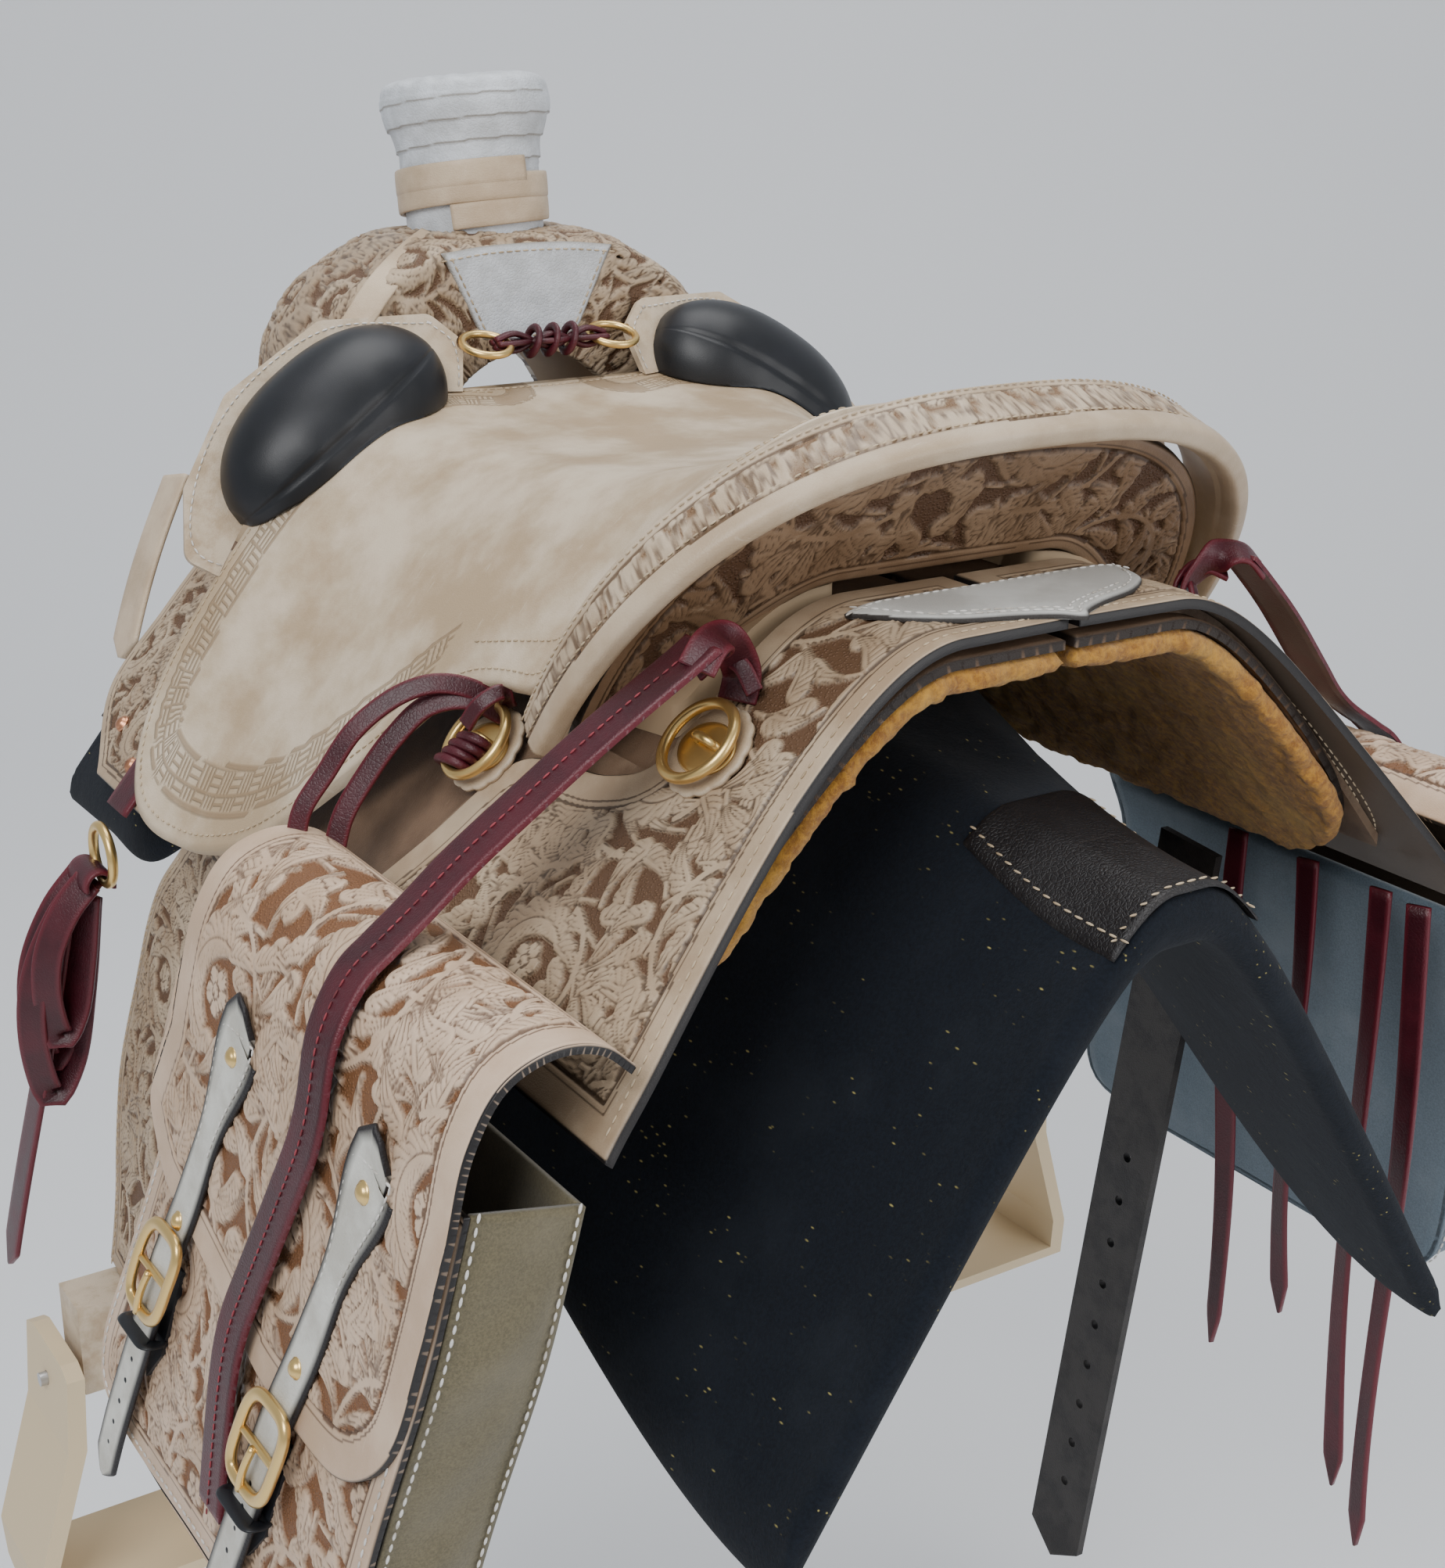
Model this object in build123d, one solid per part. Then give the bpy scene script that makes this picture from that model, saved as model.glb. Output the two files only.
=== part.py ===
"""Western ranch saddle with saddlebags on a felt pad, as separate pieces.

Frame: X to the off (right) side, Y forward to the horn, Z up.
The origin is on the centre line, where the pad's ridge rests on its support.
"""
from build123d import *
from math import cos, hypot, radians, sin, sqrt
import os

# Side layers: every skirt, jockey and yoke follows one section, offset outwards.
CROWN_Z = 48.0        # top of the skirts on the centre line
CROWN_HALF = 60.0     # half-width of the flat crown
SIDE_SLOPE = 1.25     # slope that the sides run out to
SIDE_ROUND = 60.0     # how gently the crown turns into the sides
SECTION_HALF = 300.0
SIDE_EDGE = 240.0     # lower edge of the skirts, measured across

FLEECE = (-17.0, -5.2)
SKIRT = (-5.0, 0.0)
JOCKEY = (0.2, 4.2)
YOKE = (4.6, 9.6)
PATCH = (9.8, 12.4)
BAR = (0.5, 11.5)
SPLIT = 3.0           # half the gap between left and right sheets

# Tree
REAR_END = -350.0
FRONT_END = 258.0
FORK_Y = (142.0, 236.0)
FORK_TOP = 166.0
FORK_HALF = 128.0
HORN_BASE = (0.0, 200.0, 162.0)
HORN_LEAN = 8.0       # degrees forward
NECK_R = 36.0
CAP_R = 50.0
CAP_TOP = 96.0        # along the horn's own axis

# Seat and cantle
SEAT_THICK = 9.0
CANTLE_HALF = 180.0
CANTLE_FOOT = (0.0, -188.0, -9.0)
CANTLE_REAR = 94.0
CANTLE_RISE = 153.0
CANTLE_SQUARE = 2.6   # how square the cantle's arch is
ROLL_WIDTH = 42.0

# Saddlebags, in a frame that hangs outwards from the yoke's edge
BAG_HINGE = (-240.0, -247.0, -82.0)
BAG_TILT = 12.0
BAG_DEPTH = 54.0
BAG_WALL = 3.5
FLAP_THICK = 4.0
STRAP_WIDE = 22.0
STRAP_THICK = 3.0
STRAP_ROWS = (-195.0, -334.0)
BUCKLE_ROWS = (-262.0, -276.0)
STRAP_LEAN = 0.36     # forward drift of a strap for each unit that it drops

# Fender and stirrup
FENDER_TOP = Vector(-247.0, 22.0, -122.0)
FENDER_FOOT = Vector(-316.0, 72.0, -425.0)
FENDER_THICK = 5.0
FENDER_HALF = 94.0
NECK_HALF = 30.0
STIRRUP_BOLT = (-318.0, 74.0, -442.0)
STIRRUP_DEEP = 76.0

# Flank billet
BILLET_TOP = Vector(230.0, -208.0, -138.0)
BILLET_FOOT = Vector(206.0, -166.0, -642.0)
BILLET_HOLES = 9

# Pad
PAD_REAR = -434.0
PAD_FRONT = 300.0
PAD_SAG = 68.0        # how far the ridge drops at the rear end

# Fittings
RING_R = 19.0
RING_WIRE = 2.6
SEAT_RING = (-172.0, -150.0)
JOCKEY_RING = (-140.0, -292.0)
TIE_RING = (-42.0, 110.0, 117.0)

os.makedirs("parts", exist_ok=True)


def save(shape, node):
    """Write one piece."""
    export_step(shape, f"parts/{node}.step")


def both_sides(left, name):
    """Write a left piece and its mirror image on the right."""
    save(left, f"{name}_left")
    save(mirror(left, about=Plane.YZ), f"{name}_right")


def shared(left, name):
    """Write a left piece and its mirror image as one node."""
    save(Compound(children=[left, mirror(left, about=Plane.YZ)]), name)


def unit(v):
    """The vector at length one."""
    return v.normalized()


def section_z(x, crown=CROWN_Z, half=CROWN_HALF, slope=SIDE_SLOPE, turn=SIDE_ROUND):
    """Height of a saddle-shaped section: a flat crown with sides that fall away."""
    u = max(abs(x) - half, 0.0)
    return crown - slope * (sqrt(u * u + turn * turn) - turn)


def layer_point(x, offset):
    """The point of the side section at x, moved outwards by offset."""
    u = max(abs(x) - CROWN_HALF, 0.0)
    fall = SIDE_SLOPE * u / sqrt(u * u + SIDE_ROUND * SIDE_ROUND)
    side = 1.0 if x > 0 else -1.0
    long = sqrt(1.0 + fall * fall)
    return (x + side * offset * fall / long, section_z(x) + offset / long)


def layer_band(depths, y_range):
    """A sheet of the side section between two depths, along the saddle."""
    low, high = depths
    steps = [-SECTION_HALF + i * SECTION_HALF / 12 for i in range(25)]
    with BuildSketch(Plane.XZ.offset(-y_range[1])) as face:
        with BuildLine():
            upper = Spline(*[layer_point(x, high) for x in steps])
            lower = Spline(*[layer_point(x, low) for x in steps])
            Line(upper @ 0, lower @ 0)
            Line(upper @ 1, lower @ 1)
        make_face()
    return extrude(face.sketch, amount=y_range[1] - y_range[0])


def under_layer(offset, y_range):
    """Everything below the side section moved outwards by offset."""
    steps = [-SECTION_HALF + i * SECTION_HALF / 12 for i in range(25)]
    with BuildSketch(Plane.XZ.offset(-y_range[1])) as face:
        with BuildLine():
            upper = Spline(*[layer_point(x, offset) for x in steps])
            Polyline(upper @ 0, (-SECTION_HALF, -600), (SECTION_HALF, -600), upper @ 1)
        make_face()
    return extrude(face.sketch, amount=y_range[1] - y_range[0])


def plan_prism(points, rounding=0.0):
    """A tall prism on a plan outline, with rounded corners."""
    with BuildSketch(Plane.XY.offset(-500)) as plan:
        with BuildLine():
            Polyline(*points, close=True)
        make_face()
        if rounding:
            fillet(plan.vertices(), rounding)
    return extrude(plan.sketch, amount=900)


def sheet_left(depths, outline, rounding=0.0):
    """A left sheet; the outline gives distances across as positive numbers."""
    points = [(-x, y) for x, y in outline]
    rows = [y for _, y in outline]
    band = layer_band(depths, (min(rows) - 5, max(rows) + 5))
    return band & plan_prism(points, rounding)


def side_sheets():
    """Fleeces, skirts, jockeys, the bag yoke's two halves and its joining patch."""
    skirt = [(SPLIT, REAR_END), (SIDE_EDGE - 8, REAR_END), (SIDE_EDGE, FRONT_END), (SPLIT, FRONT_END)]
    fleece = [(SPLIT, REAR_END + 4), (SIDE_EDGE - 12, REAR_END + 4), (SIDE_EDGE - 4, 252.0), (SPLIT, 252.0)]
    both_sides(sheet_left(SKIRT, skirt, 2.5), "skirt")
    shared(sheet_left(FLEECE, fleece, 2.5), "fleeces")
    rear = [(SPLIT, -262.0), (156.0, -262.0), (156.0, -170.0), (228.0, -128.0), (226.0, -340.0),
            (SPLIT, -338.0)]
    shared(sheet_left(JOCKEY, rear, 2.0), "rear_jockeys")
    yoke = [(SPLIT, -264.0), (156.0, -264.0), (168.0, -172.0), (250.0, -108.0),
            (250.0, -386.0), (150.0, -360.0), (SPLIT, -350.0)]
    both_sides(sheet_left(YOKE, yoke, 2.0), "bag_yoke")
    patch = [(-78.0, -292.0), (78.0, -292.0), (62.0, -330.0), (18.0, -345.0),
             (0.0, -358.0), (-18.0, -345.0), (-62.0, -330.0)]
    save(layer_band(PATCH, (-365.0, -285.0)) & plan_prism(patch, 2.0), "yoke_patch")
    front = [(154.0, 122.0), (236.0, 112.0), (262.0, 128.0), (258.0, 205.0), (228.0, 262.0), (154.0, 262.0)]
    both_sides(sheet_left(JOCKEY, front, 4.0), "front_jockey")


def bars():
    """The tree's two bars, which carry the fork and the cantle."""
    outline = [(56.0, -256.0), (140.0, -256.0), (150.0, -120.0), (120.0, -20.0), (150.0, 110.0),
               (150.0, 254.0), (70.0, 254.0), (56.0, 100.0)]
    shared(sheet_left(BAR, outline, 8.0), "bars")


def fork_outline(grow):
    """Front view of the fork, larger by grow all round the top."""
    return [(FORK_HALF + 20, 20.0), (FORK_HALF + grow, 96.0 + grow), (FORK_HALF - 26 + grow, 138.0 + grow),
            (62.0, FORK_TOP + grow), (-62.0, FORK_TOP + grow), (-FORK_HALF + 26 - grow, 138.0 + grow),
            (-FORK_HALF - grow, 96.0 + grow), (-FORK_HALF - 20, 20.0)]


def fork_block(grow, y_range):
    """A block with the fork's outline and its hollow gullet."""
    with BuildSketch(Plane.XZ.offset(-y_range[1])) as face:
        with BuildLine():
            Polyline(*fork_outline(grow), close=True)
        make_face()
        fillet(face.vertices().group_by(Axis.Y)[1:], 20)
    block = extrude(face.sketch, amount=y_range[1] - y_range[0])
    gullet = Pos(0, 0, 42) * Rot(90, 0, 0) * Cylinder(66, 900)
    return block - gullet - Pos(0, 0, -10) * Box(132, 900, 104)


def fork_pieces():
    """The wooden fork and the tooled leather that covers it."""
    fork = fork_block(0.0, FORK_Y)
    below = under_layer(BAR[1] + 0.3, (60.0, 300.0))
    fork = fork - below - horn_frame() * Pos(0, 0, 70) * Cylinder(NECK_R + 5.4, 131.2)
    save(fork, "fork")
    cover = fork_block(7.0, (FORK_Y[0] - 7, FORK_Y[1] + 7)) - fork_block(0.0, FORK_Y)
    cover = cover - below - horn_frame() * Cylinder(NECK_R + 9.2, 140)
    save(cover, "fork_cover")


def horn_frame():
    """The horn's own frame, at its base and leaning forward."""
    return Location(HORN_BASE, (-HORN_LEAN, 0, 0))


def revolve_profile(points):
    """A solid of revolution about the local Z axis."""
    with BuildSketch(Plane.XZ) as face:
        with BuildLine():
            Polyline(*points, close=True)
        make_face()
    return revolve(face.sketch, axis=Axis.Z)


def horn_pieces():
    """Horn core, its hide wrap, its leather cap and the strap round its neck."""
    place = horn_frame()
    core = revolve_profile([(0, 4.6), (NECK_R - 6, 4.6), (NECK_R - 6, 58), (CAP_R - 8, 74), (CAP_R - 8, 84),
                            (0, 84)])
    save(place * core, "horn_core")
    wrap = revolve_profile([(NECK_R - 5.8, 4.6), (NECK_R + 5, 4.6), (NECK_R + 5, 54), (CAP_R, 72),
                            (CAP_R, CAP_TOP - 6), (CAP_R - 7.8, CAP_TOP - 6), (CAP_R - 7.8, 73.8),
                            (NECK_R - 5.8, 57.8)])
    save(place * wrap, "horn_wrap")
    cap = revolve_profile([(0, 84.2), (CAP_R - 8, 84.2), (CAP_R - 8, CAP_TOP - 5.8), (CAP_R, CAP_TOP - 5.8),
                           (CAP_R - 4, CAP_TOP), (0, CAP_TOP)])
    save(place * cap, "horn_cap")
    strap = revolve_profile([(NECK_R + 5.2, 12), (NECK_R + 8.6, 12), (NECK_R + 8.6, 46), (NECK_R + 5.2, 46)])
    save(place * strap, "horn_strap")


def seat_crown(y):
    """Height of the seat's centre line."""
    stations = [(-285, 147), (-240, 127), (-190, 104), (-120, 87), (-30, 79), (60, 84), (120, 95)]
    for (y0, z0), (y1, z1) in zip(stations, stations[1:]):
        if y <= y1 or y1 == 120:
            part = (y - y0) / (y1 - y0)
            return z0 + (z1 - z0) * part
    return stations[-1][1]


def seat_section(y):
    """Half-width of the flat crown and side slope of the seat at y."""
    stations = [(-285, 60, 1.0), (-235, 62, 1.15), (-188, 64, 1.9), (-120, 78, 1.75), (20, 88, 1.6),
                (70, 112, 1.6),
                (120, 112, 1.6)]
    for (y0, h0, s0), (y1, h1, s1) in zip(stations, stations[1:]):
        if y <= y1 or y1 == 120:
            part = (y - y0) / (y1 - y0)
            return h0 + (h1 - h0) * part, s0 + (s1 - s0) * part
    return stations[-1][1:]


def seat_solid(top_gap, bottom_gap, outline, rounding):
    """A shell under the seat's surface between two depths, cut to a plan outline."""
    rows = [-282, -240, -200, -160, -110, -50, 10, 60, 95, 122]
    columns = [-300 + i * 25 for i in range(25)]
    faces = []
    for y in rows:
        half, slope = seat_section(y)
        heights = [section_z(x, seat_crown(y), half, slope, 90.0) for x in columns]
        with BuildSketch(Plane.XZ.offset(-y)) as face:
            with BuildLine():
                upper = Spline(*[(x, z - top_gap) for x, z in zip(columns, heights)])
                lower = Spline(*[(x, z - bottom_gap) for x, z in zip(columns, heights)])
                Line(upper @ 0, lower @ 0)
                Line(upper @ 1, lower @ 1)
            make_face()
        faces.append(face.sketch)
    return loft(faces) & plan_prism(outline, rounding)


SEAT_LEFT = [(-44, 105), (-72, 112), (-150, 96), (-262, 82), (-286, 56), (-278, 14), (-258, -36), (-218, -90),
             (-186, -128), (-172, -186), (-164, -230), (-128, -262), (-70, -276)]


def seat_keepout():
    """Everything below a line just clear of the seat's upper face."""
    wide = [(-300, 120), (-300, -100), (300, -100), (300, 120)]
    return seat_solid(-0.6, 60.0, wide, 0.0)


def seat_pieces():
    """The seat leather with its side jockeys."""
    outline = SEAT_LEFT + [(-x, y) for x, y in reversed(SEAT_LEFT)]
    seat = seat_solid(0.0, SEAT_THICK, outline, 5.0)
    save(seat - under_layer(YOKE[1] + 0.3, (-300, 130)) - fork_keepout(), "seat")


def fork_keepout():
    """Room for the covered fork in front of the seat."""
    return fork_block(7.4, (FORK_Y[0] - 7.4, FORK_Y[1] + 7.4))


def arch_point(angle, reach=0.0, back=0.0, scale=1.0):
    """A point of the cantle's arch: reach is outwards in its plane, back is behind it."""
    c, s = max(cos(angle), 0.0), sin(angle)
    stretch = (abs(s) ** CANTLE_SQUARE + c ** CANTLE_SQUARE) ** (-1 / CANTLE_SQUARE)
    across = (CANTLE_HALF * stretch + reach) * s * scale
    plane_h = (sqrt(CANTLE_REAR ** 2 + CANTLE_RISE ** 2) * stretch + reach) * c * scale
    lean = sqrt(CANTLE_REAR ** 2 + CANTLE_RISE ** 2)
    up_y, up_z = -CANTLE_REAR / lean, CANTLE_RISE / lean
    y = CANTLE_FOOT[1] + plane_h * up_y - back * up_z
    return Vector(across, y, CANTLE_FOOT[2] + plane_h * up_z + back * up_y)


def cantle_slab(reach, back_range):
    """A slab of the cantle's arch between two depths behind its front plane."""
    lean = sqrt(CANTLE_REAR ** 2 + CANTLE_RISE ** 2)
    normal = Vector(0, -CANTLE_RISE / lean, -CANTLE_REAR / lean)
    rim = [arch_point(radians(a), reach, back_range[0]) for a in range(-90, 91, 15)]
    edge = Edge.make_spline(rim)
    base = Edge.make_line(rim[-1], rim[0])
    face = Face(Wire([edge, base]))
    return extrude(face, amount=back_range[1] - back_range[0], dir=normal)


def cantle_pieces():
    """The cantle board, the tooled leather on its back and the rolled rim."""
    below = under_layer(PATCH[1] + 0.3, (-420, -100))
    board = cantle_slab(-10.0, (8.0, 20.0)) - below
    save(board, "cantle_board")
    save(cantle_slab(-6.0, (20.3, 25.3)) - below, "cantle_back")
    sections = []
    for a in range(-84, 85, 14):
        angle = radians(a)
        front = arch_point(angle, 3.0, 4.0)
        rear = arch_point(angle, 10.0, 4.0 + ROLL_WIDTH * (0.62 + 0.38 * cos(angle)))
        out = unit(arch_point(angle, 20.0, 4.0) - front)
        along = unit(rear - front)
        frame = Plane(origin=(front + rear) * 0.5, x_dir=along, z_dir=along.cross(out))
        with BuildSketch(frame) as face:
            SlotOverall((rear - front).length, 13.0)
        sections.append(face.sketch)
    save(loft(sections) - below, "cheyenne_roll")


def frame_on(origin, x_dir, z_dir):
    """A plane from its origin, its x direction and its normal."""
    return Plane(origin=origin, x_dir=x_dir, z_dir=z_dir)


def plate(frame, points, thick, rounding):
    """A flat plate on a frame, centred on its plane."""
    with BuildSketch(frame) as face:
        with BuildLine():
            Polyline(*points, close=True)
        make_face()
        if rounding:
            fillet(face.vertices(), rounding)
    return extrude(face.sketch, amount=thick / 2, both=True)


def ring(place, radius=RING_R, wire=RING_WIRE):
    """A round wire ring."""
    return place * Torus(radius, wire)


def pad_shape(y):
    """Crown height, flat half-width and side slope of the pad's upper face at y."""
    sag = min(max(-y / -PAD_REAR, 0.0), 1.0)
    ease = sag * sag * (3 - 2 * sag)
    return 29.0 - PAD_SAG * ease, 48.0 - 40.0 * ease, 1.25 + 0.3 * ease


def pad_pieces():
    """The felt pad and the leather that joins its halves along the ridge."""
    columns = [-288 + i * 24 for i in range(25)]

    def section(y, top, bottom):
        crown, half, slope = pad_shape(y)
        turn = 60.0 - 30.0 * (29.0 - crown) / PAD_SAG
        heights = [section_z(x, crown, half, slope, turn) for x in columns]
        with BuildSketch(Plane.XZ.offset(-y)) as face:
            with BuildLine():
                upper = Spline(*[(x, z + top) for x, z in zip(columns, heights)])
                lower = Spline(*[(x, z + bottom) for x, z in zip(columns, heights)])
                Line(upper @ 0, lower @ 0)
                Line(upper @ 1, lower @ 1)
            make_face()
        return face.sketch

    rows = [PAD_REAR, -380, -320, -260, -200, -130, -60, 0, 90, 200, PAD_FRONT]
    half_plan = [(250.0, PAD_FRONT), (250.0, 160.0), (226.0, 128.0), (222.0, -60.0), (200.0, PAD_REAR)]
    outline = half_plan + [(-x, y) for x, y in reversed(half_plan)]
    pad = loft([section(y, -1.0, -29.0) for y in rows]) & plan_prism(outline, 18.0)
    save(pad, "saddle_pad")
    spine = [(-42.0, PAD_REAR + 0.5), (42.0, PAD_REAR + 0.5), (42.0, -330.0), (-42.0, -330.0)]
    cover = loft([section(y, 2.0, -3.0) for y in (PAD_REAR, -380, -320)]) & plan_prism(spine, 6.0)
    save(cover - pad, "pad_spine")


def roll_frame():
    """Frame of the left bucking roll: x along it, z towards the rider."""
    inner = Vector(-76.0, 117.0, 116.0)
    outer = Vector(-202.0, 96.0, 34.0)
    along = unit(outer - inner)
    facing = unit(Vector(-0.126, -0.884, 0.451))
    facing = unit(facing - along * facing.dot(along))
    return frame_on((inner + outer) * 0.5, along, facing)


def bucking_rolls():
    """The padded rolls behind the fork, their backings and the tie between them."""
    frame = roll_frame()
    clear = seat_keepout()
    ball = scale(Sphere(1.0), by=(76.0, 46.0, 44.0))
    half = frame.location * (ball & Pos(0, 0, 100.3) * Box(400, 400, 200))
    both_sides(half - clear, "bucking_roll")
    rings = [Pos(side * TIE_RING[0], TIE_RING[1], TIE_RING[2]) * Rot(18, 0, 0) for side in (1, -1)]
    save(Compound(children=[place * Torus(14.0, 2.2) for place in rings]), "roll_tie_rings")
    leaf = [(-92, -14), (-40, -52), (30, -56), (84, -34), (112, -6), (104, 16), (60, 48), (0, 58), (-60, 44),
            (-96, 10)]
    backing = plate(frame.offset(-2.2), leaf, 4.0, 9.0) - clear - fork_keepout()
    backing = backing - rings[0] * Torus(14.0, 3.2)
    shared(backing - under_layer(BAR[1] + 0.3, (0.0, 300.0)), "roll_backings")
    save(Pos(0, TIE_RING[1], TIE_RING[2]) * Rot(0, 90, 0) * Cylinder(8.5, 44), "roll_tie")


def surface_frame(x, y, offset):
    """Frame on the left side section, with z along its outward normal."""
    spot = layer_point(x, offset)
    near = layer_point(x, offset + 10)
    normal = Vector(near[0] - spot[0], 0, near[1] - spot[1])
    return frame_on((spot[0], y, spot[1]), (0, 1, 0), normal)


def ring_fittings():
    """Scalloped rosettes with brass plates, and the rings that hang in them."""
    plates = []
    for spot in (SEAT_RING, JOCKEY_RING):
        base = surface_frame(spot[0], spot[1], YOKE[1] + 0.3)
        rosette = extrude(Sketch() + base * RegularPolygon(22, 14), amount=2.5)
        brass = extrude(Sketch() + base.offset(2.5) * Ellipse(12, 17), amount=1.6)
        plates.append(rosette + brass)
    plates += [mirror(plate_left, about=Plane.YZ) for plate_left in plates]
    save(Compound(children=plates), "ring_plates")
    for spot, name in ((SEAT_RING, "seat_ring"), (JOCKEY_RING, "jockey_ring")):
        base = surface_frame(spot[0], spot[1], YOKE[1] + 10.0)
        both_sides(ring(base.location, RING_R, RING_WIRE), name)


def bag_frame():
    """The bag's frame: x outwards and down its depth, y forward, z up along its back."""
    return Location(BAG_HINGE, (0, BAG_TILT, 0))


def bag_panel(grow, inner, outer):
    """A slab of the bag's outline between two depths from its back."""
    points = [(142 - grow, -16), (134 - grow, -70), (192 - grow, -262 + grow), (166 - grow, -290 + grow),
              (-70 + grow, -290 + grow), (-100 + grow, -262 + grow), (-134 + grow, -70), (-136 + grow, -16)]
    plane = Plane(origin=(-inner, 0, 0), x_dir=(0, 1, 0), z_dir=(1, 0, 0))
    face = Sketch() + plane * Polygon(*[(y, z) for y, z in points], align=None)
    return extrude(face, amount=outer - inner, dir=(-1, 0, 0))


def flap_band(low, high, y_range, rows):
    """A bent sheet over the bag, given by its middle line's (x, z) rows."""
    with BuildSketch(Plane.XZ.offset(-y_range[1])) as face:
        with BuildLine():
            upper = Spline(*moved_line(rows, high))
            lower = Spline(*moved_line(rows, low))
            Line(upper @ 0, lower @ 0)
            Line(upper @ 1, lower @ 1)
        make_face()
    return extrude(face.sketch, amount=y_range[1] - y_range[0])


FLAP_LINE = [(-240, -80), (-254, -68), (-274, -64), (-296, -72), (-311, -94), (-320, -126), (-331, -180),
             (-340, -224)]
TAIL_LINE = FLAP_LINE[5:] + [(-350, -262), (-359, -310), (-368, -360), (-375, -408)]


def moved_line(rows, distance):
    """A line of (x, z) rows moved sideways, outwards of the bag."""
    moved = []
    for i, (x, z) in enumerate(rows):
        x0, z0 = rows[max(i - 1, 0)]
        x1, z1 = rows[min(i + 1, len(rows) - 1)]
        long = hypot(x1 - x0, z1 - z0)
        moved.append((x + distance * (z1 - z0) / long, z - distance * (x1 - x0) / long))
    return moved


def side_prism(points, rounding=0.0):
    """A wide prism on a side-view outline of (y, z) points, on the left."""
    plane = Plane(origin=(-120, 0, 0), x_dir=(0, 1, 0), z_dir=(1, 0, 0))
    with BuildSketch(plane) as face:
        with BuildLine():
            Polyline(*points, close=True)
        make_face()
        if rounding:
            fillet(face.vertices(), rounding)
    return extrude(face.sketch, amount=400, dir=(-1, 0, 0))


def strap_outline(row, top, bottom, half):
    """Side-view outline of a strap that drifts forward as it drops."""
    drift = (top - bottom) * STRAP_LEAN
    return [(row, top + half), (row + half, top), (row + half + drift, bottom), (row + drift, bottom - half),
            (row - half + drift, bottom), (row - half, top)]


def bag_pieces():
    """Bag bodies, fronts, flaps, straps, buckles and chapes."""
    place = bag_frame()
    shell = bag_panel(0.0, 0.0, BAG_DEPTH - BAG_WALL - 0.2) - bag_panel(BAG_WALL, BAG_WALL, BAG_DEPTH + 5)
    mouth = place * Pos(-BAG_DEPTH / 2, 0, 0) * Box(BAG_DEPTH + 40, 400, 50)
    lift = Pos(-14, 0, -14)
    both_sides(lift * (place * shell - mouth), "bag_body")
    front = bag_panel(0.0, BAG_DEPTH - BAG_WALL, BAG_DEPTH)
    both_sides(lift * (place * front - mouth), "bag_front")
    flap_side = [(-108, -50), (-104, -150), (-86, -196), (-120, -226), (-250, -258), (-330, -258),
                 (-368, -226),
                 (-386, -120), (-386, -50)]
    flap = flap_band(-FLAP_THICK / 2, FLAP_THICK / 2, (-392, -80), FLAP_LINE) & side_prism(flap_side, 8.0)
    both_sides(flap, "bag_flap")
    outer = FLAP_THICK / 2 + 0.3
    strap_band = flap_band(outer, outer + STRAP_THICK, (-460, 60), TAIL_LINE)
    ends = (-396.0, -390.0)
    straps = [strap_band & side_prism(strap_outline(row, -104, end, STRAP_WIDE / 2), 4.0)
              for row, end in zip(STRAP_ROWS, ends)]
    both_sides(Compound(children=straps), "bag_straps")
    chapes = []
    for row, height in zip(STRAP_ROWS, BUCKLE_ROWS):
        centre = row + (-104 - height) * STRAP_LEAN - BAG_HINGE[1]
        low = height - BAG_HINGE[2] + 2
        point = [(centre - 11, low), (centre + 11, low), (centre + 22, low - 50), (centre + 14, low - 68),
                 (centre, low - 50)]
        plane = Plane(origin=(-BAG_DEPTH - 0.3, 0, 0), x_dir=(0, 1, 0), z_dir=(1, 0, 0))
        chape = extrude(Sketch() + plane * Polygon(*point, align=None), amount=3.0, dir=(-1, 0, 0))
        chapes.append(lift * (place * chape))
    chapes += [mirror(chape, about=Plane.YZ) for chape in chapes]
    save(Compound(children=chapes), "bag_chapes")
    buckle_band = flap_band(outer + STRAP_THICK + 0.3, outer + STRAP_THICK + 3.8, (-460, 60), TAIL_LINE)
    buckles = []
    for row, height in zip(STRAP_ROWS, BUCKLE_ROWS):
        centre = row + (-104 - height) * STRAP_LEAN
        outside = side_prism(buckle_outline(centre, height, 22, 27), 12.0)
        inside = side_prism(buckle_outline(centre, height, 17, 22), 8.0)
        buckles.append(buckle_band & (outside - inside))
        bar = side_prism(buckle_outline(centre, height, 18, 2))
        buckles[-1] = buckles[-1] + (buckle_band & bar)
    both_sides(Compound(children=buckles), "bag_buckles")


def buckle_outline(centre, height, half, tall):
    """Side-view outline of a buckle."""
    return [(centre - half, height - tall), (centre + half, height - tall), (centre + half, height + tall),
            (centre - half, height + tall)]


def fender_frame():
    """Frame of the left fender: x forward, y down along it, z outwards."""
    down = unit(FENDER_FOOT - FENDER_TOP)
    forward = unit(Vector(0, 1, 0) - down * down.Y)
    return frame_on(FENDER_TOP, forward, forward.cross(down))


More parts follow.
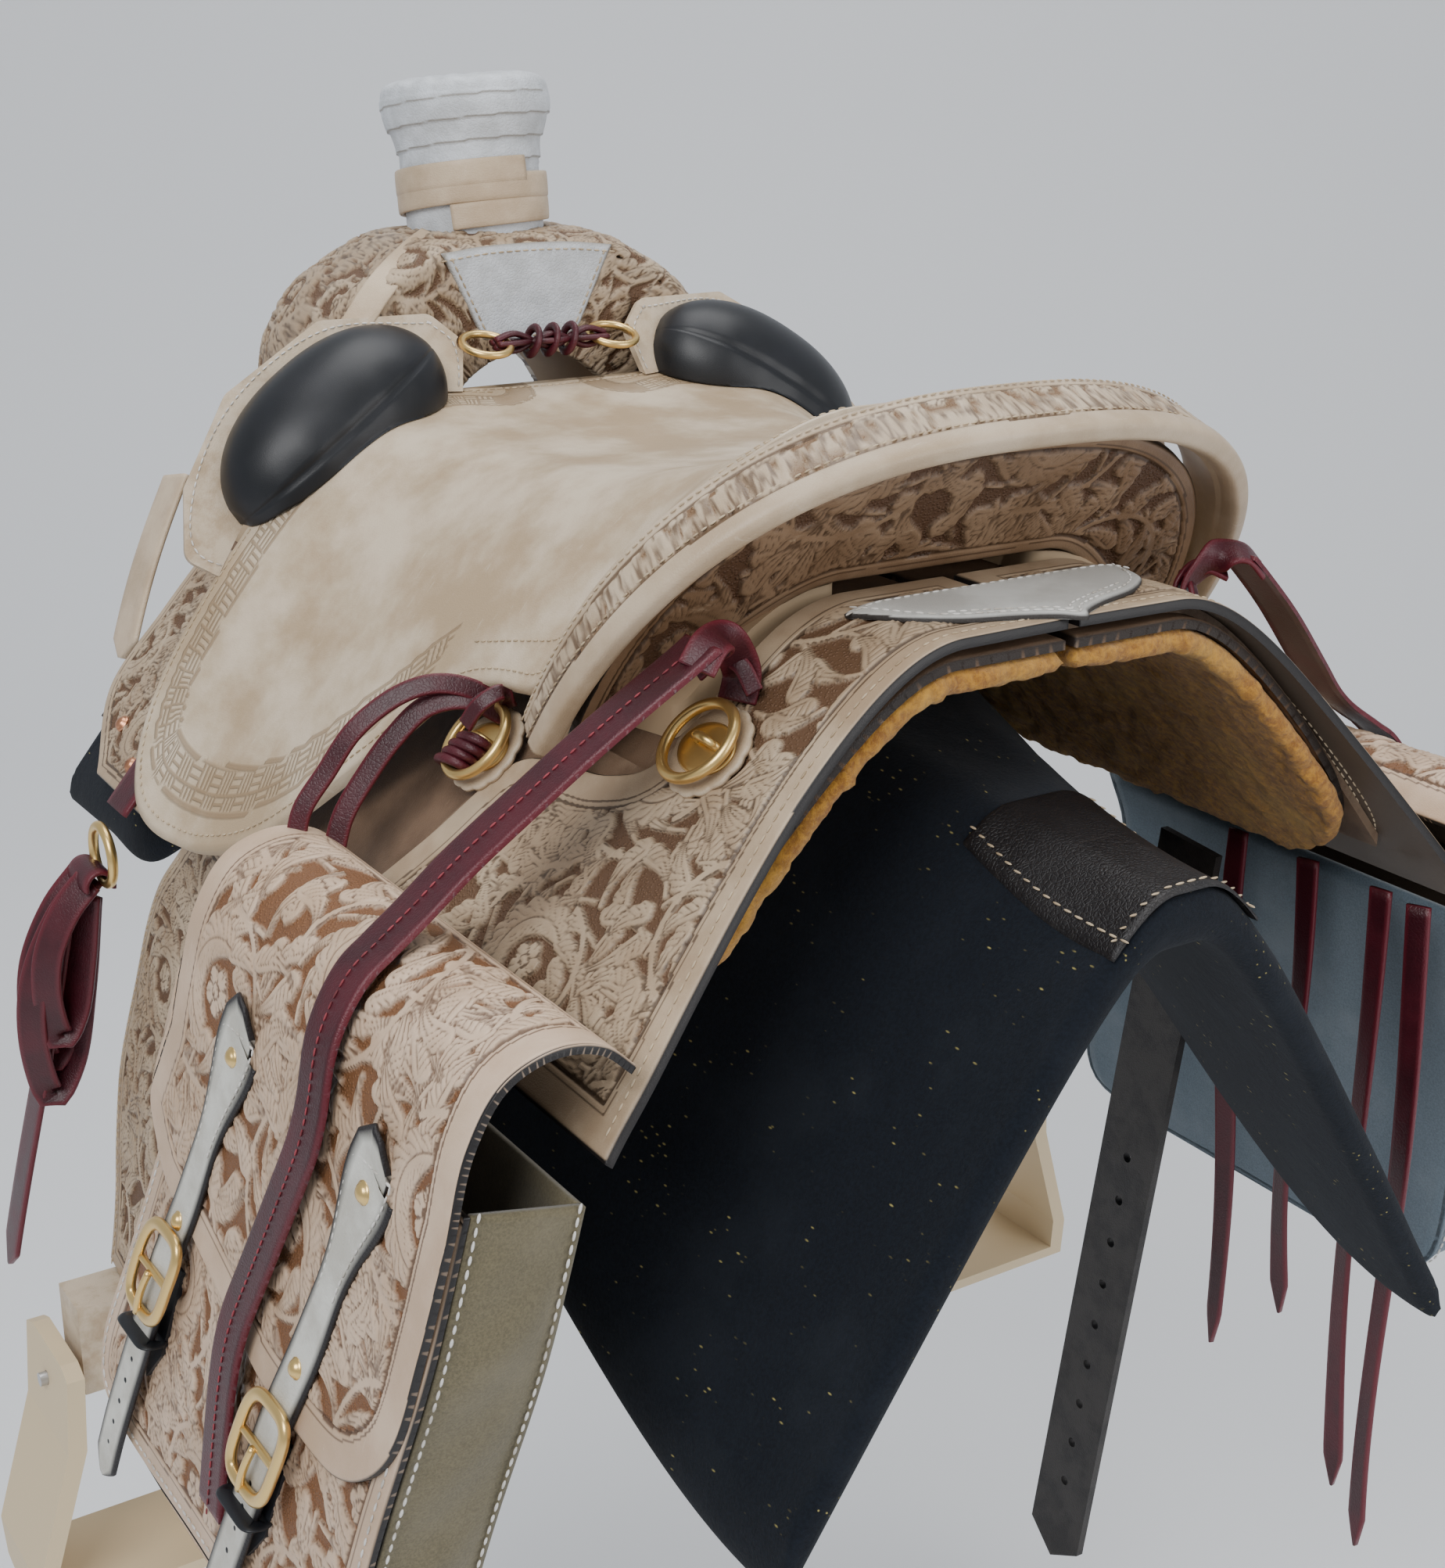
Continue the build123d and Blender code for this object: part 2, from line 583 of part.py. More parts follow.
def fender_pieces():
    """Fender, neck wrap, stirrup and stirrup bolt."""
    frame = fender_frame()
    long = (FENDER_FOOT - FENDER_TOP).length
    outline = [(-40, 0), (-62, 34), (-FENDER_HALF, 92), (-FENDER_HALF + 6, 190), (-NECK_HALF - 8, long - 60),
               (-NECK_HALF, long - 30), (NECK_HALF, long - 30), (NECK_HALF + 8, long - 60),
               (FENDER_HALF - 6, 190),
               (FENDER_HALF, 92), (62, 34), (40, 0)]
    fender = plate(frame, outline, FENDER_THICK, 6.0)
    both_sides(fender, "fender")
    bolt = Vector(*STIRRUP_BOLT)
    loop = Pos(bolt.X, bolt.Y, bolt.Z + 20) * Box(50, 34, 56)
    loop = loop - Pos(*STIRRUP_BOLT) * Rot(0, 90, 0) * Cylinder(4.02, 92)
    loop = loop - plate(frame, outline, FENDER_THICK + 1, 6.0)
    both_sides(loop, "neck_wrap")
    shank = Pos(*STIRRUP_BOLT) * Rot(0, 90, 0) * Cylinder(4.0, 92)
    both_sides(shank, "stirrup_bolt")
    half_deep = STIRRUP_DEEP / 2
    outer = [(-40, 22), (-44, -30), (-68, -110), (-66, -142), (66, -142), (68, -110), (44, -30), (40, 22),
             (30, 22), (33, -30), (57, -108), (56, -130), (-56, -130), (-57, -108), (-33, -30), (-30, 22)]
    side = Plane(origin=STIRRUP_BOLT, x_dir=(1, 0, 0), z_dir=(0, -1, 0))
    body = extrude(Sketch() + side * Polygon(*outer, align=None), amount=half_deep, both=True)
    body = body - Pos(*STIRRUP_BOLT) * Rot(0, 90, 0) * Cylinder(4.3, 120)
    taper = Pos(*STIRRUP_BOLT) * Pos(0, 0, -60) * Rot(0, 90, 0) * Cylinder(86, 300)
    both_sides(body & taper, "stirrup")


def hanging_strap(top, bottom, wide, thick, point=10.0):
    """A straight strap that hangs between two points, broad side out."""
    a, b = Vector(*top), Vector(*bottom)
    down = unit(b - a)
    forward = unit(Vector(0, 1, 0) - down * down.Y)
    frame = frame_on(a, forward, down.cross(forward))
    long = (b - a).length
    half = wide / 2
    outline = [(-half, 0), (half, 0), (half, point - long), (0, -long), (-half, point - long)]
    return plate(frame, outline, thick, 0.0)


def billet():
    """The off-side flank billet, with its row of buckle holes."""
    strap = hanging_strap(BILLET_TOP, BILLET_FOOT, 44.0, 5.0, 16.0)
    down = unit(BILLET_FOOT - BILLET_TOP)
    forward = unit(Vector(0, 1, 0) - down * down.Y)
    for i in range(BILLET_HOLES):
        spot = BILLET_FOOT - down * (60.0 + 30.0 * i)
        hole = Plane(origin=spot, x_dir=forward, z_dir=down.cross(forward)).location * Cylinder(3.0, 20)
        strap = strap - hole
    return strap


def straps_and_strings():
    """Rigging rings, latigo, billets, saddle strings and the tie over the flap."""
    dee = Pos(-277, 150, -162) * Rot(0, 90, -12) * Torus(17, 3.0)
    both_sides(dee, "rigging_ring")
    both_sides(hanging_strap((-292.0, 160.0, -184.0), (-338.0, 202.0, -440.0), 42.0, 4.0), "latigo")
    save(billet(), "flank_billet")
    over = [(-152, 54), (-196, 19), (-236, -17), (-268, -46), (-290, -61)]
    tie_line = over + [(x - 7.5, z + 1.5) for x, z in FLAP_LINE[3:]] + [(-356, -262), (-366, -340)]
    tie = flap_band(0.0, 3.0, (-460, 60), tie_line)
    path = [(-288, 70), (-314, 70), (-276, -40), (-288, -130), (-242, -240), (-234, -336), (-210, -336),
            (-216, -240), (-262, -130), (-248, -40)]
    both_sides(tie & side_prism(path), "tie_strap")
    strings = [hanging_strap((238.0, y + 12, -124.0), (242.0, y, low), 13.0, 3.0, 24.0)
               for y, low in ((-372.0, -512.0), (-346.0, -486.0), (-296.0, -400.0), (-248.0, -446.0))]
    save(Compound(children=strings), "saddle_strings")
    keeper = hanging_strap((-216.0, 152.0, 52.0), (-262.0, 132.0, -42.0), 40.0, 4.0, 12.0)
    save(keeper, "latigo_keeper")


def main():
    """Make every piece."""
    side_sheets()
    bars()
    fork_pieces()
    horn_pieces()
    seat_pieces()
    cantle_pieces()
    pad_pieces()
    bucking_rolls()
    ring_fittings()
    bag_pieces()
    fender_pieces()
    straps_and_strings()


main()
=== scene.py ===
"""Western ranch saddle with saddlebags: leather, fleece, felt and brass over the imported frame.

Every sub-assembly is a class that builds its own meshes in the row frame, in metres,
and dresses them. X is to the off side, Y forward, Z up.
"""

import logging
import math
from dataclasses import dataclass, field
from enum import Enum
from typing import Callable, Sequence

import bmesh
import bpy
import numpy as np
from mathutils import Matrix, Vector


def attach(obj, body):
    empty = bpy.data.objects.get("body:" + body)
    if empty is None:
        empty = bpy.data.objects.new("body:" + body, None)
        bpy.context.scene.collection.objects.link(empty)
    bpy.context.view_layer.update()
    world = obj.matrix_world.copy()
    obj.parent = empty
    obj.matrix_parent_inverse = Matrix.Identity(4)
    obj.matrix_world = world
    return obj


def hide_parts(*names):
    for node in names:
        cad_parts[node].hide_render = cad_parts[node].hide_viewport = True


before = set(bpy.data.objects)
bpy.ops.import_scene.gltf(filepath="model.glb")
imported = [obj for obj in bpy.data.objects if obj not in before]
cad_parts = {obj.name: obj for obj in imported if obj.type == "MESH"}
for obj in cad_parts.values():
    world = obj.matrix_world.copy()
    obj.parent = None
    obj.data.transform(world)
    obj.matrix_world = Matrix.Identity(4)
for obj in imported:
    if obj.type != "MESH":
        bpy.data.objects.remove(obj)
LOG = logging.getLogger("saddle")
MM = 0.001
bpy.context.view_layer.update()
Array = np.ndarray


class Slot(Enum):
    """Material slots of the record."""

    TOOLED = "tooled_leather"
    SEAT = "seat_leather"
    PLAIN = "plain_leather"
    SKIRTING = "skirting_leather"
    BLACK = "black_leather"
    HIDE = "mulehide"
    LATIGO = "latigo_leather"
    STRAP = "strap_leather"
    SUEDE = "bag_suede"
    BILLET = "billet_leather"
    SPINE = "spine_leather"
    FLEECE = "fleece"
    FELT = "felt"
    BRASS = "brass"
    WOOD = "tree_wood"
    RAWHIDE = "rawhide"
    STEEL = "steel"


class Side(Enum):
    """Near side is left of the rider, off side is right."""

    LEFT = -1
    RIGHT = 1

    @property
    def word(self) -> str:
        """Name used in node and body names."""
        return "left" if self is Side.LEFT else "right"


# --------------------------------------------------------------------------- meshes


def mesh_object(name: str, verts: Array, faces: Sequence, material: bpy.types.Material,
                smooth: bool = True) -> bpy.types.Object:
    """Make an object at the origin from points and faces.

    Args:
        name: Object name.
        verts: Points, n by 3, in metres.
        faces: Faces as lists of indices, or an n by 4 array.
        material: The finish.
        smooth: Whether faces are shaded smooth.

    Returns:
        The linked object.
    """
    mesh = bpy.data.meshes.new(name)
    rows = faces.tolist() if isinstance(faces, np.ndarray) else faces
    mesh.from_pydata(np.asarray(verts, float).tolist(), [], rows)
    mesh.update()
    mesh.shade_smooth() if smooth else mesh.shade_flat()
    mesh.materials.append(material)
    obj = bpy.data.objects.new(name, mesh)
    bpy.context.scene.collection.objects.link(obj)
    return obj


def face_outwards(obj: bpy.types.Object, merge: float = 1e-6) -> bpy.types.Object:
    """Merge doubled points and turn every face outwards.

    Args:
        obj: The mesh object.
        merge: Distance under which points are merged.

    Returns:
        The same object.
    """
    bm = bmesh.new()
    bm.from_mesh(obj.data)
    bmesh.ops.remove_doubles(bm, verts=bm.verts, dist=merge)
    bmesh.ops.recalc_face_normals(bm, faces=bm.faces)
    bm.to_mesh(obj.data)
    bm.free()
    return obj


def set_attribute(obj: bpy.types.Object, name: str, values: Array) -> None:
    """Store one number per point on a mesh."""
    layer = obj.data.attributes.new(name, "FLOAT", "POINT")
    layer.data.foreach_set("value", np.asarray(values, np.float32).ravel())


def mirrored(obj: bpy.types.Object, name: str) -> bpy.types.Object:
    """A copy of a left piece on the off side, with its faces turned right.

    Args:
        obj: The mesh object.
        name: Object name.

    Returns:
        The copy.
    """
    copy = obj.copy()
    copy.data = obj.data.copy()
    copy.name = name
    copy.data.name = name
    copy.data.transform(Matrix.Diagonal((-1.0, 1.0, 1.0, 1.0)))
    copy.data.flip_normals()
    bpy.context.scene.collection.objects.link(copy)
    return copy


def joined(parts: Sequence[bpy.types.Object], name: str) -> bpy.types.Object:
    """Join meshes into one object called name.

    Args:
        parts: Objects to join.
        name: Object name.

    Returns:
        The joined object.
    """
    with bpy.context.temp_override(active_object=parts[0], selected_editable_objects=list(parts)):
        bpy.ops.object.join()
    parts[0].name = name
    parts[0].data.name = name
    return parts[0]


def baked(obj: bpy.types.Object) -> bpy.types.Object:
    """Apply every modifier of an object by taking its evaluated mesh.

    Args:
        obj: The mesh object.

    Returns:
        A plain mesh object.
    """
    graph = bpy.context.evaluated_depsgraph_get()
    graph.update()
    mesh = bpy.data.meshes.new_from_object(obj.evaluated_get(graph))
    obj.modifiers.clear()
    if obj.type == "MESH":
        obj.data = mesh
        return obj
    solid = bpy.data.objects.new(obj.name + "_mesh", mesh)
    bpy.context.scene.collection.objects.link(solid)
    bpy.data.objects.remove(obj)
    return solid


def tube(points: Sequence, radius: float, material: bpy.types.Material, name: str, closed: bool = False,
         sides: int = 12, flat: float = 1.0, up: Sequence = (0.0, 0.0, 1.0)) -> bpy.types.Object:
    """A round or flattened bar that follows points.

    Args:
        points: Middle line, in metres.
        radius: Half-thickness across the line.
        material: The finish.
        name: Object name.
        closed: Whether the line joins up.
        sides: Points round the bar.
        flat: Height of the section as a share of its width.
        up: Direction of the section's height.

    Returns:
        The bar.
    """
    line = np.asarray(points, float)
    ahead = np.roll(line, -1, 0) - np.roll(line, 1, 0)
    if not closed:
        ahead[0] = line[1] - line[0]
        ahead[-1] = line[-1] - line[-2]
    ahead /= np.linalg.norm(ahead, axis=1, keepdims=True)
    across = np.cross(ahead, np.asarray(up, float))
    across /= np.linalg.norm(across, axis=1, keepdims=True) + 1e-12
    height = np.cross(across, ahead)
    turn = np.linspace(0, 2 * math.pi, sides, endpoint=False)
    ringed = (line[:, None] + radius * np.cos(turn)[None, :, None] * across[:, None]
              + radius * flat * np.sin(turn)[None, :, None] * height[:, None])
    count = len(line)
    faces = []
    for i in range(count if closed else count - 1):
        for j in range(sides):
            k = (i + 1) % count
            m = (j + 1) % sides
            faces.append((i * sides + j, i * sides + m, k * sides + m, k * sides + j))
    if not closed:
        faces.append(tuple(range(sides))[::-1])
        faces.append(tuple((count - 1) * sides + j for j in range(sides)))
    return face_outwards(mesh_object(name, ringed.reshape(-1, 3), faces, material))


def grid_faces(rows: int, columns: int) -> Array:
    """Quads of a grid of points, row by row."""
    base = np.arange((rows - 1) * columns).reshape(rows - 1, columns)[:, :-1].ravel()
    return np.stack([base, base + 1, base + columns + 1, base + columns], axis=1)


def rim_loop(rows: int, columns: int) -> Array:
    """Indices of a grid's outer points, in order round it.

    Args:
        rows: Rows of the grid.
        columns: Columns of the grid.

    Returns:
        One index per point of the rim.
    """
    return np.concatenate([np.arange(columns), np.arange(1, rows) * columns + columns - 1,
                           (rows - 1) * columns + np.arange(columns - 2, -1, -1),
                           np.arange(rows - 2, 0, -1) * columns])


def ring_faces(rows: int, around: int) -> list[tuple[int, ...]]:
    """Faces of a closed skin over stacked rings, with a cap at each end.

    Args:
        rows: Number of rings.
        around: Points in one ring.

    Returns:
        The faces, as point indices.
    """
    faces = []
    for i in range(rows - 1):
        for j in range(around):
            k = (j + 1) % around
            faces.append((i * around + j, i * around + k, (i + 1) * around + k, (i + 1) * around + j))
    faces.append(tuple(range(around))[::-1])
    faces.append(tuple((rows - 1) * around + j for j in range(around)))
    return faces


def smooth_line(points: Sequence, count: int) -> Array:
    """A smooth open line through points, evenly spaced.

    Args:
        points: Points of the line, one row each.
        count: Number of points or pieces.

    Returns:
        Evenly spaced points.
    """
    spots = np.asarray(points, float)
    step = np.linalg.norm(np.diff(spots, axis=0), axis=1)
    reach = np.concatenate([[0.0], np.cumsum(np.sqrt(step))])
    fine = np.linspace(0, reach[-1], count * 4)
    slopes = np.gradient(spots, reach, axis=0)
    index = np.clip(np.searchsorted(reach, fine, side="right") - 1, 0, len(reach) - 2)
    width = reach[index + 1] - reach[index]
    t = ((fine - reach[index]) / width)[:, None]
    width = width[:, None]
    curve = ((2 * t ** 3 - 3 * t ** 2 + 1) * spots[index] + (t ** 3 - 2 * t ** 2 + t) * width * slopes[index]
             + (-2 * t ** 3 + 3 * t ** 2) * spots[index + 1] + (t ** 3 - t ** 2) * width * slopes[index + 1])
    run = np.concatenate([[0.0], np.cumsum(np.linalg.norm(np.diff(curve, axis=0), axis=1))])
    even = np.linspace(0, run[-1], count)
    return np.stack([np.interp(even, run, curve[:, k]) for k in range(spots.shape[1])], axis=1)


# --------------------------------------------------------------------------- side surface


@dataclass(frozen=True)
class SideSection:
    """The section that every skirt, jockey and yoke follows, in metres."""

    crown: float = 48.0 * MM
    half: float = 60.0 * MM
    slope: float = 1.25
    turn: float = 60.0 * MM

    def point(self, x: Array, offset: float | Array) -> tuple[Array, Array]:
        """Across and height of the section at x, moved outwards by offset.

        Args:
            x: Distance across.
            offset: Distance outwards.

        Returns:
            Across and height.
        """
        u = np.maximum(np.abs(x) - self.half, 0.0)
        root = np.sqrt(u * u + self.turn * self.turn)
        fall = self.slope * u / root
        size = np.sqrt(1.0 + fall * fall)
        return x + np.sign(x) * offset * fall / size, self.crown - self.slope * (root - self.turn) + offset / size

    def run(self, x: Array) -> Array:
        """Length along the section from the centre line to x.

        Args:
            x: Distance across.

        Returns:
            Length along the section or line.
        """
        steps = np.linspace(0.0, 0.32, 641)
        low, high = self.point(steps, 0.0)
        size = np.concatenate([[0.0], np.cumsum(np.hypot(np.diff(low), np.diff(high)))])
        return np.interp(np.abs(x), steps, size)

    def across(self, run: Array) -> Array:
        """Inverse of run: the distance across for a length along the section."""
        steps = np.linspace(0.0, 0.32, 641)
        return np.interp(run, self.run(steps), steps)


SECTION = SideSection()
Surface = Callable[[Array, Array, Array], Array]


def side_surface(base: float) -> Surface:
    """Surface of the left side at a layer's offset, from flat (run across, y) coordinates.

    Args:
        base: Height of the layer over the section.

    Returns:
        A function from flat coordinates and a lift to points.
    """

    def place(a: Array, b: Array, lift: Array) -> Array:
        """Points of the side from flat coordinates and a lift."""
        x, z = SECTION.point(-SECTION.across(a) - 1e-9, base + lift)
        return np.stack([x, b, z], axis=-1)

    return place


# --------------------------------------------------------------------------- tooling


@dataclass
class Carving:
    """Carved floral tooling on a flat panel, kept as a fine height and tone map.

    Attributes:
        low: Lowest corner of the panel in flat coordinates.
        high: Highest corner.
        seed: Seed of the layout.
        scroll: Radius of one scroll of leaves.
        cell: Size of one cell of the map.
    """

    low: tuple[float, float]
    high: tuple[float, float]
    seed: int
    scroll: float = 40.0 * MM
    cell: float = 0.55 * MM
    height: Array = field(init=False)
    ground: Array = field(init=False)
    cut: Array = field(init=False)

    def __post_init__(self) -> None:
        """Set out the map and carve it."""
        shape = [int((self.high[k] - self.low[k]) / self.cell) + 2 for k in (0, 1)]
        self.height = np.full(shape, -1.0, np.float32)
        self.ground = np.ones(shape, np.float32)
        self.cut = np.zeros(shape, np.float32)
        self.rng = np.random.default_rng(self.seed)
        self.carve()

    def window(self, centre: Array, reach: float) -> tuple[slice, slice, Array, Array] | None:
        """Cells near a centre, with their flat coordinates from it.

        Args:
            centre: Middle, in flat coordinates.
            reach: Half-size of the window.

        Returns:
            Row and column slices with the offsets of their cells, or None outside the map.
        """
        lo = [int((centre[k] - reach - self.low[k]) / self.cell) for k in (0, 1)]
        hi = [int((centre[k] + reach - self.low[k]) / self.cell) + 1 for k in (0, 1)]
        lo = [max(v, 0) for v in lo]
        hi = [min(hi[k], self.height.shape[k]) for k in (0, 1)]
        if lo[0] >= hi[0] or lo[1] >= hi[1]:
            return None
        a = self.low[0] + np.arange(lo[0], hi[0]) * self.cell - centre[0]
        b = self.low[1] + np.arange(lo[1], hi[1]) * self.cell - centre[1]
        grid = np.meshgrid(a, b, indexing="ij")
        return slice(lo[0], hi[0]), slice(lo[1], hi[1]), grid[0], grid[1]

    def stamp(self, rows: slice, columns: slice, inside: Array, height: Array, cut: Array) -> None:
        """Lay one carved shape over what is already there."""
        self.height[rows, columns] = np.where(inside, height, self.height[rows, columns])
        self.ground[rows, columns] = np.where(inside, 0.0, self.ground[rows, columns])
        self.cut[rows, columns] = np.where(inside, cut, self.cut[rows, columns])

    def leaf(self, root: Array, angle: float, length: float, width: float, bend: float, lobes: int) -> None:
        """One acanthus leaf: a bent teardrop with a lobed outer edge and long fanned cuts.

        Args:
            root: Where the leaf starts.
            angle: Its direction at the root.
            length: Length along its curve.
            width: Greatest half-width.
            bend: How far it turns over its length, in radians.
            lobes: Number of lobes on its outer edge.
        """
        box = self.window(root, length * 1.05 + width)
        if box is None:
            return
        rows, columns, a, b = box
        ca, sa = math.cos(angle), math.sin(angle)
        x, y = a * ca + b * sa, -a * sa + b * ca
        if bend < 0:
            y = -y
        radius = length / abs(bend)
        t = np.arctan2(x, radius - y) * radius / length
        d = radius - np.hypot(x, y - radius)
        body = np.clip(t, 0.0, 1.0)
        profile = width * (0.16 + 0.84 * np.sin(math.pi * body ** 0.62) ** 0.8) * np.clip((1 - body) * 7, 0, 1) ** 0.6
        scallop = np.abs(np.sin(math.pi * (lobes * body + 0.15)))
        limit = np.where(d < 0, profile * (0.78 + 0.30 * scallop), profile * 0.62)
        inside = (t > 0.0) & (t < 1.0) & (np.abs(d) < limit)
        if not inside.any():
            return
        edge = limit - np.abs(d)
        share = np.abs(d) / (limit + 1e-9)
        strokes = max(length / (4.4 * MM), 6.0)
        wave = np.mod(t * strokes - 2.6 * share ** 0.75 * (1 + 0.4 * (d >= 0)), 1.0)
        veins = np.clip(1 - np.abs(wave - 0.5) / 0.19, 0, 1)
        veins = (veins * np.clip((share - 0.14) * 8, 0, 1) * np.clip(edge / (1.6 * MM), 0, 1)
                 * np.clip((1 - t) * 6, 0, 1))
        rim = np.clip(1 - edge / (1.3 * MM), 0, 1)
        rib = np.clip(1 - np.abs(d + 0.10 * width) / (1.0 * MM), 0, 1) * np.clip((0.86 - t) * 8, 0, 1)
        swell = np.sqrt(np.clip(edge / (0.6 * width + 1e-9), 0, 1))
        height = 0.15 + 0.75 * swell - 0.5 * veins - 0.6 * rib - 0.5 * rim
        # The cut mask holds the cut lines, and 0.30 * (1 - swell) darkens the leaf towards its low outline as painted
        # shade.
        cut = np.maximum(np.maximum(0.95 * rim, 0.80 * veins), np.maximum(0.85 * rib, 0.30 * (1 - swell)))
        self.stamp(rows, columns, inside, height, cut)

    def stem(self, points: Array, width: float) -> None:
        """A plain raised stem with a cut down each side.

        Args:
            points: Points of the line, one row each.
            width: Half-width of the stem.
        """
        for spot in points:
            box = self.window(spot, width * 1.4)
            if box is None:
                continue
            rows, columns, a, b = box
            away = np.hypot(a, b)
            inside = away < width
            keep = self.ground[rows, columns] < 0.5
            cut = np.where(away > width - 0.8 * MM, 0.9, 0.0)
            cut = np.where(keep & inside, np.minimum(cut, self.cut[rows, columns]), cut)
            self.stamp(rows, columns, inside, np.full(a.shape, 0.1), cut)

    def flower(self, centre: Array, radius: float, petals: int, turn: float) -> None:
        """A round flower with ruffled petals and a seeded middle.

        Args:
            centre: Middle, in flat coordinates.
            radius: Radius.
            petals: Number of petals.
            turn: Angle, in radians.
        """
        box = self.window(centre, radius * 1.25)
        if box is None:
            return
        rows, columns, a, b = box
        away = np.hypot(a, b)
        angle = np.arctan2(b, a) + turn
        wave = np.abs(np.sin(angle * petals / 2))
        edge = radius * (0.78 + 0.22 * wave + 0.03 * np.sin(angle * petals * 5))
        inside = away < edge
        share = away / edge
        split = (wave < 0.16) & (share > 0.35)
        fan = np.mod(angle * petals * 1.6, 2 * math.pi) < 1.3
        ruffle = fan & (share > 0.55) & (share < 0.9)
        middle = share < 0.30
        seeds = middle & (np.sin(a / (0.9 * MM)) * np.sin(b / (0.9 * MM)) > 0.25)
        rim = (edge - away < 0.9 * MM) | (np.abs(share - 0.32) < 0.05)
        height = 0.35 - 0.3 * share + 0.25 * middle - 0.5 * (split | ruffle | seeds)
        cut = np.maximum(0.9 * (rim | split), 0.55 * (ruffle | seeds))
        self.stamp(rows, columns, inside, height, cut)

    def frond(self, root: Array, angle: float, length: float, width: float, bend: float) -> None:
        """A long smooth frond: a narrow stem that swells to a round tip with fanned cuts.

        Args:
            root: Where the frond starts.
            angle: Its direction at the root.
            length: Length along its curve.
            width: Half-width of its tip.
            bend: How far it turns over its length, in radians.
        """
        box = self.window(root, length * 1.02 + width)
        if box is None:
            return
        rows, columns, a, b = box
        ca, sa = math.cos(angle), math.sin(angle)
        x, y = a * ca + b * sa, -a * sa + b * ca
        if bend < 0:
            y = -y
        radius = length / max(abs(bend), 0.05)
        t = np.arctan2(x, radius - y) * radius / length
        d = radius - np.hypot(x, y - radius)
        swell = np.clip((t - 0.15) / 0.65, 0, 1)
        tip = np.sqrt(np.clip(1 - (np.clip(t - 0.84, 0, 1) / 0.16) ** 2, 0, 1))
        limit = width * (0.30 + 0.70 * swell * swell * (3 - 2 * swell)) * tip
        limit = np.where(d > 0, limit, limit * (1 + 0.10 * np.sin(t * 40) * (t > 0.5)))
        inside = (t > 0.0) & (t < 1.0) & (np.abs(d) < limit)
        if not inside.any():
            return
        edge = limit - np.abs(d)
        across = d / (limit + 1e-9)
        rim = np.clip(1 - edge / (1.15 * MM), 0, 1)
        lines = np.maximum(np.clip(1 - np.abs(across - 0.30) * limit / (0.75 * MM), 0, 1),
                           np.clip(1 - np.abs(across + 0.35) * limit / (0.75 * MM), 0, 1))
        lines = lines * np.clip((0.66 - t) * 9, 0, 1) * (limit > 1.9 * MM)
        count = max(length * 0.5 / (3.6 * MM), 4.0)
        wave = np.mod((t - 0.48) / 0.5 * count + 1.1 * np.abs(across - 0.5), 1.0)
        fan = (np.clip(1 - np.abs(wave - 0.5) / 0.20, 0, 1) * np.clip((t - 0.50) * 9, 0, 1)
               * np.clip((0.97 - t) * 14, 0, 1))
        fan = fan * np.clip((0.34 - across) * 7, 0, 1) * np.clip((across + 0.86) * 9, 0, 1)
        middle = np.clip(1 - np.abs(across - 0.40) * limit / (0.8 * MM), 0, 1) * np.clip((t - 0.55) * 8, 0, 1)
        middle = middle * np.clip((0.95 - t) * 10, 0, 1)
        marks = np.maximum(np.maximum(lines, fan), middle)
        height = 0.25 + 0.6 * np.sqrt(np.clip(edge / (0.7 * width), 0, 1)) - 0.65 * marks - 0.55 * rim
        self.stamp(rows, columns, inside, height, np.maximum(rim, 0.9 * marks))

    def spray(self, root: Array, angle: float, length: float, count: int) -> None:
        """A palmette: fronds that open to both sides of one direction.

        Args:
            root: Where it starts.
            angle: Direction at its start.
            length: Length of its longest frond.
            count: Number of points or pieces.
        """
        for k in range(count):
            share = (k - (count - 1) / 2) / max((count - 1) / 2, 1)
            size = length * (1.0 - 0.22 * abs(share))
            self.frond(root, angle + share * 0.62, size, length * 0.125, share * 1.25)
        self.frond(root, angle, length * 1.02, length * 0.11, 0.08)

    def scroll_at(self, centre: Array, radius: float, start: float, hand: int) -> None:
        """A round scroll: fronds thrown off a curled band, and a ruffled leaf inside it.

        Args:
            centre: Middle, in flat coordinates.
            radius: Radius.
            start: Angle where the scroll begins.
            hand: 1 or -1, the way it curls.
        """
        def at(turn: float, share: float) -> tuple[Array, float]:
            """A spot on the scroll, and its direction from the middle."""
            angle = start + hand * turn
            return centre + radius * share * np.array([math.cos(angle), math.sin(angle)]), angle

        for i in range(13):
            root, angle = at(0.15 + i * 0.47, 0.82)
            size = radius * self.rng.uniform(0.62, 0.80)
            self.frond(root, angle + hand * 1.05, size, radius * 0.112, -hand * 1.2)
        for i in range(11):
            root, angle = at(0.4 + i * 0.57, 0.80)
            self.frond(root, angle + hand * 2.15, radius * 0.74, radius * 0.098, hand * 1.1)
        root, angle = at(1.5 * math.pi, 0.36)
        self.leaf(root, angle + hand * math.pi / 2, radius * 1.62, radius * 0.235, hand * 4.3, 11)
        turns = np.linspace(-0.6, 1.62 * math.pi, 190)
        spiral = radius * (0.88 - 0.052 * np.maximum(turns, 0))
        angles = start + hand * turns
        line = centre + np.stack([np.cos(angles), np.sin(angles)], 1) * spiral[:, None]
        self.stem(line, 2.3 * MM)
        self.flower(centre, radius * 0.2, 5, start)

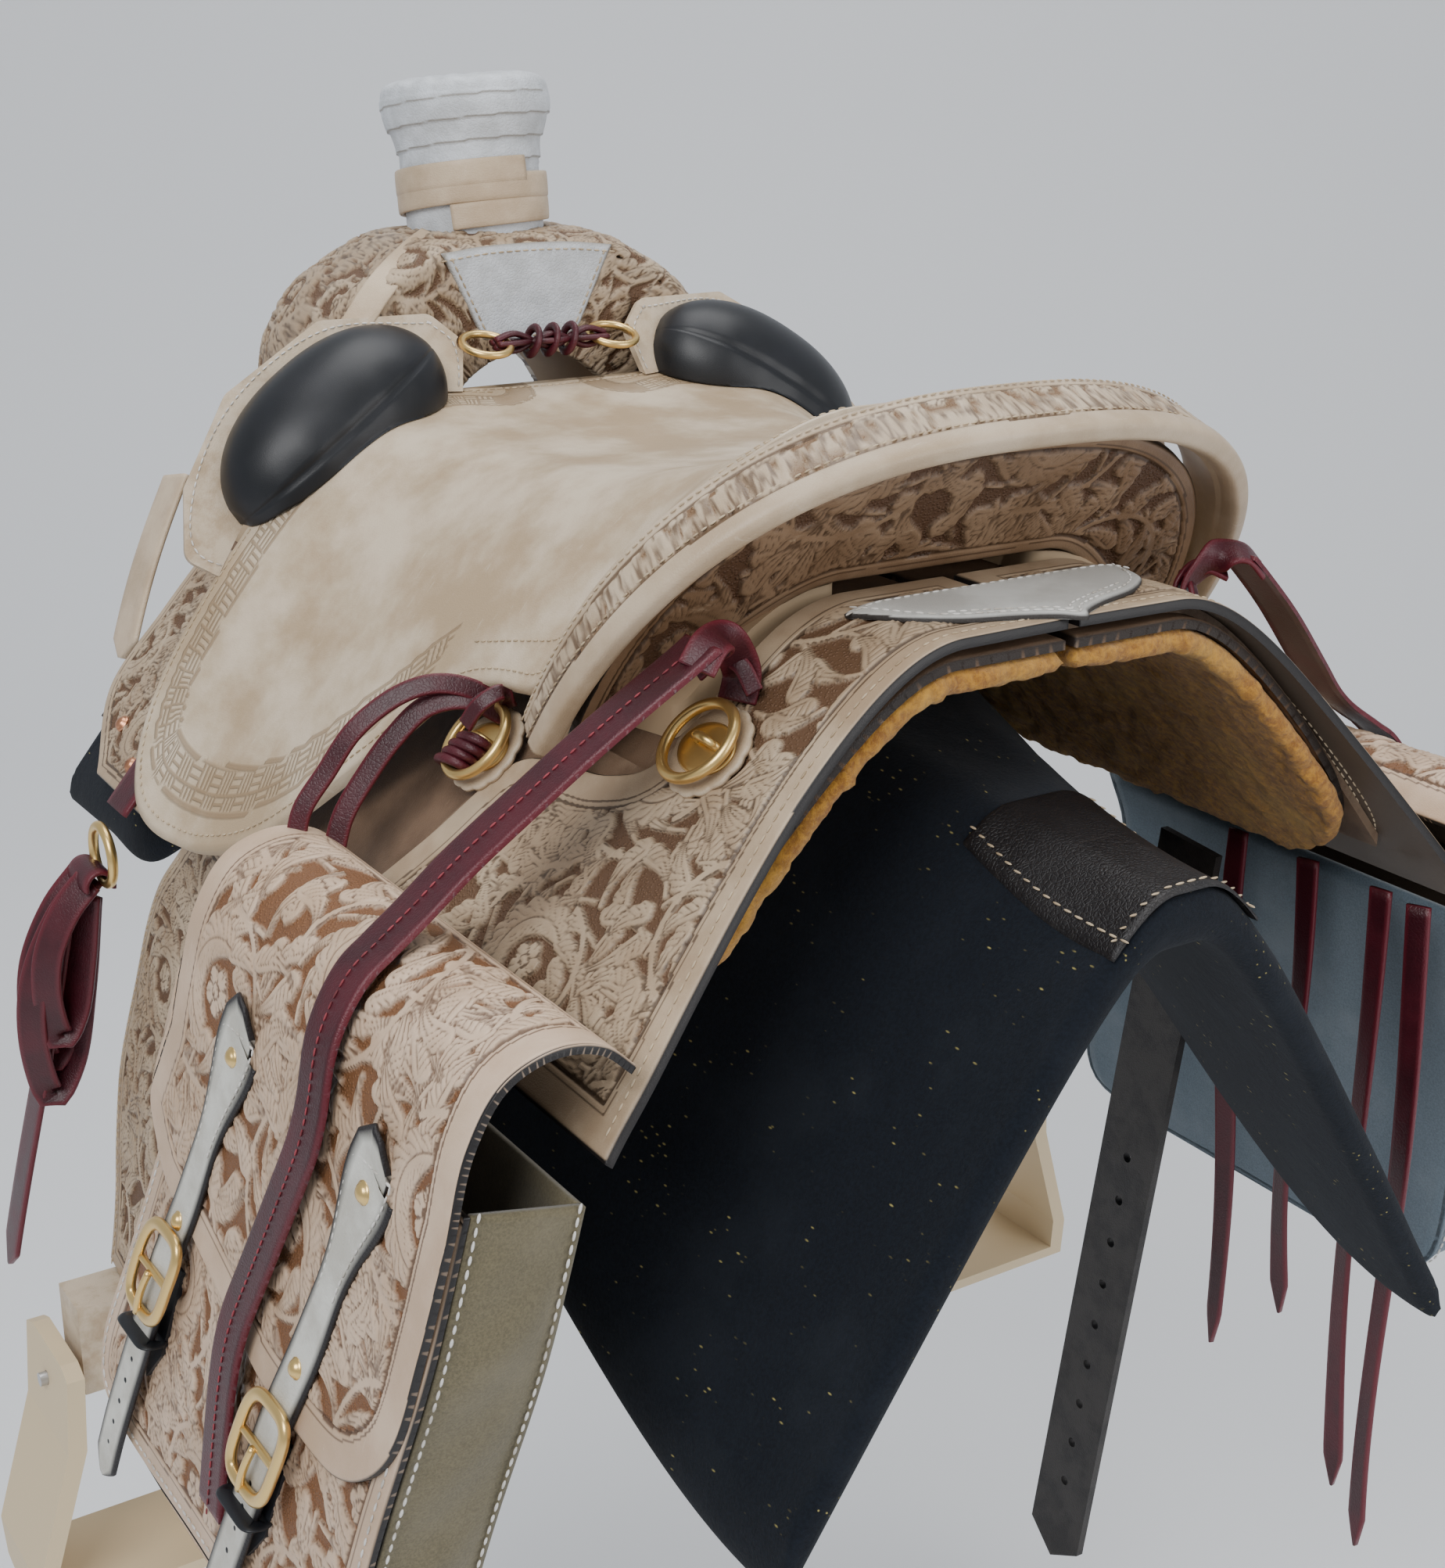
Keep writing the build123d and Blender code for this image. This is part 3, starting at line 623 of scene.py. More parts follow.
    def carve(self) -> None:
        """Fill the panel with scrolls on staggered rows, and sprays of fronds between them."""
        pitch = self.scroll * 2.05
        rows = int((self.high[1] - self.low[1]) / (pitch * 0.9)) + 2
        columns = int((self.high[0] - self.low[0]) / pitch) + 2
        spots = []
        for j in range(rows):
            for i in range(columns):
                base = np.array([self.low[0] + (i + 0.5 * (j % 2)) * pitch, self.low[1] + (j + 0.3) * pitch * 0.9])
                spots.append(base + self.rng.uniform(-0.10, 0.10, 2) * self.scroll)
        for spot in spots:
            for k in range(3):
                angle = 0.5 + k * 2.1 + self.rng.uniform(-0.2, 0.2)
                root = spot + self.scroll * 0.62 * np.array([math.cos(angle), math.sin(angle)])
                self.spray(root, angle, self.scroll * 0.92, 5)
        order = self.rng.permutation(len(spots))
        for k in order:
            hand = 1 if k % 2 == 0 else -1
            self.scroll_at(spots[k], self.scroll * self.rng.uniform(0.92, 1.04), self.rng.uniform(0, 6.28), hand)

    def sample(self, a: Array, b: Array) -> tuple[Array, Array, Array]:
        """Height, ground and cut at flat points, smoothly between cells.

        Args:
            a: First flat coordinate.
            b: Second flat coordinate.

        Returns:
            Height, ground and cut at each point.
        """
        x = np.clip((a - self.low[0]) / self.cell, 0, self.height.shape[0] - 1.001)
        y = np.clip((b - self.low[1]) / self.cell, 0, self.height.shape[1] - 1.001)
        i, j = x.astype(int), y.astype(int)
        u, v = x - i, y - j
        found = []
        for grid in (self.height, self.ground, self.cut):
            found.append(grid[i, j] * (1 - u) * (1 - v) + grid[i + 1, j] * u * (1 - v)
                         + grid[i, j + 1] * (1 - u) * v + grid[i + 1, j + 1] * u * v)
        return found[0], found[1], found[2]


def outline_distance(a: Array, b: Array, outline: Array) -> Array:
    """Distance of flat points from a closed outline.

    Args:
        a: First flat coordinate.
        b: Second flat coordinate.
        outline: Closed outline, one point per row.

    Returns:
        One distance per point.
    """
    best = np.full(a.shape, 1e9)
    nexts = np.roll(outline, -1, 0)
    for (ax, ay), (bx, by) in zip(outline, nexts):
        dx, dy = bx - ax, by - ay
        size = dx * dx + dy * dy + 1e-18
        t = np.clip(((a - ax) * dx + (b - ay) * dy) / size, 0, 1)
        best = np.minimum(best, (a - ax - t * dx) ** 2 + (b - ay - t * dy) ** 2)
    return np.sqrt(best)


@dataclass
class Panel:
    """A leather panel: a mapped grid between two edges, carved on its upper face.

    Attributes:
        name: Object name.
        surface: Place of a flat point (a, b) lifted by a height.
        near: Lower edge, as flat points.
        far: Upper edge, as flat points, matched with near.
        thick: Leather thickness.
        border: Width of the plain border.
        carving: The tooling, or None for plain leather.
        depth: Depth of the carving.
        spacing: Distance between points of the grid.
        turn: Whether the faces have to be turned over.
    """

    name: str
    surface: Surface
    near: Sequence
    far: Sequence
    thick: float
    border: float = 14.0 * MM
    carving: Carving | None = None
    depth: float = 1.1 * MM
    spacing: float = 1.25 * MM
    turn: bool = False

    def build(self, material: bpy.types.Material) -> bpy.types.Object:
        """Make the panel as one closed mesh with its tooling attributes.

        Args:
            material: Material of the panel.

        Returns:
            The panel.
        """
        near = smooth_line(self.near, 160)
        far = smooth_line(self.far, 160)
        long = max(np.linalg.norm(np.diff(line, axis=0), axis=1).sum() for line in (near, far))
        wide = np.linalg.norm(far - near, axis=1).max()
        columns = max(int(long / self.spacing), 12)
        rows = max(int(wide / self.spacing), 12)
        near, far = smooth_line(near, columns), smooth_line(far, columns)
        share = np.linspace(0, 1, rows)[:, None, None]
        flat = near[None] * (1 - share) + far[None] * share
        a, b = flat[..., 0], flat[..., 1]
        outline = np.concatenate([near, far[::-1]])[:: max(len(near) // 90, 1)]
        away = outline_distance(a, b, outline)
        away[[0, -1], :] = 0.0
        away[:, [0, -1]] = 0.0
        lift = np.zeros(a.shape)
        ground, cut = np.zeros(a.shape), np.zeros(a.shape)
        if self.carving is not None:
            height, ground, cut = self.carving.sample(a, b)
            inside = away > self.border
            ground, cut = ground * inside, cut * inside
            lift = np.where(inside, height * self.depth, 0.0)
            groove = np.abs(away - self.border) < 0.9 * MM
            cut = np.where(groove, 0.9, cut)
            lift = np.where(groove, -0.8 * self.depth, lift)
        rounding = np.clip(1 - away / (1.8 * MM), 0, 1) ** 2
        second = (np.abs(away - self.border + 3.2 * MM) < 0.6 * MM) & (self.carving is not None)
        cut = np.where(second, 0.7, cut)
        lift = lift - 0.9 * MM * rounding
        edge = (away < 0.6 * MM).astype(float)
        top = self.surface(a, b, lift)
        rim = rim_loop(rows, columns)
        flat_a, flat_b = a.ravel()[rim], b.ravel()[rim]
        under = self.surface(flat_a, flat_b, np.full(flat_a.shape, -self.thick))
        coarse_r = np.unique(np.linspace(0, rows - 1, max(rows // 5, 6)).astype(int))
        coarse_c = np.unique(np.linspace(0, columns - 1, max(columns // 5, 6)).astype(int))
        base_a, base_b = a[np.ix_(coarse_r, coarse_c)], b[np.ix_(coarse_r, coarse_c)]
        base = self.surface(base_a, base_b, np.full(base_a.shape, -self.thick))
        verts = [top.reshape(-1, 3), under, base.reshape(-1, 3)]
        count = rows * columns
        faces = grid_faces(rows, columns).tolist()
        nexts = np.roll(np.arange(len(rim)), -1)
        walls = np.stack([rim, count + np.arange(len(rim)), count + nexts, rim[nexts]], axis=1)
        start = count + len(rim)
        floor = grid_faces(len(coarse_r), len(coarse_c))[:, ::-1] + start
        faces += walls.tolist() + floor.tolist()
        obj = mesh_object(self.name, np.concatenate(verts), faces, material)
        if self.turn:
            obj.data.flip_normals()
        extra = len(rim) + len(base.reshape(-1, 3))
        set_attribute(obj, "ground", np.concatenate([ground.ravel(), np.zeros(extra)]))
        set_attribute(obj, "cut", np.concatenate([cut.ravel(), np.zeros(extra)]))
        flesh = np.concatenate([np.zeros(count), np.full(len(rim), 0.0), np.ones(base.reshape(-1, 3).shape[0])])
        set_attribute(obj, "flesh", flesh)
        rims = [edge.ravel(), np.ones(len(rim)), np.zeros(len(base.reshape(-1, 3)))]
        set_attribute(obj, "edge", np.concatenate(rims))
        return obj


# --------------------------------------------------------------------------- shaders


Colour = tuple[float, float, float]
Value = bpy.types.NodeSocket | float | Colour


class Graph:
    """Adds and links nodes in one node tree."""

    def __init__(self, tree: bpy.types.NodeTree) -> None:
        """Keep the tree that nodes are added to."""
        self.tree = tree

    def add(self, kind: str, inputs: dict | None = None, **settings) -> bpy.types.Node:
        """Add a node, then set or link its inputs and set its properties.

        Args:
            kind: Node type.
            inputs: Values or sockets by input name.
            settings: Properties of the node.

        Returns:
            The node.
        """
        node = self.tree.nodes.new(kind)
        for key, value in settings.items():
            setattr(node, key, value)
        for key, value in (inputs or {}).items():
            if isinstance(value, bpy.types.NodeSocket):
                self.tree.links.new(value, node.inputs[key])
            else:
                socket = node.inputs[key]
                if socket.type == "RGBA" and len(value) == 3:
                    value = (*value, 1.0)
                socket.default_value = value
        return node

    def math(self, kind: str, a: Value, b: Value = 0.0, c: Value = 0.0) -> bpy.types.NodeSocket:
        """One number from up to three."""
        return self.add("ShaderNodeMath", {0: a, 1: b, 2: c}, operation=kind).outputs[0]

    def mix(self, share: Value, a: Value, b: Value, blend: str = "MIX") -> bpy.types.NodeSocket:
        """A colour between two."""
        node = self.add("ShaderNodeMix", {0: share, 6: a, 7: b}, data_type="RGBA", blend_type=blend)
        return node.outputs[2]

    def ramp(self, value: Value, low: float, high: float, out_low: float = 0.0,
             out_high: float = 1.0) -> bpy.types.NodeSocket:
        """A smooth step of a value.

        Args:
            value: The value.
            low: Value where the step starts.
            high: Value where the step ends.
            out_low: Result below it.
            out_high: Result above it.

        Returns:
            The stepped value.
        """
        node = self.add("ShaderNodeMapRange", {0: value, 1: low, 2: high, 3: out_low, 4: out_high},
                        interpolation_type="SMOOTHSTEP")
        return node.outputs[0]

    def noise(self, where: Value, scale: Value, detail: float = 3.0, rough: float = 0.55) -> bpy.types.NodeSocket:
        """Soft noise."""
        return self.add("ShaderNodeTexNoise", {"Vector": where, "Scale": scale, "Detail": detail,
                                               "Roughness": rough}).outputs[0]

    def attribute(self, name: str) -> bpy.types.NodeSocket:
        """A number stored on the mesh."""
        return self.add("ShaderNodeAttribute", attribute_name=name).outputs["Fac"]


def shader_group(name: str, inputs: dict[str, tuple[str, object]], outputs: dict[str, str],
                 fill: Callable) -> bpy.types.NodeTree:
    """Make a shader group, or return it when it is already made.

    Args:
        name: Group name.
        inputs: Socket kind and default for every input.
        outputs: Socket kind of every output.
        fill: Called with the graph, the inputs node and the outputs node.

    Returns:
        The group's node tree.
    """
    if name in bpy.data.node_groups:
        return bpy.data.node_groups[name]
    tree = bpy.data.node_groups.new(name, "ShaderNodeTree")
    for key, (kind, value) in inputs.items():
        socket = tree.interface.new_socket(key, in_out="INPUT", socket_type=kind)
        socket.default_value = value
    for key, kind in outputs.items():
        tree.interface.new_socket(key, in_out="OUTPUT", socket_type=kind)
    graph = Graph(tree)
    fill(graph, tree.nodes.new("NodeGroupInput"), tree.nodes.new("NodeGroupOutput"))
    return tree


def grain_group() -> bpy.types.NodeTree:
    """Leather grain: pebbles, creases and pores in the object's own space.

    Returns:
        The node group.
    """

    def fill(g: Graph, given: bpy.types.Node, out: bpy.types.Node) -> None:
        """Link the group's nodes between its inputs and outputs."""
        where = g.add("ShaderNodeTexCoord").outputs["Object"]
        warp = g.add("ShaderNodeTexNoise", {"Vector": where, "Scale": 90.0, "Detail": 2.0}).outputs["Color"]
        bent = g.add("ShaderNodeMix", {0: 0.004, 4: where, 5: warp}, data_type="VECTOR").outputs[1]
        cells = g.add("ShaderNodeTexVoronoi", {"Vector": bent, "Scale": given.outputs["Scale"]},
                      feature="DISTANCE_TO_EDGE").outputs["Distance"]
        pebble = g.ramp(cells, 0.0, 0.22)
        crease = g.ramp(g.noise(where, 34.0, 6.0, 0.7), 0.46, 0.54)
        pores = g.noise(where, 1500.0, 2.0)
        height = g.math("ADD", g.math("MULTIPLY", pebble, 0.5), g.math("MULTIPLY", pores, 0.35))
        height = g.math("ADD", height, g.math("MULTIPLY", crease, 0.25))
        bump = g.add("ShaderNodeBump", {"Strength": given.outputs["Strength"], "Distance": 0.0006, "Height": height})
        mottle = g.noise(where, given.outputs["Mottle"], 5.0, 0.6)
        g.tree.links.new(bump.outputs[0], out.inputs["Normal"])
        g.tree.links.new(mottle, out.inputs["Mottle"])
        g.tree.links.new(pebble, out.inputs["Pebble"])

    return shader_group("grain", {"Scale": ("NodeSocketFloat", 700.0), "Strength": ("NodeSocketFloat", 0.4),
                                  "Mottle": ("NodeSocketFloat", 22.0)},
                        {"Normal": "NodeSocketVector", "Mottle": "NodeSocketFloat", "Pebble": "NodeSocketFloat"}, fill)


def wear_group() -> bpy.types.NodeTree:
    """Masks for worn convex edges, concave hollows and scattered scuffs: painted shade in the hollows on leather,
    tarnish in them on metal.

    Returns:
        The node group.
    """

    def fill(g: Graph, given: bpy.types.Node, out: bpy.types.Node) -> None:
        """Link the group's nodes between its inputs and outputs."""
        where = g.add("ShaderNodeTexCoord").outputs["Object"]
        point = g.add("ShaderNodeNewGeometry").outputs["Pointiness"]
        patchy = g.noise(where, 60.0, 4.0, 0.65)
        edge = g.math("MULTIPLY", g.ramp(point, 0.52, 0.60), g.ramp(patchy, 0.35, 0.6))
        # Concave places by pointiness: leather darkens them as painted shade, metal as tarnish.
        hollow = g.ramp(point, 0.48, 0.40)
        long = g.add("ShaderNodeMapping", {"Vector": where, "Rotation": (0.4, 0.7, 0.3), "Scale": (1.0, 14.0, 3.0)})
        scuff = g.ramp(g.noise(long.outputs[0], 26.0, 6.0, 0.75), 0.60, 0.72)
        g.tree.links.new(edge, out.inputs["Edge"])
        g.tree.links.new(hollow, out.inputs["Hollow"])
        g.tree.links.new(scuff, out.inputs["Scuff"])

    return shader_group("wear", {}, {"Edge": "NodeSocketFloat", "Hollow": "NodeSocketFloat",
                                     "Scuff": "NodeSocketFloat"}, fill)


@dataclass(frozen=True)
class Finish:
    """A surface finish, and the recipe that turns it into a material.

    Attributes:
        name: Material name.
        colour: Main colour, linear.
        dark: Colour of darker blotches, and of hollows: painted shade on leather, tarnish on metal.
        light: Colour of worn places.
    """

    name: str
    colour: Colour
    dark: Colour
    light: Colour

    def material(self) -> bpy.types.Material:
        """Return the finish's material, made once.

        Returns:
            The material.
        """
        if self.name in bpy.data.materials:
            return bpy.data.materials[self.name]
        made = bpy.data.materials.new(self.name)
        made.use_nodes = True
        made.node_tree.nodes.clear()
        graph = Graph(made.node_tree)
        shader = self.shade(graph)
        out = graph.add("ShaderNodeOutputMaterial")
        made.node_tree.links.new(shader.outputs[0], out.inputs["Surface"])
        made.diffuse_color = (*self.colour, 1.0)
        return made

    def shade(self, g: Graph) -> bpy.types.Node:
        """Return the finish's shader node."""
        raise NotImplementedError


@dataclass(frozen=True)
class Leather(Finish):
    """Grained leather with mottling, scuffs, worn edges, painted shade in its hollows and a dyed edge."""

    rough: float = 0.5
    grain: float = 700.0
    strength: float = 0.35
    mottle: float = 22.0
    scuffs: float = 0.5
    coat: float = 0.0
    edge: Colour | None = None

    def base(self, g: Graph) -> tuple:
        """Colour, roughness and normal before any tooling.

        Args:
            g: Node graph of the material.

        Returns:
            Colour, roughness and normal sockets.
        """
        grain = g.add("ShaderNodeGroup", node_tree=grain_group())
        grain.inputs["Scale"].default_value = self.grain
        grain.inputs["Strength"].default_value = self.strength
        grain.inputs["Mottle"].default_value = self.mottle
        wear = g.add("ShaderNodeGroup", node_tree=wear_group())
        blotch = g.ramp(grain.outputs["Mottle"], 0.35, 0.68)
        colour = g.mix(blotch, self.dark, self.colour)
        # Painted shade: darker in concave hollows.
        colour = g.mix(g.math("MULTIPLY", wear.outputs["Hollow"], 0.6), colour, self.dark)
        colour = g.mix(g.math("MULTIPLY", wear.outputs["Scuff"], self.scuffs), colour, self.light)
        colour = g.mix(g.math("MULTIPLY", wear.outputs["Edge"], 0.55), colour, self.light)
        rough = g.math("ADD", self.rough - 0.1, g.math("MULTIPLY", grain.outputs["Mottle"], 0.22))
        return colour, rough, grain.outputs["Normal"]

    def shade(self, g: Graph) -> bpy.types.Node:
        """Plain leather.

        Args:
            g: Node graph of the material.

        Returns:
            The shader node.
        """
        colour, rough, normal = self.base(g)
        if self.edge is not None:
            mask = g.attribute("edge")
            colour = g.mix(mask, colour, self.edge)
        return g.add("ShaderNodeBsdfPrincipled", {"Base Color": colour, "Roughness": rough, "Normal": normal,
                                                  "Coat Weight": self.coat, "Coat Roughness": 0.3,
                                                  "Specular IOR Level": 0.4})


@dataclass(frozen=True)
class Tooled(Leather):
    """Carved leather: light leaves on a dark beaded ground, with antiqued cuts and painted shade along the leaves' low
    edges.
    """

    ground: Colour = (0.2, 0.1, 0.05)
    cut: Colour = (0.05, 0.025, 0.012)
    flesh: Colour = (0.16, 0.12, 0.09)
    black: Colour = (0.012, 0.010, 0.010)

    def shade(self, g: Graph) -> bpy.types.Node:
        """Leather whose tooling comes from the mesh's own attributes.

        Args:
            g: Node graph of the material.

        Returns:
            The shader node.
        """
        colour, rough, normal = self.base(g)
        where = g.add("ShaderNodeTexCoord").outputs["Object"]
        beads = g.add("ShaderNodeTexVoronoi", {"Vector": where, "Scale": 620.0}, feature="F1").outputs["Distance"]
        ground = g.attribute("ground")
        bead = g.ramp(beads, 0.12, 0.55)
        tone = g.mix(g.math("MULTIPLY", bead, 0.45), self.ground, self.cut)
        colour = g.mix(ground, colour, tone)
        # The cut attribute holds the antiqued cut lines and the painted shade at the leaves' low edges.
        cut = g.ramp(g.attribute("cut"), 0.15, 0.8)
        colour = g.mix(g.math("MULTIPLY", cut, 0.85), colour, self.cut)
        fuzz = g.noise(where, 800.0, 4.0, 0.7)
        flesh = g.mix(fuzz, tuple(0.6 * v for v in self.flesh), self.flesh)
        colour = g.mix(g.attribute("flesh"), colour, flesh)
        colour = g.mix(g.attribute("edge"), colour, self.black)
        dent = g.math("MULTIPLY", g.math("MULTIPLY", bead, ground), -1.0)
        bump = g.add("ShaderNodeBump", {"Strength": 0.8, "Distance": 0.0007, "Height": dent, "Normal": normal})
        rough = g.math("ADD", rough, g.math("MULTIPLY", ground, 0.15))
        return g.add("ShaderNodeBsdfPrincipled", {"Base Color": colour, "Roughness": rough,
                                                  "Normal": bump.outputs[0], "Coat Weight": self.coat,
                                                  "Coat Roughness": 0.28, "Specular IOR Level": 0.4})


@dataclass(frozen=True)
class Stamped(Leather):
    """Smooth leather with a stamped basket border where the mesh says so."""

    cut: Colour = (0.08, 0.045, 0.02)

    def shade(self, g: Graph) -> bpy.types.Node:
        """Leather with a key pattern that follows the border's own run and depth.

        Args:
            g: Node graph of the material.

        Returns:
            The shader node.
        """
        colour, rough, normal = self.base(g)
        run, depth, mask = g.attribute("run"), g.attribute("depth"), g.attribute("border")
        column = g.math("FRACT", g.math("DIVIDE", run, 0.0085))
        row = g.math("FRACT", g.math("DIVIDE", depth, 0.0085))
        odd = g.math("MODULO", g.math("ADD", g.math("FLOOR", g.math("DIVIDE", run, 0.0085)),
                                      g.math("FLOOR", g.math("DIVIDE", depth, 0.0085))), 2.0)
        bars_a = g.math("PINGPONG", g.math("MULTIPLY", column, 3.0), 0.5)
        bars_b = g.math("PINGPONG", g.math("MULTIPLY", row, 3.0), 0.5)
        bars = g.math("ADD", g.math("MULTIPLY", bars_a, odd), g.math("MULTIPLY", bars_b, g.math("SUBTRACT", 1.0, odd)))
        box = g.math("MINIMUM", g.math("PINGPONG", column, 0.5), g.math("PINGPONG", row, 0.5))
        line = g.math("MINIMUM", g.ramp(bars, 0.08, 0.26), g.ramp(box, 0.02, 0.12))
        carved = g.math("MULTIPLY", g.math("SUBTRACT", 1.0, line), mask)
        lines = g.ramp(g.attribute("lines"), 0.3, 0.8)
        carved = g.math("MAXIMUM", carved, lines)
        colour = g.mix(g.math("MULTIPLY", carved, 0.6), colour, self.cut)
        bump = g.add("ShaderNodeBump", {"Strength": 0.9, "Distance": 0.0008,
                                        "Height": g.math("MULTIPLY", carved, -1.0), "Normal": normal})
        return g.add("ShaderNodeBsdfPrincipled", {"Base Color": colour, "Roughness": rough,
                                                  "Normal": bump.outputs[0], "Coat Weight": self.coat,
                                                  "Coat Roughness": 0.3, "Specular IOR Level": 0.4})


@dataclass(frozen=True)
class Fibre(Finish):
    """Felt, wool or suede: matted fibres with lint and a soft sheen."""

    scale: float = 420.0
    depth: float = 0.0012
    strength: float = 0.8
    lint: Colour = (0.6, 0.55, 0.4)
    lint_share: float = 0.0
    stretch: tuple[float, float, float] = (1.0, 1.0, 1.0)
    sheen: float = 0.25

    def shade(self, g: Graph) -> bpy.types.Node:
        """Fibres from stretched noise over clumps.

        Args:
            g: Node graph of the material.

        Returns:
            The shader node.
        """
        where = g.add("ShaderNodeTexCoord").outputs["Object"]
        long = g.add("ShaderNodeMapping", {"Vector": where, "Scale": self.stretch}).outputs[0]
        strands = g.noise(long, self.scale, 6.0, 0.75)
        clumps = g.noise(where, self.scale * 0.12, 4.0, 0.6)
        blotch = g.noise(where, 14.0, 4.0, 0.6)
        height = g.math("ADD", g.math("MULTIPLY", strands, 0.6), clumps)
        bump = g.add("ShaderNodeBump", {"Strength": self.strength, "Distance": self.depth, "Height": height})
        colour = g.mix(g.ramp(strands, 0.35, 0.65), self.dark, self.colour)
        colour = g.mix(g.math("MULTIPLY", g.ramp(blotch, 0.45, 0.7), 0.5), colour, self.light)
        thread = g.add("ShaderNodeTexVoronoi", {"Vector": g.add("ShaderNodeMapping", {
            "Vector": where, "Scale": (1.0, 0.35, 1.0), "Rotation": (0.2, 0.4, 0.8)}).outputs[0], "Scale": 260.0})
        speck = g.ramp(thread.outputs["Distance"], 0.16, 0.05)
        speck = g.math("MULTIPLY", speck, g.ramp(g.noise(where, 38.0, 3.0, 0.6), 0.5, 0.62))
        colour = g.mix(g.math("MULTIPLY", speck, self.lint_share), colour, self.lint)
        return g.add("ShaderNodeBsdfPrincipled", {"Base Color": colour, "Roughness": 0.92, "Normal": bump.outputs[0],
                                                  "Sheen Weight": self.sheen, "Sheen Roughness": 0.6,
                                                  "Specular IOR Level": 0.15})


@dataclass(frozen=True)
class Metal(Finish):
    """Cast and polished metal with tarnish in its hollows."""

    rough: float = 0.22

    def shade(self, g: Graph) -> bpy.types.Node:
        """Metal with fine scratches and blotchy tarnish.

        Args:
            g: Node graph of the material.

        Returns:
            The shader node.
        """
        where = g.add("ShaderNodeTexCoord").outputs["Object"]
        wear = g.add("ShaderNodeGroup", node_tree=wear_group())
        tarnish = g.ramp(g.noise(where, 130.0, 6.0, 0.7), 0.45, 0.7)
        colour = g.mix(g.math("MULTIPLY", tarnish, 0.7), self.colour, self.dark)
        colour = g.mix(wear.outputs["Hollow"], colour, self.dark)
        colour = g.mix(wear.outputs["Edge"], colour, self.light)
        scratch = g.noise(g.add("ShaderNodeMapping", {"Vector": where, "Scale": (1, 9, 2)}).outputs[0], 900.0, 3.0)
        bump = g.add("ShaderNodeBump", {"Strength": 0.25, "Distance": 0.0002, "Height": scratch})
        rough = g.math("ADD", self.rough, g.math("MULTIPLY", tarnish, 0.25))
        return g.add("ShaderNodeBsdfPrincipled", {"Base Color": colour, "Metallic": 1.0, "Roughness": rough,
                                                  "Normal": bump.outputs[0]})


@dataclass(frozen=True)
class Thread(Finish):
    """Waxed thread, twisted."""

    def shade(self, g: Graph) -> bpy.types.Node:
        """Thread with fine twist and dirt.

        Args:
            g: Node graph of the material.

        Returns:
            The shader node.
        """
        where = g.add("ShaderNodeTexCoord").outputs["Object"]
        dirt = g.noise(where, 70.0, 4.0)
        colour = g.mix(g.ramp(dirt, 0.4, 0.7), self.colour, self.dark)
        twist = g.noise(where, 2600.0, 1.0)
        bump = g.add("ShaderNodeBump", {"Strength": 0.6, "Distance": 0.0003, "Height": twist})
        return g.add("ShaderNodeBsdfPrincipled", {"Base Color": colour, "Roughness": 0.65, "Normal": bump.outputs[0]})


@dataclass(frozen=True)
class Wood(Finish):
    """Planed wood under rawhide lacquer."""

    def shade(self, g: Graph) -> bpy.types.Node:
        """Wood rings stretched along the tree.

        Args:
            g: Node graph of the material.

        Returns:
            The shader node.
        """
        where = g.add("ShaderNodeTexCoord").outputs["Object"]
        long = g.add("ShaderNodeMapping", {"Vector": where, "Scale": (6.0, 1.0, 6.0)}).outputs[0]
        rings = g.add("ShaderNodeTexWave", {"Vector": long, "Scale": 8.0, "Distortion": 6.0, "Detail": 3.0}).outputs[1]
        pores = g.noise(long, 300.0, 4.0)
        colour = g.mix(g.ramp(rings, 0.2, 0.8), self.dark, self.colour)
        bump = g.add("ShaderNodeBump", {"Strength": 0.4, "Distance": 0.0004, "Height": pores})
        return g.add("ShaderNodeBsdfPrincipled", {"Base Color": colour, "Roughness": 0.55, "Normal": bump.outputs[0]})


YOKE_LEATHER = Tooled("tooled_brown", (0.50, 0.385, 0.265), (0.37, 0.265, 0.17), (0.58, 0.475, 0.355), rough=0.44,
                      grain=800.0, strength=0.18, coat=0.08, ground=(0.165, 0.085, 0.042), cut=(0.055, 0.030, 0.016))
FLAP_LEATHER = Tooled("tooled_tan", (0.64, 0.475, 0.345), (0.52, 0.365, 0.245), (0.70, 0.56, 0.44), rough=0.42,
                      grain=800.0, strength=0.18, coat=0.08, ground=(0.255, 0.110, 0.042), cut=(0.085, 0.040, 0.020))
ROLL_LEATHER = Tooled("tooled_roll", (0.56, 0.445, 0.32), (0.43, 0.32, 0.21), (0.64, 0.54, 0.42), rough=0.42,
                           strength=0.18, coat=0.1, ground=(0.26, 0.15, 0.075), cut=(0.10, 0.055, 0.028))
BACK_LEATHER = Tooled("tooled_cantle", (0.33, 0.215, 0.13), (0.225, 0.135, 0.075), (0.48, 0.36, 0.24), rough=0.42,
                      strength=0.18, coat=0.1, ground=(0.13, 0.062, 0.030), cut=(0.055, 0.027, 0.013))
SEAT_LEATHER = Stamped("seat_cream", (0.62, 0.515, 0.385), (0.41, 0.30, 0.185), (0.70, 0.62, 0.50), rough=0.46,
                       grain=620.0, strength=0.22, mottle=17.0, scuffs=0.45, coat=0.06, cut=(0.21, 0.13, 0.065))
PLAIN = Leather("plain_natural", (0.58, 0.46, 0.32), (0.42, 0.31, 0.20), (0.68, 0.58, 0.45), rough=0.45,
                strength=0.25, coat=0.05, edge=(0.02, 0.015, 0.012))
SKIRTING = Leather("skirting_brown", (0.20, 0.125, 0.078), (0.115, 0.068, 0.040), (0.34, 0.25, 0.17), rough=0.55,
                   strength=0.35, edge=(0.022, 0.014, 0.010))
BLACK = Leather("black_smooth", (0.0075, 0.0085, 0.012), (0.005, 0.006, 0.008), (0.030, 0.033, 0.040), rough=0.42,
                grain=1100.0, strength=0.10, scuffs=0.2, coat=0.12)
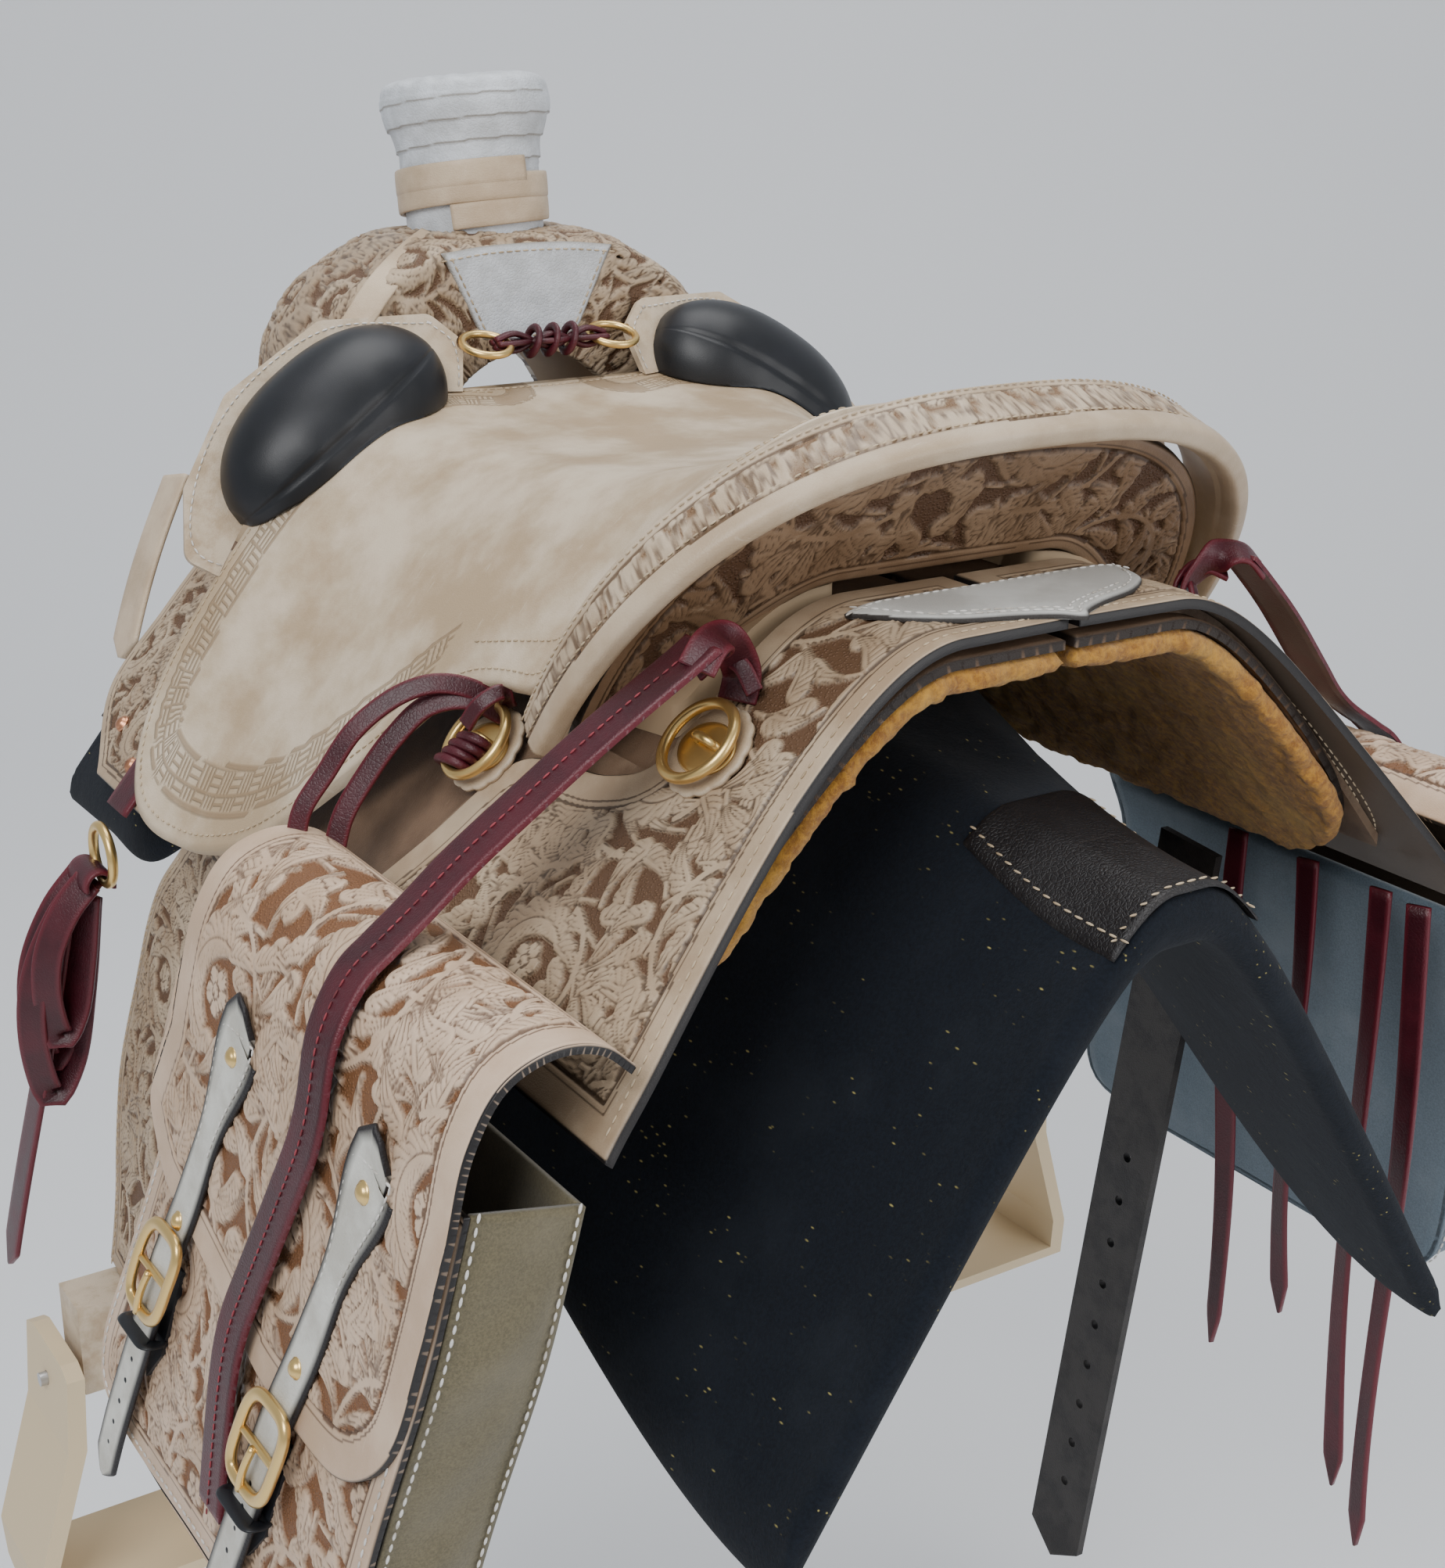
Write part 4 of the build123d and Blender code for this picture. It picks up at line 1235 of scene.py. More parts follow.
HIDE = Leather("mulehide_white", (0.66, 0.69, 0.73), (0.52, 0.54, 0.56), (0.76, 0.78, 0.80), rough=0.60,
               grain=420.0, strength=0.5, mottle=60.0, scuffs=0.6, edge=(0.3, 0.28, 0.25))
LATIGO = Leather("latigo_maroon", (0.072, 0.007, 0.014), (0.038, 0.005, 0.009), (0.13, 0.018, 0.028), rough=0.42,
                 grain=520.0, strength=0.3, scuffs=0.3, coat=0.08, edge=(0.115, 0.012, 0.021))
WHITE_STRAP = Leather("strap_white", (0.66, 0.655, 0.60), (0.50, 0.48, 0.42), (0.72, 0.71, 0.67), rough=0.48,
                      grain=520.0, strength=0.3, mottle=40.0, scuffs=0.3, edge=(0.012, 0.010, 0.011))
TAN_STRAP = Leather("strap_tan", (0.61, 0.48, 0.34), (0.46, 0.34, 0.22), (0.70, 0.59, 0.45), rough=0.45,
                    grain=700.0, strength=0.3, coat=0.05)
OLIVE_SUEDE = Fibre("suede_olive", (0.16, 0.135, 0.075), (0.10, 0.083, 0.045), (0.21, 0.18, 0.115), scale=900.0,
                    depth=0.0005, lint_share=0.0)
GREY_SUEDE = Fibre("suede_grey", (0.135, 0.185, 0.225), (0.09, 0.125, 0.155), (0.2, 0.24, 0.27), scale=900.0,
                   depth=0.0005)
BILLET = Leather("billet_dark", (0.013, 0.010, 0.009), (0.008, 0.006, 0.006), (0.045, 0.038, 0.033), rough=0.42,
                 strength=0.3, scuffs=0.35, edge=(0.05, 0.035, 0.027))
SPINE = Leather("spine_black", (0.013, 0.012, 0.013), (0.008, 0.007, 0.008), (0.055, 0.047, 0.042), rough=0.45,
                grain=480.0, strength=0.5, scuffs=0.6)
FLEECE = Fibre("fleece_gold", (0.56, 0.265, 0.028), (0.27, 0.100, 0.008),
               (0.72, 0.43, 0.085), scale=260.0, depth=0.003,
               strength=1.0)
FELT = Fibre("felt_navy", (0.0065, 0.0100, 0.0165), (0.0035, 0.0050, 0.0085), (0.014, 0.018, 0.025), scale=620.0,
             depth=0.0012, lint=(0.45, 0.38, 0.13), lint_share=0.8, sheen=0.05)
BRASS = Metal("brass", (0.72, 0.47, 0.16), (0.22, 0.13, 0.05), (0.90, 0.68, 0.34), rough=0.24)
STEEL = Metal("steel", (0.42, 0.42, 0.43), (0.16, 0.15, 0.15), (0.62, 0.62, 0.62), rough=0.3)
COPPER = Metal("copper", (0.62, 0.28, 0.15), (0.2, 0.09, 0.05), (0.8, 0.45, 0.3), rough=0.3)
WOOD = Wood("tree_wood", (0.42, 0.29, 0.16), (0.26, 0.16, 0.08), (0.5, 0.36, 0.22))
RAWHIDE = Leather("rawhide", (0.44, 0.34, 0.20), (0.28, 0.19, 0.10), (0.58, 0.48, 0.33), rough=0.4, grain=260.0,
                  strength=0.35, coat=0.1)
WHITE_THREAD = Thread("thread_white", (0.72, 0.70, 0.66), (0.42, 0.38, 0.32), (0.8, 0.8, 0.8))
CREAM_THREAD = Thread("thread_cream", (0.55, 0.44, 0.30), (0.34, 0.25, 0.15), (0.8, 0.7, 0.6))

FINISHES: dict[Slot, Finish] = {
    Slot.TOOLED: YOKE_LEATHER, Slot.SEAT: SEAT_LEATHER, Slot.PLAIN: PLAIN, Slot.SKIRTING: SKIRTING,
    Slot.BLACK: BLACK, Slot.HIDE: HIDE, Slot.LATIGO: LATIGO, Slot.STRAP: WHITE_STRAP, Slot.SUEDE: OLIVE_SUEDE,
    Slot.BILLET: BILLET, Slot.SPINE: SPINE, Slot.FLEECE: FLEECE, Slot.FELT: FELT, Slot.BRASS: BRASS,
    Slot.WOOD: WOOD, Slot.RAWHIDE: RAWHIDE, Slot.STEEL: STEEL,
}


# --------------------------------------------------------------------------- repeated things


class Repeat:
    """Geometry Nodes that set small shapes out along a line or on points."""

    def __init__(self, name: str, turned: bool) -> None:
        """Make the node tree.

        Args:
            name: Tree name.
            turned: Whether a shape turns to follow the line's tangent.
        """
        tree = bpy.data.node_groups.new(name, "GeometryNodeTree")
        tree.is_modifier = True
        face = tree.interface
        face.new_socket("Geometry", in_out="INPUT", socket_type="NodeSocketGeometry")
        pitch = face.new_socket("Pitch", in_out="INPUT", socket_type="NodeSocketFloat")
        pitch.default_value = 0.005
        face.new_socket("Size", in_out="INPUT", socket_type="NodeSocketVector")
        seed = face.new_socket("Seed", in_out="INPUT", socket_type="NodeSocketInt")
        seed.default_value = 3
        face.new_socket("Shape", in_out="INPUT", socket_type="NodeSocketObject")
        face.new_socket("Material", in_out="INPUT", socket_type="NodeSocketMaterial")
        face.new_socket("Geometry", in_out="OUTPUT", socket_type="NodeSocketGeometry")
        g = Graph(tree)
        given = tree.nodes.new("NodeGroupInput")
        out = tree.nodes.new("NodeGroupOutput")
        curve = g.add("GeometryNodeMeshToCurve", {"Mesh": given.outputs["Geometry"]}).outputs[0]
        points = g.add("GeometryNodeCurveToPoints", {"Curve": curve, "Length": given.outputs["Pitch"]}, mode="LENGTH")
        normal = g.add("GeometryNodeInputNamedAttribute", {"Name": "up"}, data_type="FLOAT_VECTOR").outputs[0]
        aim = g.add("FunctionNodeAlignRotationToVector", {"Vector": normal}, axis="Z")
        turn = g.add("FunctionNodeAlignRotationToVector", {"Rotation": aim.outputs[0],
                     "Vector": points.outputs["Tangent"]}, axis="X", pivot_axis="Z")
        shape = g.add("GeometryNodeObjectInfo", {"Object": given.outputs["Shape"]}).outputs["Geometry"]
        jitter = g.add("FunctionNodeRandomValue", {0: (0.88, 0.9, 0.9), 1: (1.08, 1.1, 1.1),
                       "Seed": given.outputs["Seed"]}, data_type="FLOAT_VECTOR").outputs[0]
        size = g.add("ShaderNodeVectorMath", {0: given.outputs["Size"], 1: jitter}, operation="MULTIPLY").outputs[0]
        laid = g.add("GeometryNodeInstanceOnPoints", {"Points": points.outputs["Points"], "Instance": shape,
                     "Rotation": turn.outputs[0] if turned else aim.outputs[0], "Scale": size}).outputs[0]
        real = g.add("GeometryNodeRealizeInstances", {"Geometry": laid}).outputs[0]
        done = g.add("GeometryNodeSetMaterial", {"Geometry": real, "Material": given.outputs["Material"]}).outputs[0]
        tree.links.new(done, out.inputs[0])
        self.tree = tree

    def lay(self, name: str, lines: Sequence, ups: Sequence, shape: bpy.types.Object, size: Sequence, pitch: float,
            material: bpy.types.Material, seed: int = 3) -> bpy.types.Object:
        """Set the shape out along lines and bake the result.

        Args:
            name: Object name.
            lines: Point lines in metres.
            ups: One direction for each point of each line.
            shape: The shape that is repeated.
            size: Its scale.
            pitch: Distance between shapes.
            material: The finish.
            seed: Seed of the small differences in size.

        Returns:
            The baked mesh object.
        """
        verts, edges, normals = [], [], []
        for line, up in zip(lines, ups):
            start = len(verts)
            verts += [tuple(p) for p in line]
            normals += [tuple(u) for u in up]
            edges += [(start + i, start + i + 1) for i in range(len(line) - 1)]
        mesh = bpy.data.meshes.new(name)
        mesh.from_pydata(verts, edges, [])
        layer = mesh.attributes.new("up", "FLOAT_VECTOR", "POINT")
        layer.data.foreach_set("vector", np.asarray(normals, np.float32).ravel())
        obj = bpy.data.objects.new(name, mesh)
        bpy.context.scene.collection.objects.link(obj)
        modifier = obj.modifiers.new("repeat", "NODES")
        modifier.node_group = self.tree
        named = {item.name: item.identifier for item in self.tree.interface.items_tree if item.in_out == "INPUT"}
        for key, value in (("Pitch", pitch), ("Size", tuple(size)), ("Seed", seed), ("Shape", shape),
                           ("Material", material)):
            modifier[named[key]] = value
        obj = baked(obj)
        obj.data.materials.clear()
        obj.data.materials.append(material)
        obj.data.shade_smooth()
        return obj


class Small:
    """Small shapes and the trees that repeat them."""

    def __init__(self) -> None:
        """Make the stitch and the rivet head, hidden from every table."""
        self.along = Repeat("repeat_along", True)
        self.stitch = self.pill("shape_stitch")
        self.rivet = self.dome("shape_rivet")

    @staticmethod
    def pill(name: str) -> bpy.types.Object:
        """A stitch: a half-buried pill, one unit long.

        Args:
            name: Object name.

        Returns:
            The stitch.
        """
        bm = bmesh.new()
        bmesh.ops.create_uvsphere(bm, u_segments=6, v_segments=5, radius=0.5)
        for vert in bm.verts:
            vert.co = Vector((vert.co.z, vert.co.x, vert.co.y))
        mesh = bpy.data.meshes.new(name)
        bm.to_mesh(mesh)
        bm.free()
        return bpy.data.objects.new(name, mesh)

    @staticmethod
    def dome(name: str) -> bpy.types.Object:
        """A rivet head of unit radius with a step round its base.

        Args:
            name: Object name.

        Returns:
            The rivet head.
        """
        rows = [(1.0, -0.2), (1.0, 0.08), (0.82, 0.14), (0.74, 0.34), (0.45, 0.52), (0.15, 0.58)]
        bm = bmesh.new()
        loops = []
        for radius, high in rows:
            loops.append([bm.verts.new((radius * math.cos(a), radius * math.sin(a), high))
                          for a in np.linspace(0, 2 * math.pi, 14, endpoint=False)])
        for low, top in zip(loops, loops[1:]):
            for i in range(14):
                bm.faces.new((low[i], low[(i + 1) % 14], top[(i + 1) % 14], top[i]))
        bm.faces.new(loops[-1])
        bm.faces.new(loops[0][::-1])
        mesh = bpy.data.meshes.new(name)
        bm.to_mesh(mesh)
        bm.free()
        return bpy.data.objects.new(name, mesh)

    def stitches(self, name: str, lines: Sequence, ups: Sequence, finish: Finish = WHITE_THREAD,
                 pitch: float = 5.2 * MM, thick: float = 1.1 * MM) -> bpy.types.Object:
        """A row of stitches along lines."""
        size = (pitch * 0.78, thick, thick * 0.8)
        return self.along.lay(name, lines, ups, self.stitch, size, pitch, finish.material())

    def rivets(self, name: str, spots: Sequence, ups: Sequence, radius: float, finish: Finish) -> bpy.types.Object:
        """Rivet heads at spots."""
        lines = [(np.asarray(s), np.asarray(s) + np.array([0, 1e-5, 0])) for s in spots]
        return self.along.lay(name, lines, [(u, u) for u in ups], self.rivet, (radius, radius, radius), 1.0,
                              finish.material())


# --------------------------------------------------------------------------- side leathers


def arc_run(points: Array) -> Array:
    """Length along a line at each of its points."""
    return np.concatenate([[0.0], np.cumsum(np.linalg.norm(np.diff(points, axis=0), axis=1))])


def plan(points: Sequence) -> Array:
    """Plan points in mm turned into flat points of the side section, in metres."""
    spots = np.asarray(points, float) * MM
    return np.stack([SECTION.run(spots[:, 0]), spots[:, 1]], axis=1)


def surface_normals(surface: Surface, flat: Array) -> Array:
    """Outward direction of a surface at flat points.

    Args:
        surface: The surface.
        flat: Flat points, one per row.

    Returns:
        One unit direction per point.
    """
    zero = np.zeros(len(flat))
    low = surface(flat[:, 0], flat[:, 1], zero)
    high = surface(flat[:, 0], flat[:, 1], zero + 0.001)
    return (high - low) / 0.001


def inset(points: Array, distance: float, centre: Sequence | None = None) -> Array:
    """A flat line moved towards a centre's side by a distance.

    Args:
        points: Points of the line, one row each.
        distance: How far to move it.
        centre: Middle, in flat coordinates.

    Returns:
        The moved line.
    """
    line = np.asarray(points, float)
    ahead = np.gradient(line, axis=0)
    ahead /= np.linalg.norm(ahead, axis=1, keepdims=True) + 1e-12
    left = np.stack([-ahead[:, 1], ahead[:, 0]], axis=1)
    middle = np.asarray(centre if centre is not None else line.mean(0))
    sign = np.sign(((middle - line) * left).sum(1).mean())
    return line + sign * left * distance


@dataclass
class SeamLine:
    """Stitch rows on a surface.

    Attributes:
        surface: The surface that they lie on.
        rows: Flat lines.
        lift: Height over the surface.
    """

    surface: Surface
    rows: list[Array]
    lift: float = 0.3 * MM

    def lay(self, small: Small, name: str, finish: Finish = WHITE_THREAD, pitch: float = 5.2 * MM,
            thick: float = 1.2 * MM) -> bpy.types.Object:
        """Stitch along every row.

        Args:
            small: Maker of stitches and rivets.
            name: Object name.
            finish: Finish.
            pitch: Distance between stitches.
            thick: Thickness.

        Returns:
            The stitches.
        """
        lines, ups = [], []
        for row in self.rows:
            fine = smooth_line(row, max(int(arc_run(np.asarray(row))[-1] / (4 * MM)), 4))
            lines.append(self.surface(fine[:, 0], fine[:, 1], np.full(len(fine), self.lift)))
            ups.append(surface_normals(self.surface, fine))
        return small.stitches(name, lines, ups, finish, pitch, thick)


def put(obj: bpy.types.Object, body: str, slot: Slot, *nodes: str) -> bpy.types.Object:
    """Let a piece ride on a body and stand for CAD nodes.

    Args:
        obj: The mesh object.
        body: Body that it rides on.
        slot: Material slot; not used.
        nodes: CAD nodes that it stands for.

    Returns:
        The same object.
    """
    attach(obj, body)
    if nodes:
        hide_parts(*nodes)
    return obj


def put_pair(left: bpy.types.Object, stem: str, body: str, slot: Slot, node: str | None = None) -> None:
    """Place a left piece and its off-side mirror image.

    Args:
        left: The left piece.
        stem: Name without its side.
        body: Body name without its side, or root.
        slot: Material slot.
        node: CAD node that both stand for, without its side.
    """
    right = mirrored(left, stem + "_right")
    left.name = stem + "_left"
    for obj, side in ((left, Side.LEFT), (right, Side.RIGHT)):
        host = "root" if body == "root" else f"{body}_{side.word}"
        put(obj, host, slot, *([f"{node}_{side.word}"] if node else []))


@dataclass
class SideLeathers:
    """Bag yoke, its joining patch and the front jockeys.

    Attributes:
        small: Stitches and rivets.
        yoke_lift: Offset of the yoke's upper face.
        jockey_lift: Offset of the jockeys' upper face.
    """

    small: Small
    yoke_lift: float = 9.6 * MM
    jockey_lift: float = 4.2 * MM

    def build(self) -> None:
        """Make every side leather."""
        self.skirts()
        self.yoke()
        self.patch()
        self.front_jockey()
        self.edge_stitching()

    def skirts(self) -> None:
        """Thick skirts with rounded rear corners and dark edges."""
        surface = side_surface(0.0)
        near = plan([(3.2, -349), (3.2, -200), (3.2, 0), (3.2, 257)])
        far = plan([(158, -349), (186, -344), (208, -331), (222, -311), (230, -284), (233, -250), (236, 0),
                    (239, 257)])
        panel = Panel("skirt_leather", surface, near, far, 5 * MM, spacing=2.6 * MM)
        obj = face_outwards(panel.build(SKIRTING.material()), 1e-7)
        put_pair(obj, "skirt_leather", "root", Slot.SKIRTING, "skirt")

    def yoke(self) -> None:
        """The tooled yoke that carries the bags."""
        surface = side_surface(self.yoke_lift)
        front = plan([(3.2, -264), (80, -264), (150, -263), (160, -240), (164, -205), (170, -174), (206, -146),
                      (246, -111)])
        rear = plan([(3.2, -350), (70, -352), (140, -358), (170, -364), (200, -372), (225, -379), (240, -382),
                     (247, -384)])
        low, high = (0.0, -0.40), (0.36, -0.09)
        carving = Carving(low, high, seed=11, scroll=54 * MM)
        panel = Panel("yoke_tooling", surface, rear, front, 5 * MM, 17 * MM, carving, 1.2 * MM, 1.3 * MM)
        obj = panel.build(YOKE_LEATHER.material())
        put_pair(obj, "yoke_tooling", "root", Slot.TOOLED, "bag_yoke")

    def patch(self) -> None:
        """The pale patch with an ogee point that joins the yoke's halves."""
        lift = 12.4 * MM

        def surface(a: Array, b: Array, up: Array) -> Array:
            """Points of this surface from flat coordinates and a lift."""
            x, z = SECTION.point(a + 1e-9, lift + up)
            return np.stack([x, b, z], axis=-1)

        top = np.array([(-76, -292), (-40, -291), (0, -291), (40, -291), (76, -292)]) * MM
        low = np.array([(-76, -294), (-64, -322), (-50, -333), (-22, -343), (-8, -350), (0, -358), (8, -350),
                        (22, -343),
                        (50, -333), (64, -322), (76, -294)]) * MM
        panel = Panel("yoke_patch_leather", surface, low, top, 2.6 * MM, spacing=2.4 * MM)
        obj = panel.build(HIDE_PATCH.material())
        put(obj, "root", Slot.PLAIN, "yoke_patch")
        rows = [inset(low, 4.5 * MM, (0, -0.31)), inset(top, 4.0 * MM, (0, -0.32))]
        rows.append(inset(low[2:-2], 8.5 * MM, (0, -0.31)))
        put(SeamLine(surface, rows).lay(self.small, "yoke_patch_stitches"), "root", Slot.PLAIN)

    def front_jockey(self) -> None:
        """The tooled leather under the fork, with its copper rivets."""
        surface = side_surface(self.jockey_lift)
        near = plan([(154, 122), (190, 117), (232, 112), (258, 128)])
        far = plan([(154, 262), (190, 262), (226, 261), (257, 206)])
        carving = Carving((0.10, 0.09), (0.36, 0.28), seed=5, scroll=38 * MM)
        obj = Panel("front_jockey_tooling", surface, near, far, 4 * MM, 9 * MM, carving, 1.0 * MM, 1.3 * MM,
                    turn=True).build(YOKE_LEATHER.material())
        put_pair(obj, "front_jockey_tooling", "root", Slot.TOOLED, "front_jockey")
        spots = plan([(238, 150), (246, 172), (214, 140), (236, 214)])
        at = surface(spots[:, 0], spots[:, 1], np.zeros(4))
        rivets = self.small.rivets("jockey_rivets", at, surface_normals(surface, spots), 5.5 * MM, COPPER)
        put_pair(rivets, "jockey_rivets", "root", Slot.BRASS)

    def edge_stitching(self) -> None:
        """A double row along the rear jockeys and a single row along the yoke's rear edge."""
        jockey = side_surface(4.2 * MM)
        rows = [plan([(40, -334), (120, -335), (222, -336), (222, -250), (222, -134)]),
                plan([(40, -330), (120, -331), (218, -331), (218, -250), (218, -138)])]
        seam = SeamLine(jockey, rows).lay(self.small, "rear_jockey_stitches", CREAM_THREAD)
        put_pair(seam, "rear_jockey_stitches", "root", Slot.SKIRTING)
        yoke = side_surface(self.yoke_lift)
        rows = [plan([(3.2, -343), (70, -345), (140, -351), (170, -357), (200, -365), (225, -372), (240, -376)]),
                plan([(3.2, -271), (80, -271), (146, -270), (168, -168)])]
        seam = SeamLine(yoke, rows[:1]).lay(self.small, "yoke_stitches", CREAM_THREAD)
        put_pair(seam, "yoke_stitches", "root", Slot.TOOLED)


HIDE_PATCH = Leather("patch_white", (0.60, 0.60, 0.57), (0.46, 0.45, 0.42), (0.70, 0.69, 0.66), rough=0.5,
                     strength=0.3, edge=(0.03, 0.025, 0.022))


# --------------------------------------------------------------------------- pad and fleece


@dataclass
class PadAssembly:
    """Felt pad with its leather spine, and the fleeces under the skirts.

    Attributes:
        small: Stitches and rivets.
        sag: How far the ridge drops at the rear.
    """

    small: Small
    sag: float = 68.0 * MM
    rng: np.random.Generator = field(default_factory=lambda: np.random.default_rng(4))

    def top(self, x: Array, y: Array) -> Array:
        """Height of the pad's upper face.

        Args:
            x: Distance across.
            y: Distance along.

        Returns:
            Height of the pad.
        """
        s = np.clip(-y / 0.434, 0, 1)
        ease = s * s * (3 - 2 * s)
        half, slope, turn = (48 - 40 * ease) * MM, 1.25 + 0.3 * ease, (60 - 30 * ease) * MM
        u = np.maximum(np.abs(x) - half, 0)
        return 29 * MM - self.sag * ease - slope * (np.sqrt(u * u + turn * turn) - turn) - 1 * MM

    def build(self) -> None:
        """Make the pad, spine and fleeces."""
        self.pad()
        self.spine()
        self.fleeces()

    def pad(self) -> None:
        """Thick felt with rounded cut edges and slight hollows."""
        ys = np.concatenate([np.linspace(-434, -420, 9), np.linspace(-417, 285, 210), np.linspace(287, 300, 8)]) * MM
        edge = smooth_line([(300, 250), (230, 249), (160, 247), (126, 227), (40, 224), (-60, 222), (-250, 211),
                            (-434, 200)], 300)
        half = np.interp(ys * 1000, edge[::-1, 0], edge[::-1, 1]) * MM
        share = np.sin(np.linspace(-math.pi / 2, math.pi / 2, 181))
        x = half[:, None] * share[None]
        y = np.repeat(ys[:, None], 181, axis=1)
        away = np.minimum.reduce([(half[:, None] - np.abs(x)) * 0.85, y + 0.434, 0.300 - y])
        body = np.sqrt(np.clip(1 - (1 - np.clip(away / (9 * MM), 0, 1)) ** 2, 0, 1))
        wave = (0.9 * np.sin(x * 38 + 1.0) * np.sin(y * 31) + 0.6 * np.sin(x * 90 + y * 71)) * MM
        high = self.top(x, y)
        middle = high - 14 * MM
        upper = middle + 14 * MM * body + np.minimum(wave, 0.2 * MM) * body
        lower = middle - 13.4 * MM * body
        count = x.size
        rows, columns = x.shape
        verts = np.concatenate([np.stack([x, y, z], -1).reshape(-1, 3) for z in (upper, lower)])
        faces = grid_faces(rows, columns)
        rim = rim_loop(rows, columns)
        nexts = np.roll(rim, -1)
        walls = np.stack([rim, rim + count, nexts + count, nexts], axis=1)
        obj = mesh_object("pad_felt", verts, np.concatenate([faces, faces[:, ::-1] + count, walls]), FELT.material())
        face_outwards(obj)
        put(obj, "root", Slot.FELT, "saddle_pad")

    def spine(self) -> None:
        """The leather wear patch over the pad's rear ridge."""

        def surface(a: Array, b: Array, lift: Array) -> Array:
            """Points of this surface from flat coordinates and a lift."""
            return np.stack([a, b, self.top(a, b) + 1.8 * MM + lift], axis=-1)

        left = np.array([(-41, -432), (-42, -380), (-40, -332)]) * MM
        right = np.array([(41, -432), (42, -380), (40, -332)]) * MM
        obj = Panel("spine_leather_patch", surface, left, right, 2.4 * MM, spacing=2.2 * MM, turn=True)
        obj = obj.build(SPINE.material())
        put(obj, "root", Slot.SPINE, "pad_spine")
        rows = [inset(left, 5 * MM, (0, -0.38)), inset(right, 5 * MM, (0, -0.38)),
                np.array([(-37, -427.5), (0, -428), (37, -427.5)]) * MM]
        put(SeamLine(surface, rows).lay(self.small, "spine_stitches", CREAM_THREAD, 6.4 * MM, 1.4 * MM), "root",
            Slot.SPINE)

    def fleeces(self) -> None:
        """Thick wool pile whose lower edges hang in tufts."""
        a_line = SECTION.run(np.array([3 * MM, 231 * MM]))
        a = np.linspace(a_line[0], a_line[1], 96)
        part = np.concatenate([np.linspace(0, 0.03, 22), np.linspace(0.034, 0.98, 190), np.linspace(0.983, 1, 8)])
        aa, parts = np.meshgrid(a, part, indexing="ij")
        round_off = 78 * MM
        into = np.clip(aa - (a_line[1] - round_off), 0, round_off)
        rear = -0.349 + round_off - np.sqrt(round_off ** 2 - into ** 2 + 1e-9)
        bb = rear + parts * (0.254 - rear)
        away = np.minimum.reduce([aa - a_line[0], a_line[1] - aa, bb - rear, 0.254 - bb])
        tuft = self.wool(aa, bb)
        body = np.sqrt(np.clip(1 - (1 - np.clip(away / (6 * MM), 0, 1)) ** 2, 0, 1))
        upper = -11.1 * MM + 5.8 * MM * body
        lower = -11.1 * MM - (5.6 * MM + 1.8 * MM * tuft) * body
        reach = (1 - np.clip(away / (7 * MM), 0, 1)) * tuft * 3.2 * MM
        a_out = aa + reach * (aa > a_line[1] - 7 * MM)
        b_out = bb - reach * (bb - rear < 7 * MM) + reach * (bb > 0.247)
        sheets = []
        for depth in (upper, lower):
            x, z = SECTION.point(-SECTION.across(a_out) - 1e-9, depth)
            sheets.append(np.stack([x, b_out, z], -1).reshape(-1, 3))
        rows, columns = aa.shape
        faces = grid_faces(rows, columns)
        rim = rim_loop(rows, columns)
        nexts = np.roll(rim, -1)
        walls = np.stack([rim, rim + aa.size, nexts + aa.size, nexts], axis=1)
        obj = mesh_object("fleece_left", np.concatenate(sheets),
                          np.concatenate([faces, faces[:, ::-1] + aa.size, walls]), FLEECE.material())
        face_outwards(obj)
        right = mirrored(obj, "fleece_right")
        both = joined([obj, right], "fleece_wool")
        put(both, "root", Slot.FLEECE, "fleeces")

    def wool(self, a: Array, b: Array) -> Array:
        """Uneven tufts, from -1 to 1.

        Args:
            a: First flat coordinate.
            b: Second flat coordinate.

        Returns:
            One tuft height per point.
        """
        found = np.zeros(a.shape)
        for size, share in ((9.0, 0.5), (5.0, 0.35), (3.0, 0.25)):
            grid = self.rng.uniform(-1, 1, (128, 256))
            u = np.mod(a / (size * MM), 127)
            v = np.mod(b / (size * MM), 255)
            i, j = u.astype(int), v.astype(int)
            s, t = u - i, v - j
            s, t = s * s * (3 - 2 * s), t * t * (3 - 2 * t)
            i2, j2 = (i + 1) % 128, (j + 1) % 256
            found += share * (grid[i, j] * (1 - s) * (1 - t) + grid[i2, j] * s * (1 - t) + grid[i, j2] * (1 - s) * t
                              + grid[i2, j2] * s * t)
        return np.clip(found, -1, 1)


# --------------------------------------------------------------------------- seat and cantle


@dataclass(frozen=True)
class CantlePlane:
    """The arch of the cantle, in mm."""

    half: float = 180.0
    rear: float = 94.0
    rise: float = 153.0
    square: float = 2.6
    foot: tuple[float, float, float] = (0.0, -188.0, -9.0)

    @property
    def lean(self) -> float:
        """Height of the arch in its own plane."""
        return math.hypot(self.rear, self.rise)

    def spot(self, x: Array, h: Array, back: Array) -> Array:
        """A point from across, height in the plane and depth behind it, in metres.

        Args:
            x: Distance across.
            h: Height in the plane.
            back: Depth behind the plane.

        Returns:
            Points in metres.
        """
        up_y, up_z = -self.rear / self.lean, self.rise / self.lean
        y = self.foot[1] + h * up_y - back * up_z
        z = self.foot[2] + h * up_z + back * up_y
        return np.stack([x + 0 * y, y + 0 * x, z + 0 * x], axis=-1) * MM

    def arch(self, angle: Array, reach: Array = 0.0) -> tuple[Array, Array]:
        """Across and height in the plane at angles of the arch."""
        c, s = np.maximum(np.cos(angle), 0.0), np.sin(angle)
        stretch = (np.abs(s) ** self.square + c ** self.square) ** (-1 / self.square)
        return (self.half * stretch + reach) * s, (self.lean * stretch + reach) * c


